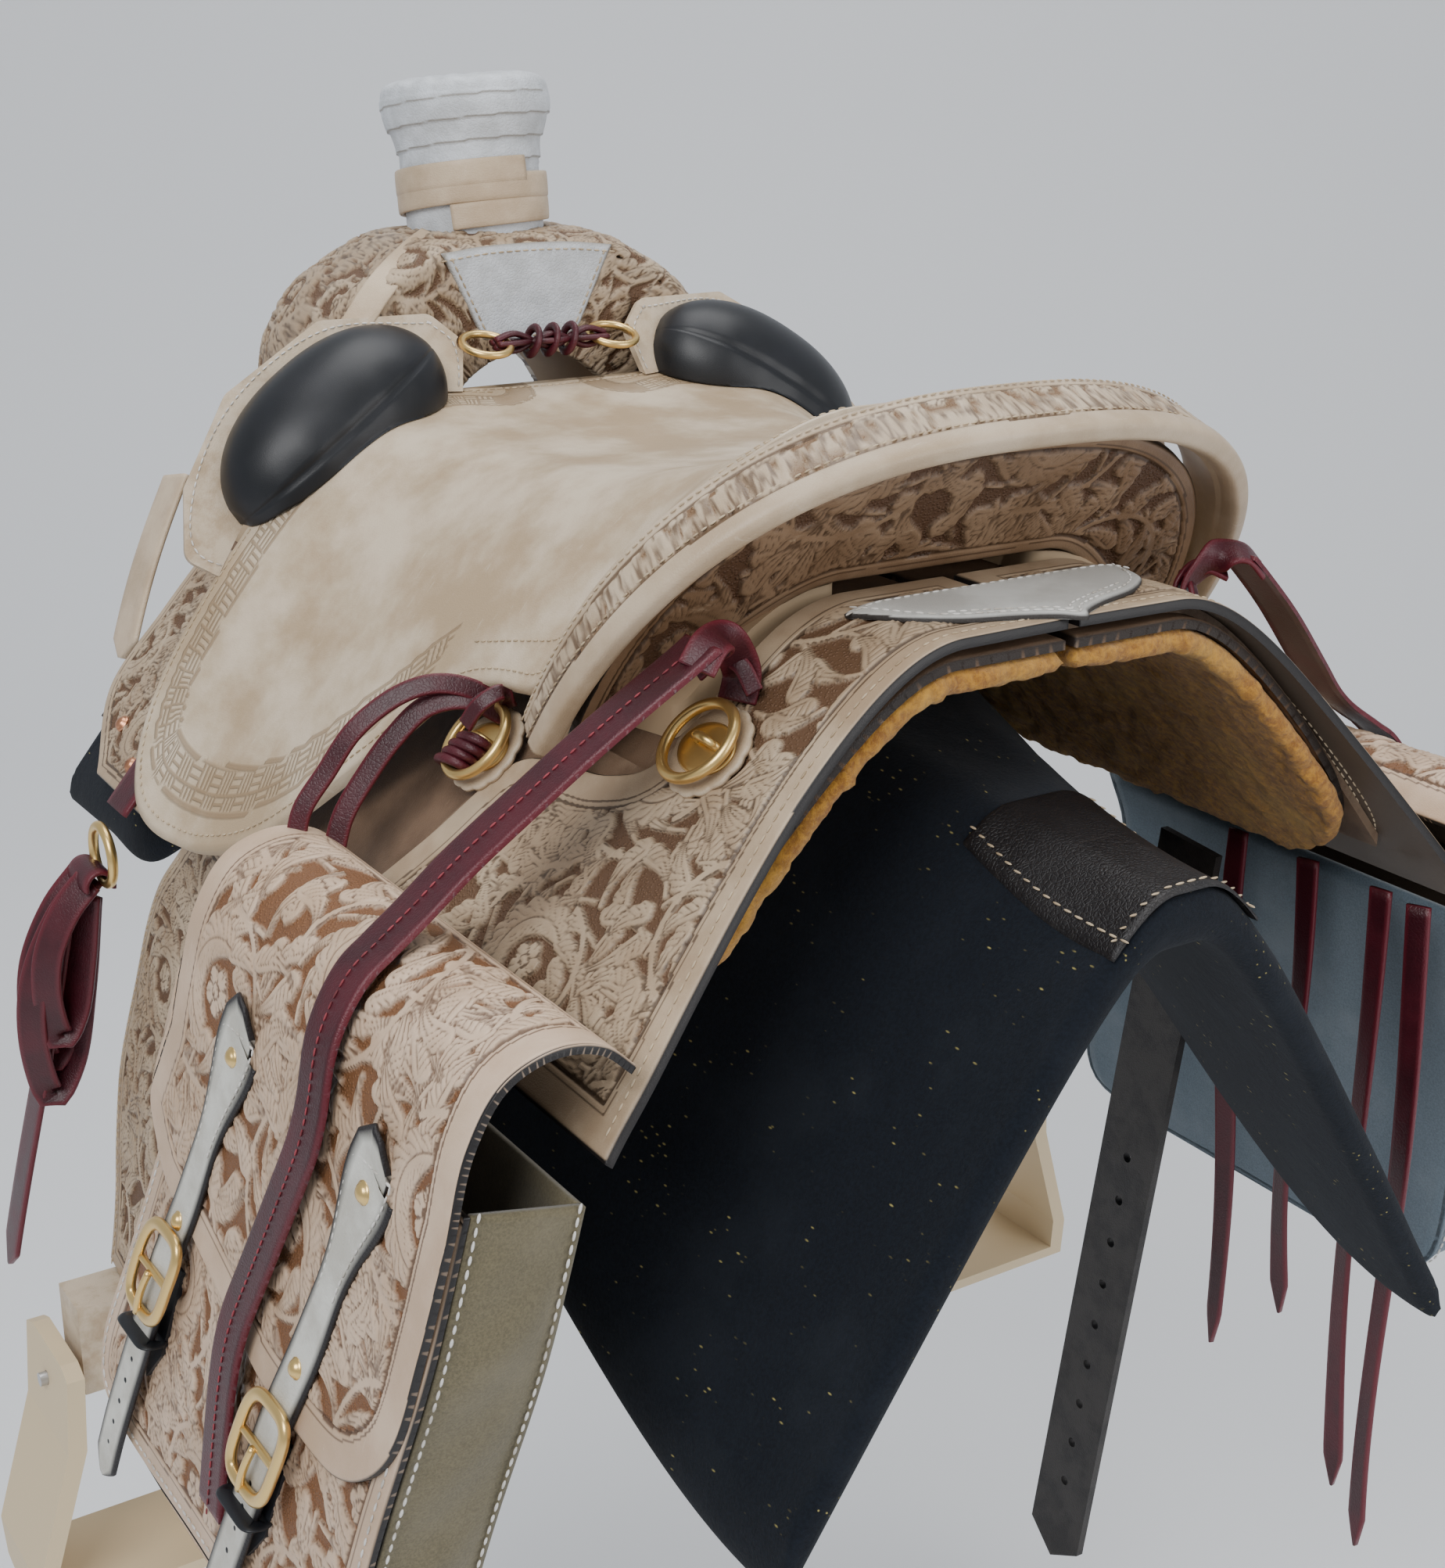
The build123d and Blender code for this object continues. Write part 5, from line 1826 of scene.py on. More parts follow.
CANTLE = CantlePlane()
SEAT_EDGE = [(-44, 105), (-72, 112), (-150, 96), (-262, 82), (-286, 56), (-278, 14), (-258, -36), (-218, -90),
             (-186, -128), (-172, -186), (-164, -230), (-128, -262), (-70, -276)]


@dataclass
class SeatAssembly:
    """The seat, the rolled rim of the cantle and the leather on its back."""

    small: Small

    def build(self) -> None:
        """Make the seat and the cantle's leathers."""
        self.seat()
        self.roll()
        self.back()

    @staticmethod
    def height(x: Array, y: Array) -> Array:
        """Height of the seat's upper face at plan points in mm.

        Args:
            x: Distance across.
            y: Distance along.

        Returns:
            Height in mm.
        """
        stations = np.array([-285, -240, -190, -120, -30, 60, 120.0])
        crown = np.interp(y, stations, [147, 127, 104, 87, 79, 84, 95])
        rows = np.array([-285, -235, -188, -120, 20, 70, 120.0])
        half = np.interp(y, rows, [60, 62, 64, 78, 88, 112, 112])
        slope = np.interp(y, rows, [1.0, 1.15, 1.9, 1.75, 1.6, 1.6, 1.6])
        u = np.maximum(np.abs(x) - half, 0)
        return crown - slope * (np.sqrt(u * u + 90.0 ** 2) - 90)

    def surface(self, a: Array, b: Array, lift: Array) -> Array:
        """The seat from plan points in metres.

        Args:
            a: First flat coordinate.
            b: Second flat coordinate.
            lift: Height over the surface.

        Returns:
            Points in metres.
        """
        kernel = (-14, -7, 0, 7, 14)
        z = sum(self.height(a * 1000, np.clip(b * 1000 + k, -285, 120)) for k in kernel) / 5 * MM
        dx = (self.height(a * 1000 + 2, b * 1000) - self.height(a * 1000 - 2, b * 1000)) / 4
        size = np.sqrt(1 + dx * dx)
        return np.stack([a - lift * dx / size, b, z + lift / size], axis=-1)

    def seat(self) -> None:
        """Cream seat leather with stitched edges and a stamped border in front."""
        left = np.asarray(SEAT_EDGE, float) * MM
        right = left * (-1, 1)
        fine_left = smooth_line(left, 200)
        panel = Panel("seat_cover", self.surface, left, right, 7.5 * MM, spacing=2.4 * MM, turn=True)
        obj = panel.build(SEAT_LEATHER.material())
        count = len(obj.data.vertices)
        points = np.empty(count * 3, np.float32)
        obj.data.vertices.foreach_get("co", points)
        points = points.reshape(-1, 3)
        fold = np.stack([-np.abs(points[:, 0]), points[:, 1]], axis=1)
        best, run = np.full(count, 1e9), np.zeros(count)
        reach = arc_run(fine_left)
        for i in range(len(fine_left) - 1):
            a, d = fine_left[i], fine_left[i + 1] - fine_left[i]
            t = np.clip(((fold - a) @ d) / (d @ d), 0, 1)
            away = np.linalg.norm(fold - a - t[:, None] * d, axis=1)
            near = away < best
            best[near] = away[near]
            run[near] = (reach[i] + t * (reach[i + 1] - reach[i]))[near]
        front = (points[:, 1] > -0.105).astype(float)
        border = ((best > 12 * MM) & (best < 25 * MM)) * front
        lines = ((np.abs(best - 11 * MM) < 0.9 * MM) | (np.abs(best - 26 * MM) < 0.9 * MM)) * front
        for key, value in (("run", run), ("depth", best), ("border", border), ("lines", lines)):
            set_attribute(obj, key, value)
        put(obj, "root", Slot.SEAT, "seat")
        rows = []
        for sign in (-1, 1):
            edge = left * (1 if sign < 0 else -1, 1)
            rows.append(inset(edge, 4.5 * MM, (0, -0.08)))
            rows.append(inset(edge[8:], 15 * MM, (0, -0.2)))
        front_row = np.array([(-60, 106), (-20, 103), (20, 103), (60, 106)]) * MM
        rows.append(front_row)
        put(SeamLine(self.surface, rows).lay(self.small, "seat_stitches", CREAM_THREAD, 4.6 * MM), "root", Slot.SEAT)

    def roll(self) -> None:
        """The rolled rim: a tooled band between plain rounded bindings."""
        count, around = 440, 104
        angle = np.radians(np.linspace(-84, 84, count))
        x0, h0 = CANTLE.arch(angle, 3.0)
        x1, h1 = CANTLE.arch(angle, 10.0)
        back0 = np.full(count, 4.0)
        back1 = 4.0 + 42.0 * (0.62 + 0.38 * np.cos(angle))
        front = np.stack([x0, h0, back0], 1)
        rear = np.stack([x1, h1, back1], 1)
        x2, h2 = CANTLE.arch(angle, 20.0)
        out = np.stack([x2 - x0, h2 - h0, 0 * x0], 1)
        along = rear - front
        long = np.linalg.norm(along, axis=1, keepdims=True)
        along /= long
        out -= along * (out * along).sum(1, keepdims=True)
        out /= np.linalg.norm(out, axis=1, keepdims=True)
        middle = (front + rear) / 2
        turn = np.linspace(0, 2 * math.pi, around, endpoint=False)
        ct, st = np.cos(turn), np.sin(turn)
        flat_u = np.sign(ct) * np.abs(ct) ** 0.42
        flat_v = np.sign(st) * np.abs(st) ** 0.62
        half = long[:, 0] / 2
        u = half[:, None] * flat_u[None]
        v = 6.4 * flat_v[None] + np.zeros_like(u)
        run = arc_run(middle)
        band = (v > 2.0) & (u > -half[:, None] + 9) & (u < half[:, None] - 11)
        carving = Carving((0.0, -0.03), (run[-1] * MM + 0.01, 0.03), seed=21, scroll=30 * MM, cell=0.45 * MM)
        height, ground, cut = carving.sample(np.repeat(run[:, None], around, 1) * MM, u * MM)
        groove = (v > 2.0) & ((np.abs(u + half[:, None] - 8.5) < 0.8) | (np.abs(u - half[:, None] + 10.5) < 0.9))
        lift = np.where(band, height * 0.8, 0.0) - 1.0 * groove
        bind = (u > half[:, None] - 10) & (v > -7)
        lift = lift + bind * 1.1
        spots = middle[:, None] + along[:, None] * u[..., None] + out[:, None] * (v + lift)[..., None]
        wire = CANTLE.spot(spots[..., 0], spots[..., 1], spots[..., 2]).reshape(-1, 3)
        faces = ring_faces(count, around)
        obj = mesh_object("cantle_roll", wire, faces, ROLL_LEATHER.material())
        for key, value in (("ground", ground * band), ("cut", np.maximum(cut * band, groove)),
                           ("flesh", 0 * ground), ("edge", 0 * ground)):
            set_attribute(obj, key, value.ravel())
        face_outwards(obj)
        put(obj, "root", Slot.TOOLED, "cheyenne_roll")
        rows = []
        ups = []
        for at in (-1, 1):
            place = middle + along * (at * (half[:, None] - (5.5 if at < 0 else 12.5))) + out * 6.6
            rows.append(CANTLE.spot(place[:, 0], place[:, 1], place[:, 2]))
            tip = middle + along * (at * (half[:, None] - 5.5)) + out * 7.6
            high = CANTLE.spot(tip[:, 0], tip[:, 1], tip[:, 2])
            low = tip - out
            ups.append((high - CANTLE.spot(low[:, 0], low[:, 1], low[:, 2])) / MM)
        put(self.small.stitches("roll_stitches", rows, ups, CREAM_THREAD, 4.4 * MM), "root", Slot.TOOLED)

    def back(self) -> None:
        """The tooled leather on the cantle's back."""

        def surface(a: Array, b: Array, lift: Array) -> Array:
            """Points of this surface from flat coordinates and a lift."""
            return CANTLE.spot(a * 1000, b * 1000, 25.3 + lift * 1000)

        angle = np.radians(np.linspace(-80, 80, 60))
        x, h = CANTLE.arch(angle, -6.0)
        _, layer = SECTION.point(x * MM - 1e-9, 12.7 * MM)
        floor = (layer * 1000 + 9.0 + 25.3 * CANTLE.rear / CANTLE.lean) / (CANTLE.rise / CANTLE.lean)
        low = np.stack([x, np.minimum(floor, h - 2)], 1) * MM
        top = np.stack([x, h], 1) * MM
        carving = Carving((-0.19, -0.06), (0.19, 0.19), seed=8, scroll=56 * MM)
        obj = Panel("cantle_back_tooling", surface, low, top, 5 * MM, 9 * MM, carving, 1.1 * MM, 1.3 * MM,
                    turn=True).build(BACK_LEATHER.material())
        face_outwards(obj)
        put(obj, "root", Slot.TOOLED, "cantle_back")


# --------------------------------------------------------------------------- fork and horn


@dataclass
class ForkAssembly:
    """Fork leather, wrapped horn, padded rolls behind the fork and the tie between them."""

    small: Small
    base: tuple[float, float, float] = (0.0, 200.0, 162.0)
    lean: float = 8.0

    def build(self) -> None:
        """Make every piece at the front."""
        self.cover()
        self.hide_patch()
        self.wrap()
        self.neck_strap()
        self.rolls()
        self.tie()
        self.backing_stitches()

    def horn(self, radius: Array, turn: Array, high: Array) -> Array:
        """A point in the horn's own frame, from mm to metres.

        Args:
            radius: Radius.
            turn: Angle, in radians.
            high: Height up the horn.

        Returns:
            Points in metres.
        """
        a = math.radians(self.lean)
        x = radius * np.cos(turn)
        y = radius * np.sin(turn)
        return np.stack([self.base[0] + x, self.base[1] + y * math.cos(a) + high * math.sin(a),
                         self.base[2] - y * math.sin(a) + high * math.cos(a)], axis=-1) * MM

    def cover(self) -> None:
        """Tooled leather over the fork, from one skirt to the other."""
        half = [(148, 20), (141, 58), (135, 92), (131, 110), (121, 130), (107, 146), (88, 158), (62, 171), (30, 174),
                (0, 174)]
        outline = smooth_line(half + [(-x, z) for x, z in half[-2::-1]], 330)
        share = np.linspace(-1, 1, 330)
        angle = share * math.pi / 2
        inner = np.stack([-66 * np.sin(angle), 42 + 66 * np.cos(angle)], axis=1)
        low, high = 135.0, 243.0
        y_mid, y_half = (low + high) / 2, (high - low) / 2
        stations = [(f, high) for f in np.linspace(0.0, 0.84, 44)]
        for t in np.linspace(0, math.pi, 70):
            c = np.cos(t)
            stations.append((0.84 + 0.16 * np.sin(t) ** 0.6, y_mid + y_half * np.sign(c) * np.abs(c) ** 0.7))
        stations += [(f, low) for f in np.linspace(0.84, 0.0, 44)]
        verts = []
        for f, y in stations:
            section = inner + (outline - inner) * f
            verts.append(np.stack([section[:, 0], np.full(330, y), section[:, 1]], 1))
        grid = np.stack(verts)
        run_a = arc_run(outline)[None] * MM + np.zeros((len(verts), 1))
        step = np.linalg.norm(np.diff(grid, axis=0), axis=2)
        run_b = np.concatenate([np.zeros((1, 330)), np.cumsum(step, axis=0)]) * MM
        _, floor = SECTION.point(grid[..., 0] * MM, 12.4 * MM)
        grid[..., 2] = np.maximum(grid[..., 2], floor / MM)
        carving = Carving((0.0, 0.0), (float(run_a.max()), float(run_b.max())), seed=31, scroll=40 * MM)
        height, ground, cut = carving.sample(run_a, run_b)
        normal = np.cross(np.gradient(grid, axis=0), np.gradient(grid, axis=1))
        normal /= np.linalg.norm(normal, axis=2, keepdims=True) + 1e-9
        centre = np.array([0.0, y_mid, 70.0])
        normal *= np.sign(((grid - centre) * normal).sum(2, keepdims=True))
        grid = grid + normal * (height * 1.0 * (grid[..., 2] > floor / MM + 1))[..., None]
        rows_n, columns = grid.shape[:2]
        faces = grid_faces(rows_n, columns).tolist()
        top = (rows_n - 1) * columns
        faces += [[j, j + 1, top + j + 1, top + j][::-1] for j in range(columns - 1)]
        faces.append([i * columns for i in range(rows_n)])
        faces.append([i * columns + columns - 1 for i in range(rows_n)][::-1])
        obj = mesh_object("fork_leather", grid.reshape(-1, 3) * MM, faces, YOKE_LEATHER.material())
        for key, value in (("ground", ground), ("cut", cut), ("flesh", 0 * cut), ("edge", 0 * cut)):
            set_attribute(obj, key, value.ravel())
        face_outwards(obj)
        put(obj, "root", Slot.TOOLED, "fork_cover")

    def hide_patch(self) -> None:
        """The white hide under the horn, stitched to the fork's back."""

        def surface(a: Array, b: Array, lift: Array) -> Array:
            """Points of this surface from flat coordinates and a lift."""
            return np.stack([a, 0.1335 - lift + 0 * a, b], axis=-1)

        low = np.array([(-31, 116), (-14, 113), (14, 113), (31, 116)]) * MM
        top = np.array([(-56, 166), (-26, 169), (26, 169), (56, 166)]) * MM
        obj = Panel("horn_hide_patch", surface, low, top, 3 * MM, spacing=2.5 * MM).build(HIDE.material())
        face_outwards(obj)
        put(obj, "root", Slot.HIDE)
        rows = [inset(low, 4 * MM, (0, 0.14)), inset(top, 4 * MM, (0, 0.14)),
                np.array([(-29, 119), (-50, 162)]) * MM, np.array([(29, 119), (50, 162)]) * MM]
        put(SeamLine(surface, rows).lay(self.small, "horn_patch_stitches", CREAM_THREAD), "root", Slot.HIDE)

    def wrap(self) -> None:
        """White hide wound up the horn's neck and gathered over its cap."""
        around, rows = 96, 150
        turn = np.linspace(0, 2 * math.pi, around, endpoint=False)[None]
        profile = smooth_line([(41, 2), (41.2, 20), (41.2, 48), (43, 60), (47.5, 71), (50.2, 80), (50.2, 88), (48, 94),
                               (42, 97), (30, 98.4), (14, 98.8), (0.3, 98.9)], rows)
        high = profile[:, 1][:, None] + 0 * turn
        radius = profile[:, 0][:, None] + 0 * turn
        wind = np.mod(high / 12.5 - turn / (2 * math.pi), 1.0)
        step = np.where((high > 46) & (high < 86), 1.5 * (1 - wind) ** 0.8, 0.0)
        fold = (0.7 * np.sin(turn * 17 + 0.14 * high) * np.clip((high - 80) / 10, 0, 1)
                * np.clip((radius - 12) / 30, 0, 1))
        tilt = 2.0 * np.sin(turn + 0.8) * np.clip((high - 90) / 6, 0, 1)
        radius = np.clip(radius + np.minimum(step, 51 - radius), 0.2, 51.4)
        verts = self.horn(radius, turn + 0 * high, high + np.minimum(fold + tilt, 0) * 0.8)
        faces = ring_faces(rows, around)
        obj = mesh_object("horn_hide_wrap", verts.reshape(-1, 3), faces, HIDE.material())
        seam = (wind < 0.07) & (high > 46) & (high < 86)
        set_attribute(obj, "edge", seam.ravel())
        face_outwards(obj, 1e-5)
        put(obj, "root", Slot.HIDE, "horn_wrap", "horn_cap")

    def neck_strap(self) -> None:
        """The tan strap wound twice round the neck, with its tail over the fork."""
        turn = np.linspace(0, 4.35 * math.pi, 260)
        start = -2.35
        high = np.interp(turn, [0, 2 * math.pi, 4.35 * math.pi], [16, 31, 42])
        radius = 43.4 + 0.9 * turn / (4.35 * math.pi)
        middle = self.horn(radius, turn + start, high)
        axis = np.array([0, math.sin(math.radians(self.lean)), math.cos(math.radians(self.lean))])
        obj = strap_along("horn_neck_strap", middle, np.repeat(axis[None], 260, 0), 15 * MM, 3 * MM,
                          TAN_STRAP)
        put(obj, "root", Slot.STRAP, "horn_strap")
        tail = smooth_line([(-41, 176, 172), (-62, 158, 166), (-92, 140, 150), (-118, 133, 122),
                            (-138, 134, 92)], 70) * MM
        across = np.cross(np.gradient(tail, axis=0), (-0.45, -0.75, 0.5))
        across /= np.linalg.norm(across, axis=1, keepdims=True)
        obj = strap_along("horn_strap_tail", tail, across, 17 * MM, 3 * MM, TAN_STRAP)
        put(obj, "root", Slot.STRAP)

    @staticmethod
    def roll_plane() -> tuple[Array, Array, Array, Array]:
        """Where the left roll lies against the fork.

        Returns:
            Its middle in mm, and the directions along it, up its backing and out of its face.
        """
        inner, outer = np.array([-76.0, 117, 116]), np.array([-202.0, 96, 34])
        along = (outer - inner) / np.linalg.norm(outer - inner)
        facing = np.array([-0.126, -0.884, 0.451])
        facing -= along * facing.dot(along)
        facing /= np.linalg.norm(facing)
        return (inner + outer) / 2, along, np.cross(facing, along), facing

    def rolls(self) -> None:
        """Black padded rolls with a seam along them."""
        centre, along, up, facing = self.roll_plane()
        rows, around = 110, 72
        s = np.linspace(-1, 1, rows)
        size = np.clip(1 - np.abs(s) ** 2.3, 0, 1) ** 0.5
        turn = np.linspace(-0.12, math.pi + 0.12, around)
        verts = []
        for k, (t, r) in enumerate(zip(s, size)):
            seam = -1.6 * np.exp(-((turn - 1.42) / 0.035) ** 2)
            pucker = 0.25 * math.sin(k * 0.35) * np.exp(-((turn - 1.42) / 0.3) ** 2)
            v = (46.0 * r + (seam + pucker) * min(r * 2, 1)) * np.cos(turn)
            w = (43.0 * r + (seam + pucker) * min(r * 2, 1)) * np.sin(turn)
            verts.append(centre + along * (76.0 * t) + up * v[:, None] + facing * (w + 0.5)[:, None])
        grid = np.stack(verts)
        high = SeatAssembly.height(grid[..., 0], np.clip(grid[..., 1], -285, 120))
        inside = grid[..., 1] < 112
        grid[..., 2] = np.where(inside, np.maximum(grid[..., 2], high + 0.8), grid[..., 2])
        faces = grid_faces(rows, around).tolist()
        faces += [[(i + 1) * around, i * around, i * around + around - 1, (i + 1) * around + around - 1]
                  for i in range(rows - 1)]
        obj = face_outwards(mesh_object("roll_padding", grid.reshape(-1, 3) * MM, faces, BLACK.material()), 1e-5)
        put_pair(obj, "roll_padding", "root", Slot.BLACK, "bucking_roll")

    def backing_stitches(self) -> None:
        """Stitches round the rolls' natural backings."""
        centre, along, up, facing = self.roll_plane()
        leaf = np.array([(-88, -10), (-38, -46), (30, -50), (80, -30), (104, -6), (98, 12), (58, 42), (0, 52),
                         (-58, 38),
                         (-90, 8), (-88, -10)], float)
        line = smooth_line(leaf, 160)
        spots = centre + along * line[:, :1] + up * line[:, 1:] + facing * 0.2
        high = SeatAssembly.height(spots[:, 0], np.clip(spots[:, 1], -285, 120))
        spots = spots[(spots[:, 2] > high + 3) | (spots[:, 1] > 113)]
        ups = np.repeat(facing[None], len(spots), 0)
        gaps = np.nonzero(np.linalg.norm(np.diff(spots, axis=0), axis=1) > 8)[0]
        lines = [part for part in np.split(spots * MM, gaps + 1) if len(part) > 2]
        obj = self.small.stitches("backing_stitches", lines, [ups[: len(part)] for part in lines], WHITE_THREAD,
                                  4.6 * MM)
        put_pair(obj, "backing_stitches", "root", Slot.PLAIN)

    def tie(self) -> None:
        """The maroon thong that is wound between the two rings."""
        strands = []
        for k, (high, deep) in enumerate(((5, 0), (0, 5), (-5, 1), (0, -4))):
            line = [(-36, 110 + deep, 117 + high * 0.4), (-24, 110 + deep, 117 + high),
                    (0, 110 - deep, 117 - high * 0.7),
                    (24, 110 + deep, 117 + high), (36, 110 + deep, 117 + high * 0.4)]
            strands.append(tube(smooth_line(line, 40) * MM, 3.1 * MM, LATIGO.material(), f"strand_{k}", flat=0.6))
        for k, x in enumerate((-12, 0, 12)):
            turn = np.linspace(0, 2 * math.pi, 24, endpoint=False)
            loop = np.stack([x + 2.5 * np.sin(turn), 110 + 7.4 * np.cos(turn), 117 + 7.4 * np.sin(turn)], 1) * MM
            strands.append(tube(loop, 2.6 * MM, LATIGO.material(), f"wind_{k}", closed=True, flat=0.7, up=(1, 0, 0)))
        put(joined(strands, "roll_tie_thong"), "root", Slot.LATIGO, "roll_tie")


def strap_along(name: str, middle: Array, across: Array, wide: float | Array, thick: float, finish: Finish,
                point: float = 0.0) -> bpy.types.Object:
    """A flat strap along a line, with softened edges that carry the edge dye.

    Args:
        name: Object name.
        middle: Middle line, in metres.
        across: Direction of the width at each point.
        wide: Width, one number or one for each point.
        thick: Thickness.
        finish: The finish.
        point: Length of a pointed end.

    Returns:
        The strap.
    """
    ahead = np.gradient(middle, axis=0)
    ahead /= np.linalg.norm(ahead, axis=1, keepdims=True) + 1e-12
    across = across - ahead * (across * ahead).sum(1, keepdims=True)
    across /= np.linalg.norm(across, axis=1, keepdims=True)
    out = np.cross(ahead, across)
    widths = np.full(len(middle), wide) if np.isscalar(wide) else np.asarray(wide)
    if point:
        left = arc_run(middle)[-1] - arc_run(middle)
        widths = widths * np.clip(left / point + 0.12, 0, 1)
    u = np.array([-1, -0.98, -0.90, -0.6, -0.2, 0.2, 0.6, 0.90, 0.98, 1, 0.98, 0.90, 0.6, 0.2, -0.2, -0.6, -0.90,
                  -0.98])
    v = np.array([0, 0.6, 0.92, 1.06, 1.1, 1.1, 1.06, 0.92, 0.6, 0, -0.6, -0.92, -1, -1, -1, -1, -0.92, -0.6])
    dyed = (np.abs(u) > 0.89).astype(float)
    grid = (middle[:, None] + across[:, None] * (u[None] * widths[:, None] / 2)[..., None]
            + out[:, None] * (v * thick / 2)[None, :, None])
    count, around = len(middle), len(u)
    faces = []
    for i in range(count - 1):
        for j in range(around):
            k = (j + 1) % around
            faces.append((i * around + j, i * around + k, (i + 1) * around + k, (i + 1) * around + j))
    faces.append(tuple(range(around))[::-1])
    faces.append(tuple((count - 1) * around + j for j in range(around)))
    obj = mesh_object(name, grid.reshape(-1, 3), faces, finish.material())
    set_attribute(obj, "edge", np.tile(dyed, count))
    return face_outwards(obj)


# --------------------------------------------------------------------------- saddlebags


@dataclass
class Profile:
    """A surface swept along Y from a line of (x, z) points in mm."""

    line: Sequence
    lift: float = 0.0

    def __post_init__(self) -> None:
        """Make a fine smooth line."""
        self.fine = smooth_line(self.line, 400)
        self.reach = arc_run(self.fine) * MM

    def place(self, a: Array, b: Array, lift: Array) -> Array:
        """A point at run a along the line, y = b and height lift outwards.

        Args:
            a: First flat coordinate.
            b: Second flat coordinate.
            lift: Height over the surface.

        Returns:
            Points in metres.
        """
        flat = np.asarray(a)
        x = np.interp(flat, self.reach, self.fine[:, 0])
        z = np.interp(flat, self.reach, self.fine[:, 1])
        dx = np.interp(flat, self.reach, np.gradient(self.fine[:, 0]))
        dz = np.interp(flat, self.reach, np.gradient(self.fine[:, 1]))
        size = np.hypot(dx, dz)
        high = (lift + self.lift) / MM
        return np.stack([(x + high * dz / size) * MM, b + 0 * flat, (z - high * dx / size) * MM], axis=-1)

    def run(self, z: float) -> float:
        """Run along the falling part of the line at a height in mm."""
        top = int(np.argmax(self.fine[:, 1]))
        return float(np.interp(-z, -self.fine[top:, 1], self.reach[top:]))


FLAP_LINE = [(-240, -80), (-254, -68), (-274, -64), (-296, -72), (-311, -94), (-320, -126), (-331, -180), (-340, -224)]
TAIL_LINE = FLAP_LINE[5:] + [(-350, -262), (-359, -310), (-368, -360), (-375, -408), (-384, -455)]


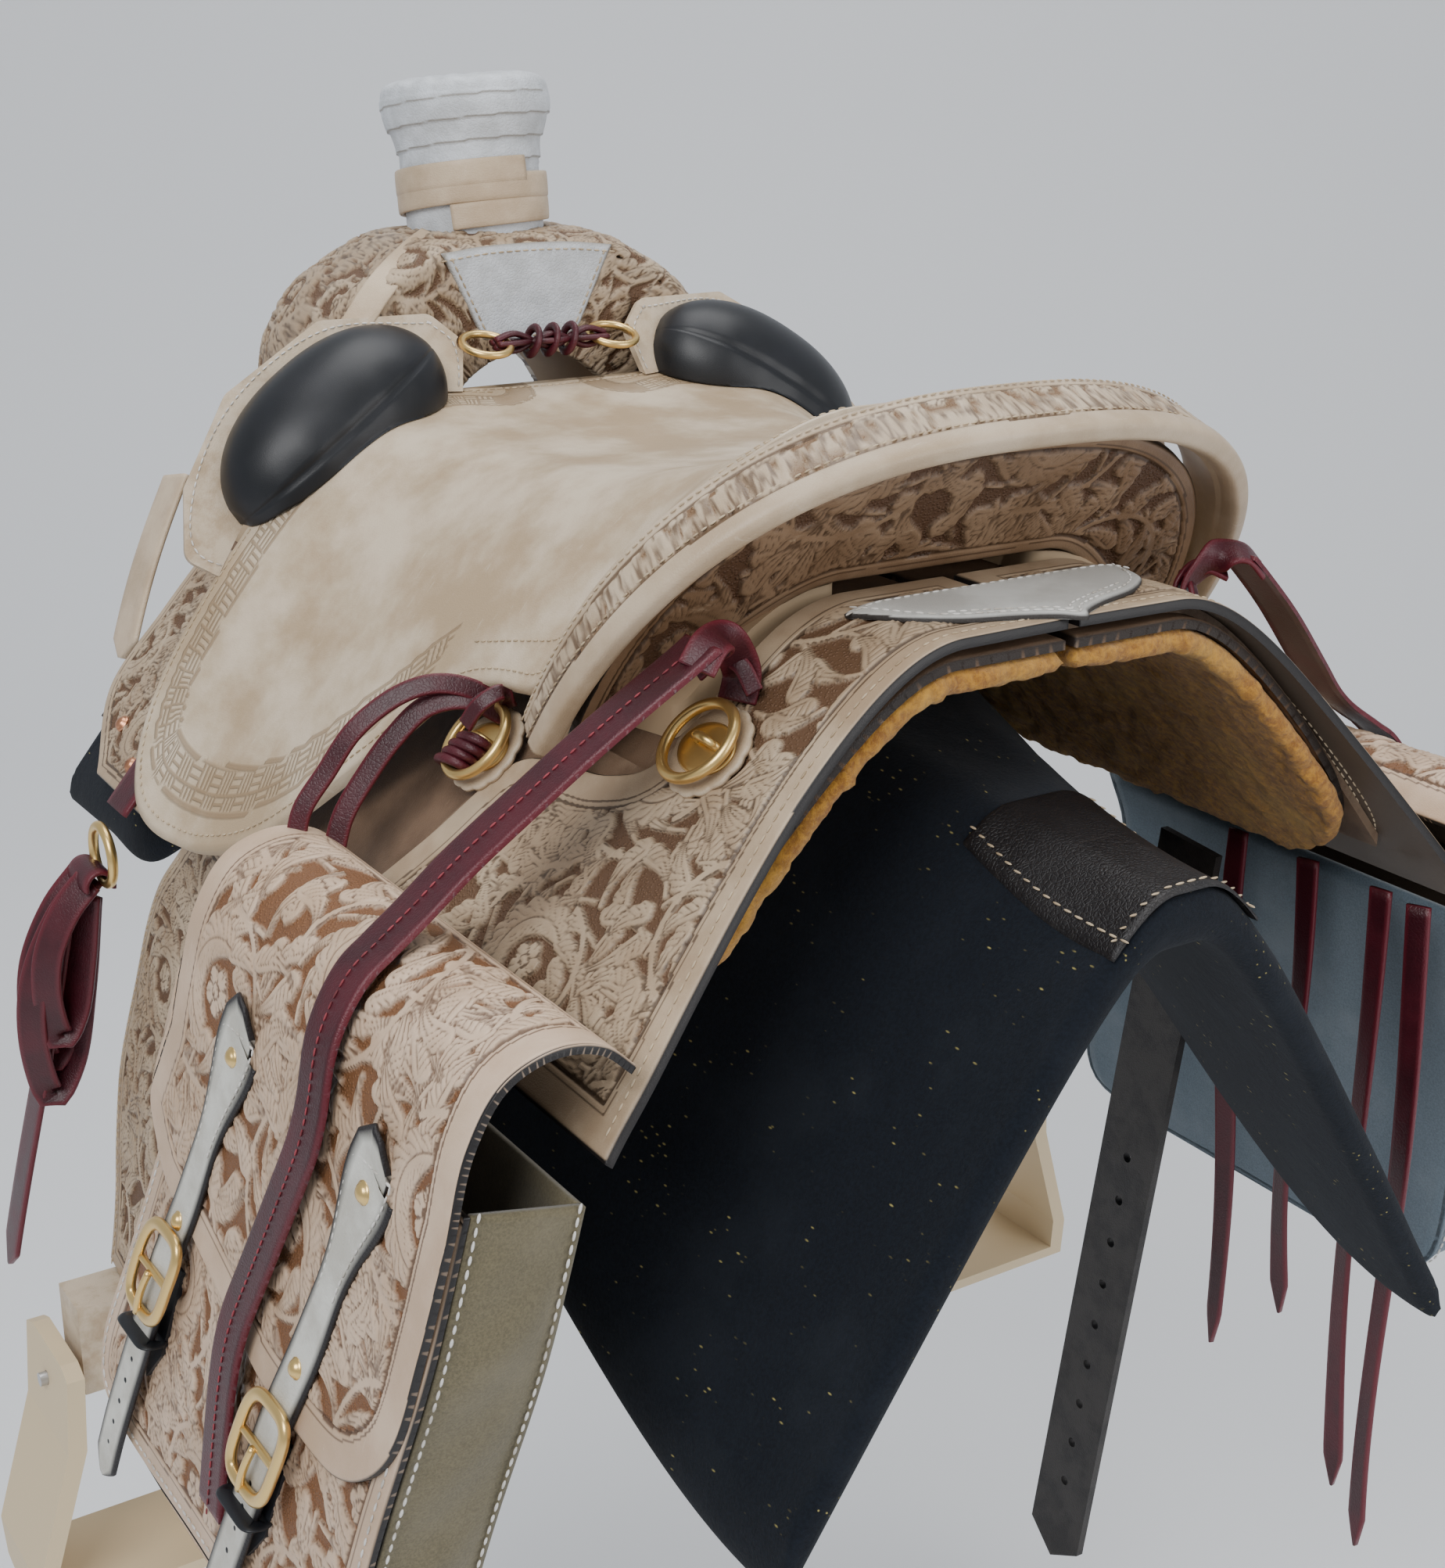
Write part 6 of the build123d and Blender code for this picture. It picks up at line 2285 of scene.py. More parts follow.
@dataclass
class BagAssembly:
    """A pair of saddlebags: soft pockets, tooled fronts and flaps, buckled straps."""

    small: Small
    depth: float = 54.0
    tilt: float = 12.0
    hinge: tuple[float, float, float] = (-240.0, -247.0, -82.0)
    lift: tuple[float, float, float] = (-14.0, 0.0, -14.0)
    edge: tuple = ((142, -38), (134, -70), (150, -130), (176, -210), (192, -262), (186, -282), (166, -290), (50, -291),
                   (-70, -290), (-90, -280), (-100, -262), (-116, -180), (-130, -110), (-134, -70), (-136, -38))

    def build(self) -> None:
        """Make both bags."""
        self.flap()
        self.body()
        self.front()
        self.straps()
        self.buckles()

    def world(self, x: Array, y: Array, z: Array) -> Array:
        """From the bag's own frame in mm to the row frame in metres.

        Args:
            x: Distance across.
            y: Distance along.
            z: Height.

        Returns:
            Points in metres.
        """
        t = math.radians(self.tilt)
        wx = x * math.cos(t) + z * math.sin(t)
        wz = -x * math.sin(t) + z * math.cos(t)
        return np.stack([self.hinge[0] + self.lift[0] + wx, self.hinge[1] + y + 0 * wx,
                         self.hinge[2] + self.lift[2] + wz], axis=-1) * MM

    def flap(self) -> None:
        """The tooled flap that folds over the bag's mouth."""
        shape = Profile(FLAP_LINE + [(-350, -262)], 2 * MM)
        top = np.array([(0.5 * MM, y * MM) for y in (-110, -160, -220, -280, -340, -384)])
        low = [(-150, -104), (-174, -94), (-196, -87), (-210, -98), (-226, -120), (-236, -160), (-248, -210),
               (-257, -250), (-259, -290), (-257, -330), (-246, -352), (-226, -368), (-180, -378), (-130, -385)]
        bottom = np.array([(shape.run(z), y * MM) for z, y in low])
        carving = Carving((0.0, -0.40), (shape.run(-262), -0.08), seed=17, scroll=60 * MM)
        obj = Panel("flap_tooling", shape.place, top, bottom, 4 * MM, 19 * MM, carving, 1.25 * MM,
                    1.2 * MM).build(FLAP_LEATHER.material())
        face_outwards(obj, 1e-7)
        put_pair(obj, "flap_tooling", "bag_flap", Slot.TOOLED, "bag_flap")

    def outline(self, count: int) -> Array:
        """The bag's edge in its own frame, from the mouth's front round to its rear."""
        return smooth_line(self.edge, count)

    def body(self) -> None:
        """Suede gusset that bulges between back and front, over a soft lining."""
        line = self.outline(220)
        ahead = np.gradient(line, axis=0)
        ahead /= np.linalg.norm(ahead, axis=1, keepdims=True)
        out = np.stack([ahead[:, 1], -ahead[:, 0]], axis=1)
        centre = line.mean(0)
        out *= np.sign(((line - centre) * out).sum(1).mean())
        depth = np.linspace(0, 50.0, 22)
        share = depth / 50.0
        run = arc_run(line)
        bulge = 5.0 * np.sin(math.pi * share) ** 0.7
        crease = 0.9 * np.sin(run[:, None] / 9.0 + 3 * share[None] * 2) * np.sin(math.pi * share)[None]
        crease += 1.4 * np.sin(run[:, None] / 23.0 + 1.3) * np.sin(math.pi * share)[None]
        flange = 2.2 * np.exp(-(share[None] / 0.06) ** 2) + 2.2 * np.exp(-((1 - share[None]) / 0.06) ** 2)
        push = bulge[None] + crease + flange - 3.0
        top_fade = np.clip(np.minimum(run, run[-1] - run) / 30.0, 0.15, 1)[:, None]
        edge = line[:, None] + out[:, None] * (push * top_fade)[..., None]
        grid = self.world(-depth[None] + 0 * push, edge[..., 0], edge[..., 1])
        lining = line[:, None] - out[:, None] * 3.2 + 0 * edge
        inside = self.world(-depth[None] + 0 * push, lining[..., 0], lining[..., 1])
        parts = [self.thick_grid("gusset", grid, inside, OLIVE_SUEDE)]
        parts.append(self.wall("bag_back", 3.0, OLIVE_SUEDE))
        left = joined(parts, "bag_pocket")
        right = mirrored(left, "bag_pocket_right")
        right.data.materials.clear()
        right.data.materials.append(GREY_SUEDE.material())
        left.name = "bag_pocket_left"
        put(left, "root", Slot.SUEDE, "bag_body_left")
        put(right, "root", Slot.SUEDE, "bag_body_right")
        rows = []
        ups = []
        for x in (-3.0, -47.5):
            place = line + out * 0.9
            rows.append(self.world(np.full(len(line), x), place[:, 0], place[:, 1]))
            beyond = line + out * 10.9
            ups.append((self.world(np.full(len(line), x), beyond[:, 0], beyond[:, 1]) - rows[-1]) * 100)
        seam = self.small.stitches("gusset_stitches", rows, ups, WHITE_THREAD, 6.0 * MM, 1.5 * MM)
        put_pair(seam, "gusset_stitches", "root", Slot.SUEDE)

    @staticmethod
    def thick_grid(name: str, outer: Array, inner: Array, finish: Finish) -> bpy.types.Object:
        """A closed sheet between two grids of points.

        Args:
            name: Object name.
            outer: Outer grid of points.
            inner: Inner grid of points.
            finish: Finish.

        Returns:
            The closed sheet.
        """
        rows, columns = outer.shape[:2]
        count = rows * columns
        faces = grid_faces(rows, columns)
        rim = rim_loop(rows, columns)
        nexts = np.roll(rim, -1)
        walls = np.stack([rim, rim + count, nexts + count, nexts], axis=1)
        verts = np.concatenate([outer.reshape(-1, 3), inner.reshape(-1, 3)])
        return face_outwards(mesh_object(name, verts, np.concatenate([faces, faces[:, ::-1] + count, walls]),
                                         finish.material()))

    def wall(self, name: str, thick: float, finish: Finish) -> bpy.types.Object:
        """The flat back of the bag.

        Args:
            name: Object name.
            thick: Thickness.
            finish: Finish.

        Returns:
            The wall.
        """
        line = self.outline(90)
        near, far = line[:45], line[::-1][:45]
        share = np.linspace(0, 1, 30)[:, None, None]
        grid = near[None] * (1 - share) + far[None] * share
        outer = self.world(np.full(grid.shape[:2], -thick), grid[..., 0], grid[..., 1])
        inner = self.world(np.full(grid.shape[:2], 0.0), grid[..., 0], grid[..., 1])
        return self.thick_grid(name, outer, inner, finish)

    def front(self) -> None:
        """The tooled front with its white-stitched border."""

        def surface(a: Array, b: Array, lift: Array) -> Array:
            """Points of this surface from flat coordinates and a lift."""
            swell = (3.0 * np.sin(math.pi * np.clip((b + 0.29) / 0.25, 0, 1))
                     * np.cos(math.pi * np.clip(a / 0.34, -0.5, 0.5)))
            return self.world(-self.depth - lift * 1000 - swell, a * 1000, b * 1000)

        line = self.outline(90) * MM
        near = line[:46]
        far = line[::-1][:46]
        carving = Carving((-0.15, -0.30), (0.20, -0.02), seed=23, scroll=50 * MM)
        obj = Panel("bag_front_tooling", surface, near, far, 3.4 * MM, 15 * MM, carving, 1.1 * MM,
                    1.2 * MM).build(FLAP_LEATHER.material())
        face_outwards(obj, 1e-7)
        put_pair(obj, "bag_front_tooling", "root", Slot.TOOLED, "bag_front")
        border = self.outline(160) * MM
        rows = [inset(border, 5.5 * MM, (0.02, -0.16))]
        seam = SeamLine(surface, rows).lay(self.small, "bag_front_stitches", WHITE_THREAD, 6.0 * MM, 1.5 * MM)
        put_pair(seam, "bag_front_stitches", "root", Slot.TOOLED)

    def straps(self) -> None:
        """White straps with black edges, stitched pointed tops, rivets and holes."""
        shape = Profile(TAIL_LINE, 3.8 * MM)
        parts, holes, seams = [], [], []
        for row, end in ((-195, -396), (-334, -390)):
            def middle(z: Array) -> Array:
                """Flat points on the strap's middle line at heights."""
                a = np.array([shape.run(v) for v in z])
                y = (row + (-104 - z) * 0.36) * MM
                return np.stack([a, y], axis=1)

            heights = np.concatenate([np.linspace(-93, -104, 8), np.linspace(-108, end + 12, 120),
                                      np.linspace(end + 10, end, 8)])
            flat = middle(np.maximum(heights, -455))
            line = shape.place(flat[:, 0], flat[:, 1], np.full(len(flat), 0.0))
            drop = heights[0] - heights
            leaf = 1 + 0.72 * np.exp(-((drop - 40) / 27) ** 2) - 0.12 * np.exp(-((drop - 92) / 22) ** 2)
            ends = np.clip(np.minimum((drop + 2.2) / 17, (heights - end + 1.5) / 11), 0.10, 1) ** 0.8
            widths = 23.5 * leaf * ends
            parts.append(strap_along("strap", line, np.tile([0.0, 1.0, 0.2], (len(line), 1)), widths * MM, 3 * MM,
                                     WHITE_STRAP))
            for side in (-1, 1):
                keep = (heights < -100) & (heights > -190)
                rowed = flat[keep]
                off = side * (widths[keep] / 2 - 3.4)
                seams.append(np.stack([rowed[:, 0], rowed[:, 1] + off * MM], axis=1))
            at = np.array([end + 22 + 14.0 * k for k in range(6)])
            spots = middle(at)
            holes += [(spot, shape) for spot in spots]
        left = joined(parts, "bag_strap_leather")
        put_pair(left, "bag_strap_leather", "bag_flap", Slot.STRAP, "bag_straps")
        seam = SeamLine(shape.place, seams, 1.6 * MM).lay(self.small, "bag_strap_stitches", WHITE_THREAD,
                                                          5.0 * MM, 1.3 * MM)
        put_pair(seam, "bag_strap_stitches", "bag_flap", Slot.STRAP)
        spots = np.array([spot for spot, _ in holes])
        at = shape.place(spots[:, 0], spots[:, 1], np.full(len(spots), 0.35 * MM))
        dark = self.small.rivets("bag_strap_holes", at, surface_normals(shape.place, spots), 2.5 * MM, BLACK)
        put_pair(dark, "bag_strap_holes", "bag_flap", Slot.BLACK)
        rivets = []
        for row in (-195, -334):
            for z in (-138, -232):
                rivets.append((shape.run(z), (row + (-104 - z) * 0.36) * MM))
        spots = np.array(rivets)
        at = shape.place(spots[:, 0], spots[:, 1], np.full(len(spots), 1.5 * MM))
        studs = self.small.rivets("bag_strap_rivets", at, surface_normals(shape.place, spots), 5.0 * MM, BRASS)
        put_pair(studs, "bag_strap_rivets", "bag_flap", Slot.BRASS)

    def buckles(self) -> None:
        """Brass centre-bar buckles with tongues, and a black keeper under each."""
        shape = Profile(TAIL_LINE, 8.0 * MM)
        parts, keepers = [], []
        for row, high in ((-195, -262), (-334, -276)):
            centre = np.array([shape.run(high), (row + (-104 - high) * 0.36) * MM])
            turn = np.linspace(0, 2 * math.pi, 60, endpoint=False)
            a = np.sign(np.cos(turn)) * np.abs(np.cos(turn)) ** 0.55 * 24.0 * MM
            b = np.sign(np.sin(turn)) * np.abs(np.sin(turn)) ** 0.55 * 19.4 * MM
            loop = shape.place(centre[0] + a, centre[1] + b + a * 0.36, np.full(60, 0.3 * MM))
            parts.append(tube(loop, 3.3 * MM, BRASS.material(), "frame", closed=True, flat=0.75, up=(-1, 0, 0.2)))
            bar = shape.place(np.full(8, centre[0]), centre[1] + np.linspace(-18.5, 18.5, 8) * MM, np.full(8,
                                                                                                           -0.5 * MM))
            parts.append(tube(bar, 1.9 * MM, BRASS.material(), "bar", up=(-1, 0, 0.2)))
            tip = np.linspace(0, 1, 14)
            tongue = shape.place(centre[0] + tip * 25 * MM, centre[1] + tip * 25 * 0.36 * MM,
                                 (1.8 + 1.1 * np.sin(tip * math.pi)) * MM)
            parts.append(tube(tongue, 1.9 * MM, BRASS.material(), "tongue", up=(-1, 0, 0.2)))
            for drop in (38.0,):
                turn = np.linspace(0, 2 * math.pi, 40, endpoint=False)
                y = 14.5 * np.sign(np.cos(turn)) * np.abs(np.cos(turn)) ** 0.3
                lift = 3.4 * np.sign(np.sin(turn)) * np.abs(np.sin(turn)) ** 0.3 - 4.0
                base = np.full(40, centre[0] + drop * MM)
                ring = shape.place(base, centre[1] + (y + drop * 0.36) * MM, lift * MM)
                keepers.append(tube(ring, 4.6 * MM, BLACK.material(), "keeper", closed=True, flat=0.26,
                                    up=np.array([0, 0, 1.0])))
        put_pair(joined(parts, "bag_buckle_brass"), "bag_buckle_brass", "bag_flap", Slot.BRASS, "bag_buckles")
        put_pair(joined(keepers, "bag_keepers"), "bag_keepers", "bag_flap", Slot.BLACK)


# --------------------------------------------------------------------------- straps, rings, fenders


@dataclass
class StrapAssembly:
    """Long maroon tie straps, rosettes, strings, latigos, the keeper and the rigging tugs."""

    small: Small
    rng: np.random.Generator = field(default_factory=lambda: np.random.default_rng(9))

    def build(self) -> None:
        """Make every strap and fitting."""
        self.tie_straps()
        self.rosettes()
        self.strings()
        self.latigos()
        self.keeper()
        self.side_latigo()

    def tie_straps(self) -> None:
        """The wide strap over the flap, with a seam down its middle."""
        line = [(-152, 54), (-196, 19), (-236, -17), (-268, -46), (-290, -61)]
        line += [(x - 7.5, z + 1.5) for x, z in FLAP_LINE[3:]] + [(-356, -262), (-366, -340)]
        shape = Profile(line, 3.0 * MM)
        heights = shape.fine[:, 1]
        left = np.interp(heights, [-336, -240, -130, -40, 70], [-234, -242, -288, -276, -314])
        right = np.interp(heights, [-336, -240, -130, -40, 70], [-210, -216, -262, -248, -288])
        wave = smooth_line(np.stack([shape.reach, left * MM, right * MM], 1)[::12], 120)
        for column in (1, 2):
            kernel = np.ones(9) / 9
            padded = np.pad(wave[:, column], 4, mode="edge")
            wave[:, column] = np.convolve(padded, kernel, mode="valid")
        near, far = wave[:, [0, 1]], wave[:, [0, 2]]
        obj = Panel("tie_leather", shape.place, near, far, 3 * MM, spacing=1.7 * MM).build(LATIGO.material())
        face_outwards(obj, 1e-7)
        put_pair(obj, "tie_leather", "tie_strap", Slot.LATIGO, "tie_strap")
        seam = SeamLine(shape.place, [near * 0.52 + far * 0.48]).lay(self.small, "tie_stitches", RED_THREAD, 5.0 * MM)
        put_pair(seam, "tie_stitches", "tie_strap", Slot.LATIGO)
        folds = [self.ribbon("fold", [(-162, -303, 47), (-153, -300, 56), (-144, -295, 56), (-134, -289, 47),
                                      (-128, -286, 35), (-131, -287, 24)], 17.0),
                 self.ribbon("fold", [(-150, -292, 44), (-140, -286, 48), (-130, -281, 40), (-126, -279, 28)], 10.0),
                 self.ribbon("fold", [(-128, -296, 30), (-131, -288, 41), (-136, -278, 42), (-141, -271, 34)], 8.0)]
        put_pair(joined(folds, "tie_fold"), "tie_fold", "tie_strap", Slot.LATIGO)

    def rosettes(self) -> None:
        """Scalloped leather rosettes under domed oval plates."""
        surface = side_surface(9.9 * MM)
        leathers, plates = [], []
        for x, y in ((-172, -150), (-140, -292)):
            spot = plan([(x, y)])[0]
            turn = np.linspace(0, 2 * math.pi, 140, endpoint=False)
            for radius, finish, bag, high, scallop, tall in ((21.5, PLAIN, leathers, 2.6, 1.0, 1.0),
                                                             (12.5, BRASS, plates, 4.4, 0.0, 1.42)):
                levels = [(0.0, 1.0), (0.8, 1.0), (1.0, 0.94), (1.08, 0.8), (1.2, 0.4), (1.24, 0.02)]
                verts = []
                for up, size in levels:
                    edge = radius * (1 + 0.05 * scallop * np.abs(np.sin(turn * 7)) * size) * size
                    a = spot[0] + edge * np.cos(turn) * MM
                    b = spot[1] + edge * tall * np.sin(turn) * MM
                    base = 0.0 if scallop else 2.5
                    verts.append(surface(a, b, np.full(140, (base + (high - base) * up) * MM)))
                count = 140
                faces = []
                for i in range(len(levels) - 1):
                    for j in range(count):
                        k = (j + 1) % count
                        faces.append((i * count + j, i * count + k, (i + 1) * count + k, (i + 1) * count + j))
                faces.append(tuple(range(count))[::-1])
                faces.append(tuple((len(levels) - 1) * count + j for j in range(count)))
                obj = face_outwards(mesh_object("disc", np.concatenate(verts), faces, finish.material()))
                bag.append(obj)
            turn = np.linspace(-0.3, math.pi + 0.3, 20)
            loop = surface(spot[0] - 2 * MM + 0 * turn, spot[1] + 7 * np.cos(turn) * MM, (4.2 + 6 * np.sin(turn)) * MM)
            plates.append(tube(loop, 2.2 * MM, BRASS.material(), "staple"))
        rosette = joined(leathers, "ring_rosettes")
        plate = joined(plates, "ring_brass_plates")
        put_pair(rosette, "ring_rosettes", "root", Slot.PLAIN)
        put_pair(plate, "ring_brass_plates", "root", Slot.BRASS)
        for side in Side:
            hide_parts("ring_plates")

    def strings(self) -> None:
        """Knotted strings at the rings, and the long strings on the off side."""
        surface = side_surface(9.9 * MM)
        parts = []
        for route, wide in (([(-172, -149, -10), (-184, -143, 0), (-199, -135, 3), (-215, -128, -2), (-235, -122, -17),
                              (-249, -118, -37), (-261, -116, -54), (-266, -117, -70)], 10.0),
                            ([(-172, -151, -12), (-186, -144, -4), (-203, -133, -8), (-218, -128, -22),
                              (-232, -125, -40), (-244, -124, -58), (-250, -125, -74)], 11.0),
                            ([(-170, -153, -8), (-178, -160, 2), (-188, -158, -3), (-192, -151, -14)], 8.0)):
            parts.append(self.ribbon("string", route, wide))
        for x, y in ((-172, -150),):
            spot = plan([(x, y)])[0]
            for k in range(4):
                turn = np.linspace(0, 2 * math.pi, 24, endpoint=False)
                a = spot[0] + (1 + 4.6 * k + 1.5 * np.cos(turn)) * MM
                b = spot[1] + (1.5 * k + (8.0 + (k % 2)) * np.cos(turn)) * MM
                parts.append(tube(surface(a, b, (9.5 + 5.6 * np.sin(turn)) * MM), 3.0 * MM, LATIGO.material(),
                                  f"knot_{k}", closed=True, flat=0.8))
        put_pair(joined(parts, "ring_strings"), "ring_strings", "root", Slot.LATIGO)
        long = []
        for y, low in ((-372.0, -512.0), (-346.0, -486.0), (-296.0, -400.0), (-248.0, -446.0)):
            t = np.linspace(0, 1, 60)
            top, foot = np.array([238.0, y + 12, -124.0]), np.array([242.0, y, low])
            line = top + (foot - top) * t[:, None]
            line[:, 0] += 2.0 * np.sin(t * 7 + y)
            line[:, 1] += 2.5 * np.sin(t * 5 + 2 * y)
            across = np.stack([0.3 * np.sin(t * 4 + y), np.cos(0.4 * np.sin(t * 3 + y)), 0 * t], 1)
            long.append(strap_along("long_string", line * MM, across, 13 * MM, 3 * MM, LATIGO, point=22 * MM))
        put(joined(long, "off_side_strings"), "root", Slot.LATIGO, "saddle_strings")

    @staticmethod
    def ribbon(name: str, route: Sequence, wide: float, thick: float = 2.6, point: float = 0.0) -> bpy.types.Object:
        """A maroon thong through points in mm, its broad side turned outwards and back."""
        line = smooth_line(route, 60) * MM
        across = np.cross(np.gradient(line, axis=0), (-0.55, -0.62, 0.55))
        return strap_along(name, line, across, wide * MM, thick * MM, LATIGO, point=point * MM)

    def latigos(self) -> None:
        """Latigo straps that hang from the rigging rings in a long fold."""
        top, foot = np.array([-292.0, 160.0, -184.0]), np.array([-338.0, 202.0, -440.0])
        t = np.linspace(0, 1, 90)[:, None]
        parts = []
        for off, end, sway in ((2.6, 1.0, 0.0),):
            line = top + (foot - top) * t * end
            line[:, 0] += -off + 1.6 * np.sin(t[:, 0] * 5 + sway)
            line[:, 1] += 2.0 * np.sin(t[:, 0] * 4 + sway) + 1.5 * off
            parts.append(strap_along("latigo_run", line * MM, np.tile([0.1, 1.0, 0.16], (90, 1)), 30 * MM, 3.4 * MM,
                                     LATIGO, point=16 * MM))
        turn = np.linspace(-0.2, math.pi + 0.2, 24)
        line = np.stack([-283 - 5 * np.cos(turn) * 1.6, 156 + 0 * turn, -178 + 9 * np.sin(turn)], 1)
        parts.append(strap_along("latigo_turn", line * MM, np.tile([0, 1.0, 0], (24, 1)), 34 * MM, 3.2 * MM, LATIGO))
        for k, (size, shift) in enumerate(((1.0, 0.0), (0.86, 9.0), (0.70, -7.0))):
            loop = np.array([(-283, 157, -176), (-303, 160, -200), (-320, 165, -240), (-322, 170, -285),
                             (-313, 174, -318),
                             (-300, 176, -300), (-290, 172, -250), (-284, 164, -190)], float)
            loop = loop[0] + (loop - loop[0]) * size
            loop[:, 1] += shift
            loop[:, 0] -= 2.0 * k
            parts.append(self.ribbon(f"latigo_loop_{k}", loop, 19.0, 3.2))
        put_pair(joined(parts, "latigo_folds"), "latigo_folds", "latigo", Slot.LATIGO, "latigo")

    def keeper(self) -> None:
        """The tan slotted keeper on the near side."""
        top, foot = np.array([-216.0, 152.0, 52.0]), np.array([-262.0, 132.0, -42.0])
        t = np.linspace(0, 1, 50)[:, None]
        line = top + (foot - top) * t
        line[:, 0] -= 3.0 * np.sin(t[:, 0] * math.pi)
        obj = strap_along("keeper_leather", line * MM, np.tile([0, 1.0, -0.2], (50, 1)), 38 * MM, 3.8 * MM, TAN_STRAP,
                          point=12 * MM)
        put(obj, "root", Slot.STRAP, "latigo_keeper")

    def side_latigo(self) -> None:
        """Rigging rings stay as built; the straps that hold them are laid here."""
        surface = side_surface(4.3 * MM)
        flat = plan([(-200, 150), (-232, 150), (-262, 150)])
        fine = smooth_line(flat, 30)
        line = surface(fine[:, 0], fine[:, 1], np.full(30, 2.0 * MM))
        obj = strap_along("rigging_tug", line, np.tile([0, 1.0, 0], (30, 1)), 30 * MM, 3.4 * MM, LATIGO)
        put_pair(obj, "rigging_tug", "root", Slot.LATIGO)


RED_THREAD = Thread("thread_red", (0.32, 0.045, 0.06), (0.12, 0.015, 0.02), (0.4, 0.1, 0.1))


@dataclass
class FenderAssembly:
    """Tooled fenders with their stitching; the stirrups keep their built shape."""

    small: Small

    def build(self) -> None:
        """Make both fenders."""
        top, foot = np.array([-247.0, 22.0, -122.0]), np.array([-316.0, 72.0, -425.0])
        down = (foot - top) / np.linalg.norm(foot - top)
        forward = np.array([0, 1.0, 0]) - down * down[1]
        forward /= np.linalg.norm(forward)
        out = np.cross(forward, down)
        if out[0] > 0:
            out = -out
        long = float(np.linalg.norm(foot - top))

        def surface(a: Array, b: Array, lift: Array) -> Array:
            """Points of this surface from flat coordinates and a lift."""
            curl = -14.0 * (a / 0.094) ** 2 * np.sin(math.pi * np.clip(b * 1000 / long, 0, 1)) * 0.5
            return (top + forward * (a[..., None] * 1000) + down * (b[..., None] * 1000)
                    + out * (2.5 + curl + lift * 1000)[..., None]) * MM

        rows = [(-40, 0), (-62, 34), (-84, 66), (-94, 96), (-95, 130), (-90, 185), (-66, 222), (-46, 248), (-34, 272),
                (-30, long - 30)]
        near = np.array(rows) * MM
        far = near * (-1, 1)
        carving = Carving((-0.10, -0.01), (0.10, long * MM), seed=41, scroll=46 * MM)
        obj = Panel("fender_tooling", surface, near, far, 5 * MM, 11 * MM, carving, 1.1 * MM,
                    1.25 * MM).build(YOKE_LEATHER.material())
        face_outwards(obj, 1e-7)
        put_pair(obj, "fender_tooling", "fender", Slot.TOOLED, "fender")
        rows = [inset(near[1:], 4.5 * MM, (0, 0.15)), inset(far[1:], 4.5 * MM, (0, 0.15))]
        seam = SeamLine(surface, rows).lay(self.small, "fender_stitches", CREAM_THREAD)
        put_pair(seam, "fender_stitches", "fender", Slot.TOOLED)


# --------------------------------------------------------------------------- studio


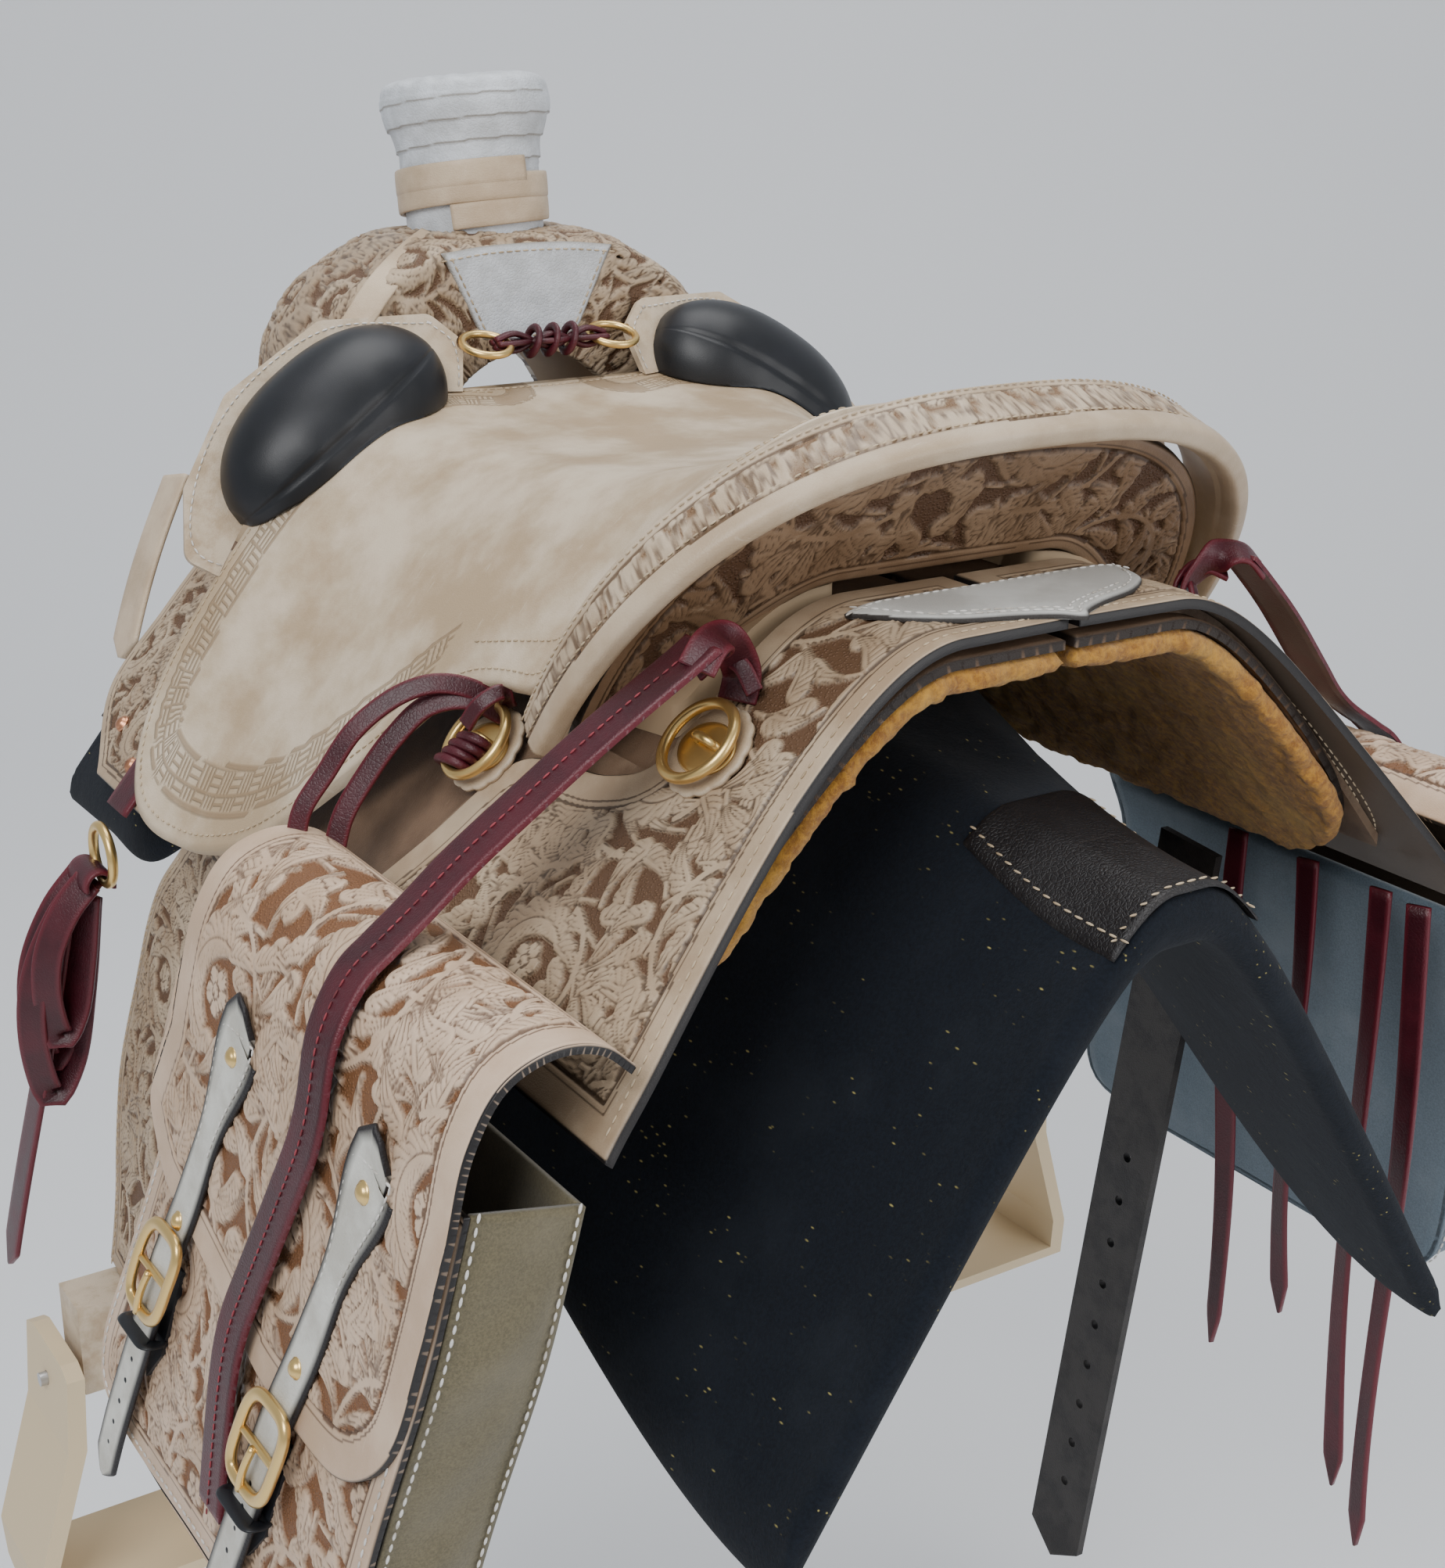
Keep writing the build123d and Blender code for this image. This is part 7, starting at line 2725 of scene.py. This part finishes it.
class Studio:
    """Pale floor, soft light and the camera."""

    def build(self) -> None:
        """Set up the floor, lamps, world and camera."""
        self.floor()
        self.lights()
        self.camera()

    def floor(self) -> None:
        """A wide pale floor that curves up into a wall."""
        line = smooth_line([(3.0, -0.9), (1.0, -0.9), (-1.5, -0.9), (-2.6, -0.7), (-3.1, -0.1), (-3.2, 2.2)], 60)
        far = np.array([0.507, 0.790])
        side = np.array([0.843, -0.538])
        verts = []
        for along, high in line:
            for across in (-4.5, 4.5):
                spot = -far * along + side * across
                verts.append((spot[0], spot[1], high))
        obj = mesh_object("studio_floor", np.array(verts), grid_faces(len(line), 2), self.paper())

    @staticmethod
    def paper() -> bpy.types.Material:
        """Matt pale paper.

        Returns:
            The material.
        """
        made = bpy.data.materials.new("studio_paper")
        made.use_nodes = True
        made.node_tree.nodes.clear()
        g = Graph(made.node_tree)
        where = g.add("ShaderNodeTexCoord").outputs["Object"]
        tone = g.mix(g.noise(where, 2.0, 2.0), (0.80, 0.81, 0.83), (0.84, 0.85, 0.86))
        shader = g.add("ShaderNodeBsdfPrincipled", {"Base Color": tone, "Roughness": 0.9})
        out = g.add("ShaderNodeOutputMaterial")
        made.node_tree.links.new(shader.outputs[0], out.inputs["Surface"])
        return made

    @staticmethod
    def lights() -> None:
        """A large soft key from the upper left, a fill and a pale world."""
        for name, place, size, power, aim in (
                ("key", (-1.9, -1.4, 1.9), 1.5, 62.0, (0, -0.05, -0.1)),
                ("top", (0.3, 0.3, 2.2), 1.6, 34.0, (0, -0.05, 0)),
                ("fill", (1.0, -2.4, 0.7), 1.6, 26.0, (0, -0.1, -0.2))):
            lamp = bpy.data.lights.new(name, "AREA")
            lamp.energy, lamp.size = power, size
            obj = bpy.data.objects.new(name, lamp)
            obj.location = place
            obj.rotation_euler = (Vector(aim) - Vector(place)).to_track_quat("-Z", "Y").to_euler()
            bpy.context.scene.collection.objects.link(obj)
        world = bpy.data.worlds.new("studio")
        world.use_nodes = True
        world.node_tree.nodes["Background"].inputs[0].default_value = (0.86, 0.9, 0.96, 1)
        world.node_tree.nodes["Background"].inputs[1].default_value = 0.55
        bpy.context.scene.world = world

    @staticmethod
    def camera() -> None:
        """The camera, from behind the near side."""
        lens = bpy.data.cameras.new("camera")
        lens.sensor_width = 36.0
        lens.sensor_fit = "HORIZONTAL"
        lens.lens = 55.27
        lens.shift_x, lens.shift_y = 0.0168, 0.0179
        lens.clip_start = 0.02
        obj = bpy.data.objects.new("camera", lens)
        axes = (Vector((0.843, -0.538, 0.008)), Vector((0.180, 0.295, 0.938)), Vector((-0.507, -0.790, 0.345)))
        turn = Matrix(axes).transposed().to_4x4()
        obj.matrix_world = Matrix.Translation((-0.6322, -1.0372, 0.3064)) @ turn
        bpy.context.scene.collection.objects.link(obj)
        bpy.context.scene.camera = obj


NODE_FINISHES: dict[str, Finish] = {
    "bag_chapes": BLACK, "latigo_keeper": TAN_STRAP, "horn_core": WOOD, "roll_backings": PLAIN,
}


def finish_nodes() -> None:
    """Give every CAD node that stays the finish of its slot."""
    for name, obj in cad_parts.items():
        objects = obj if isinstance(obj, (list, tuple)) else [obj]
        for piece in objects:
            if piece.type != "MESH":
                continue
            for holder in piece.material_slots:
                word = holder.material.name.split(".")[0] if holder.material else ""
                known = [slot for slot in Slot if slot.value == word]
                finish = NODE_FINISHES.get(name) or (FINISHES[known[0]] if known else None)
                if finish is None:
                    LOG.warning("no finish for %s (%s)", name, word)
                    continue
                holder.material = finish.material()


def main() -> None:
    """Build the whole saddle."""
    logging.basicConfig(level=logging.INFO, format="%(asctime)s %(message)s")
    Studio().build()
    finish_nodes()
    small = Small()
    for assembly in (SideLeathers(small), PadAssembly(small), SeatAssembly(small), ForkAssembly(small),
                     BagAssembly(small), StrapAssembly(small), FenderAssembly(small)):
        LOG.info("building %s", type(assembly).__name__)
        assembly.build()


if __name__ == "__main__":
    main()
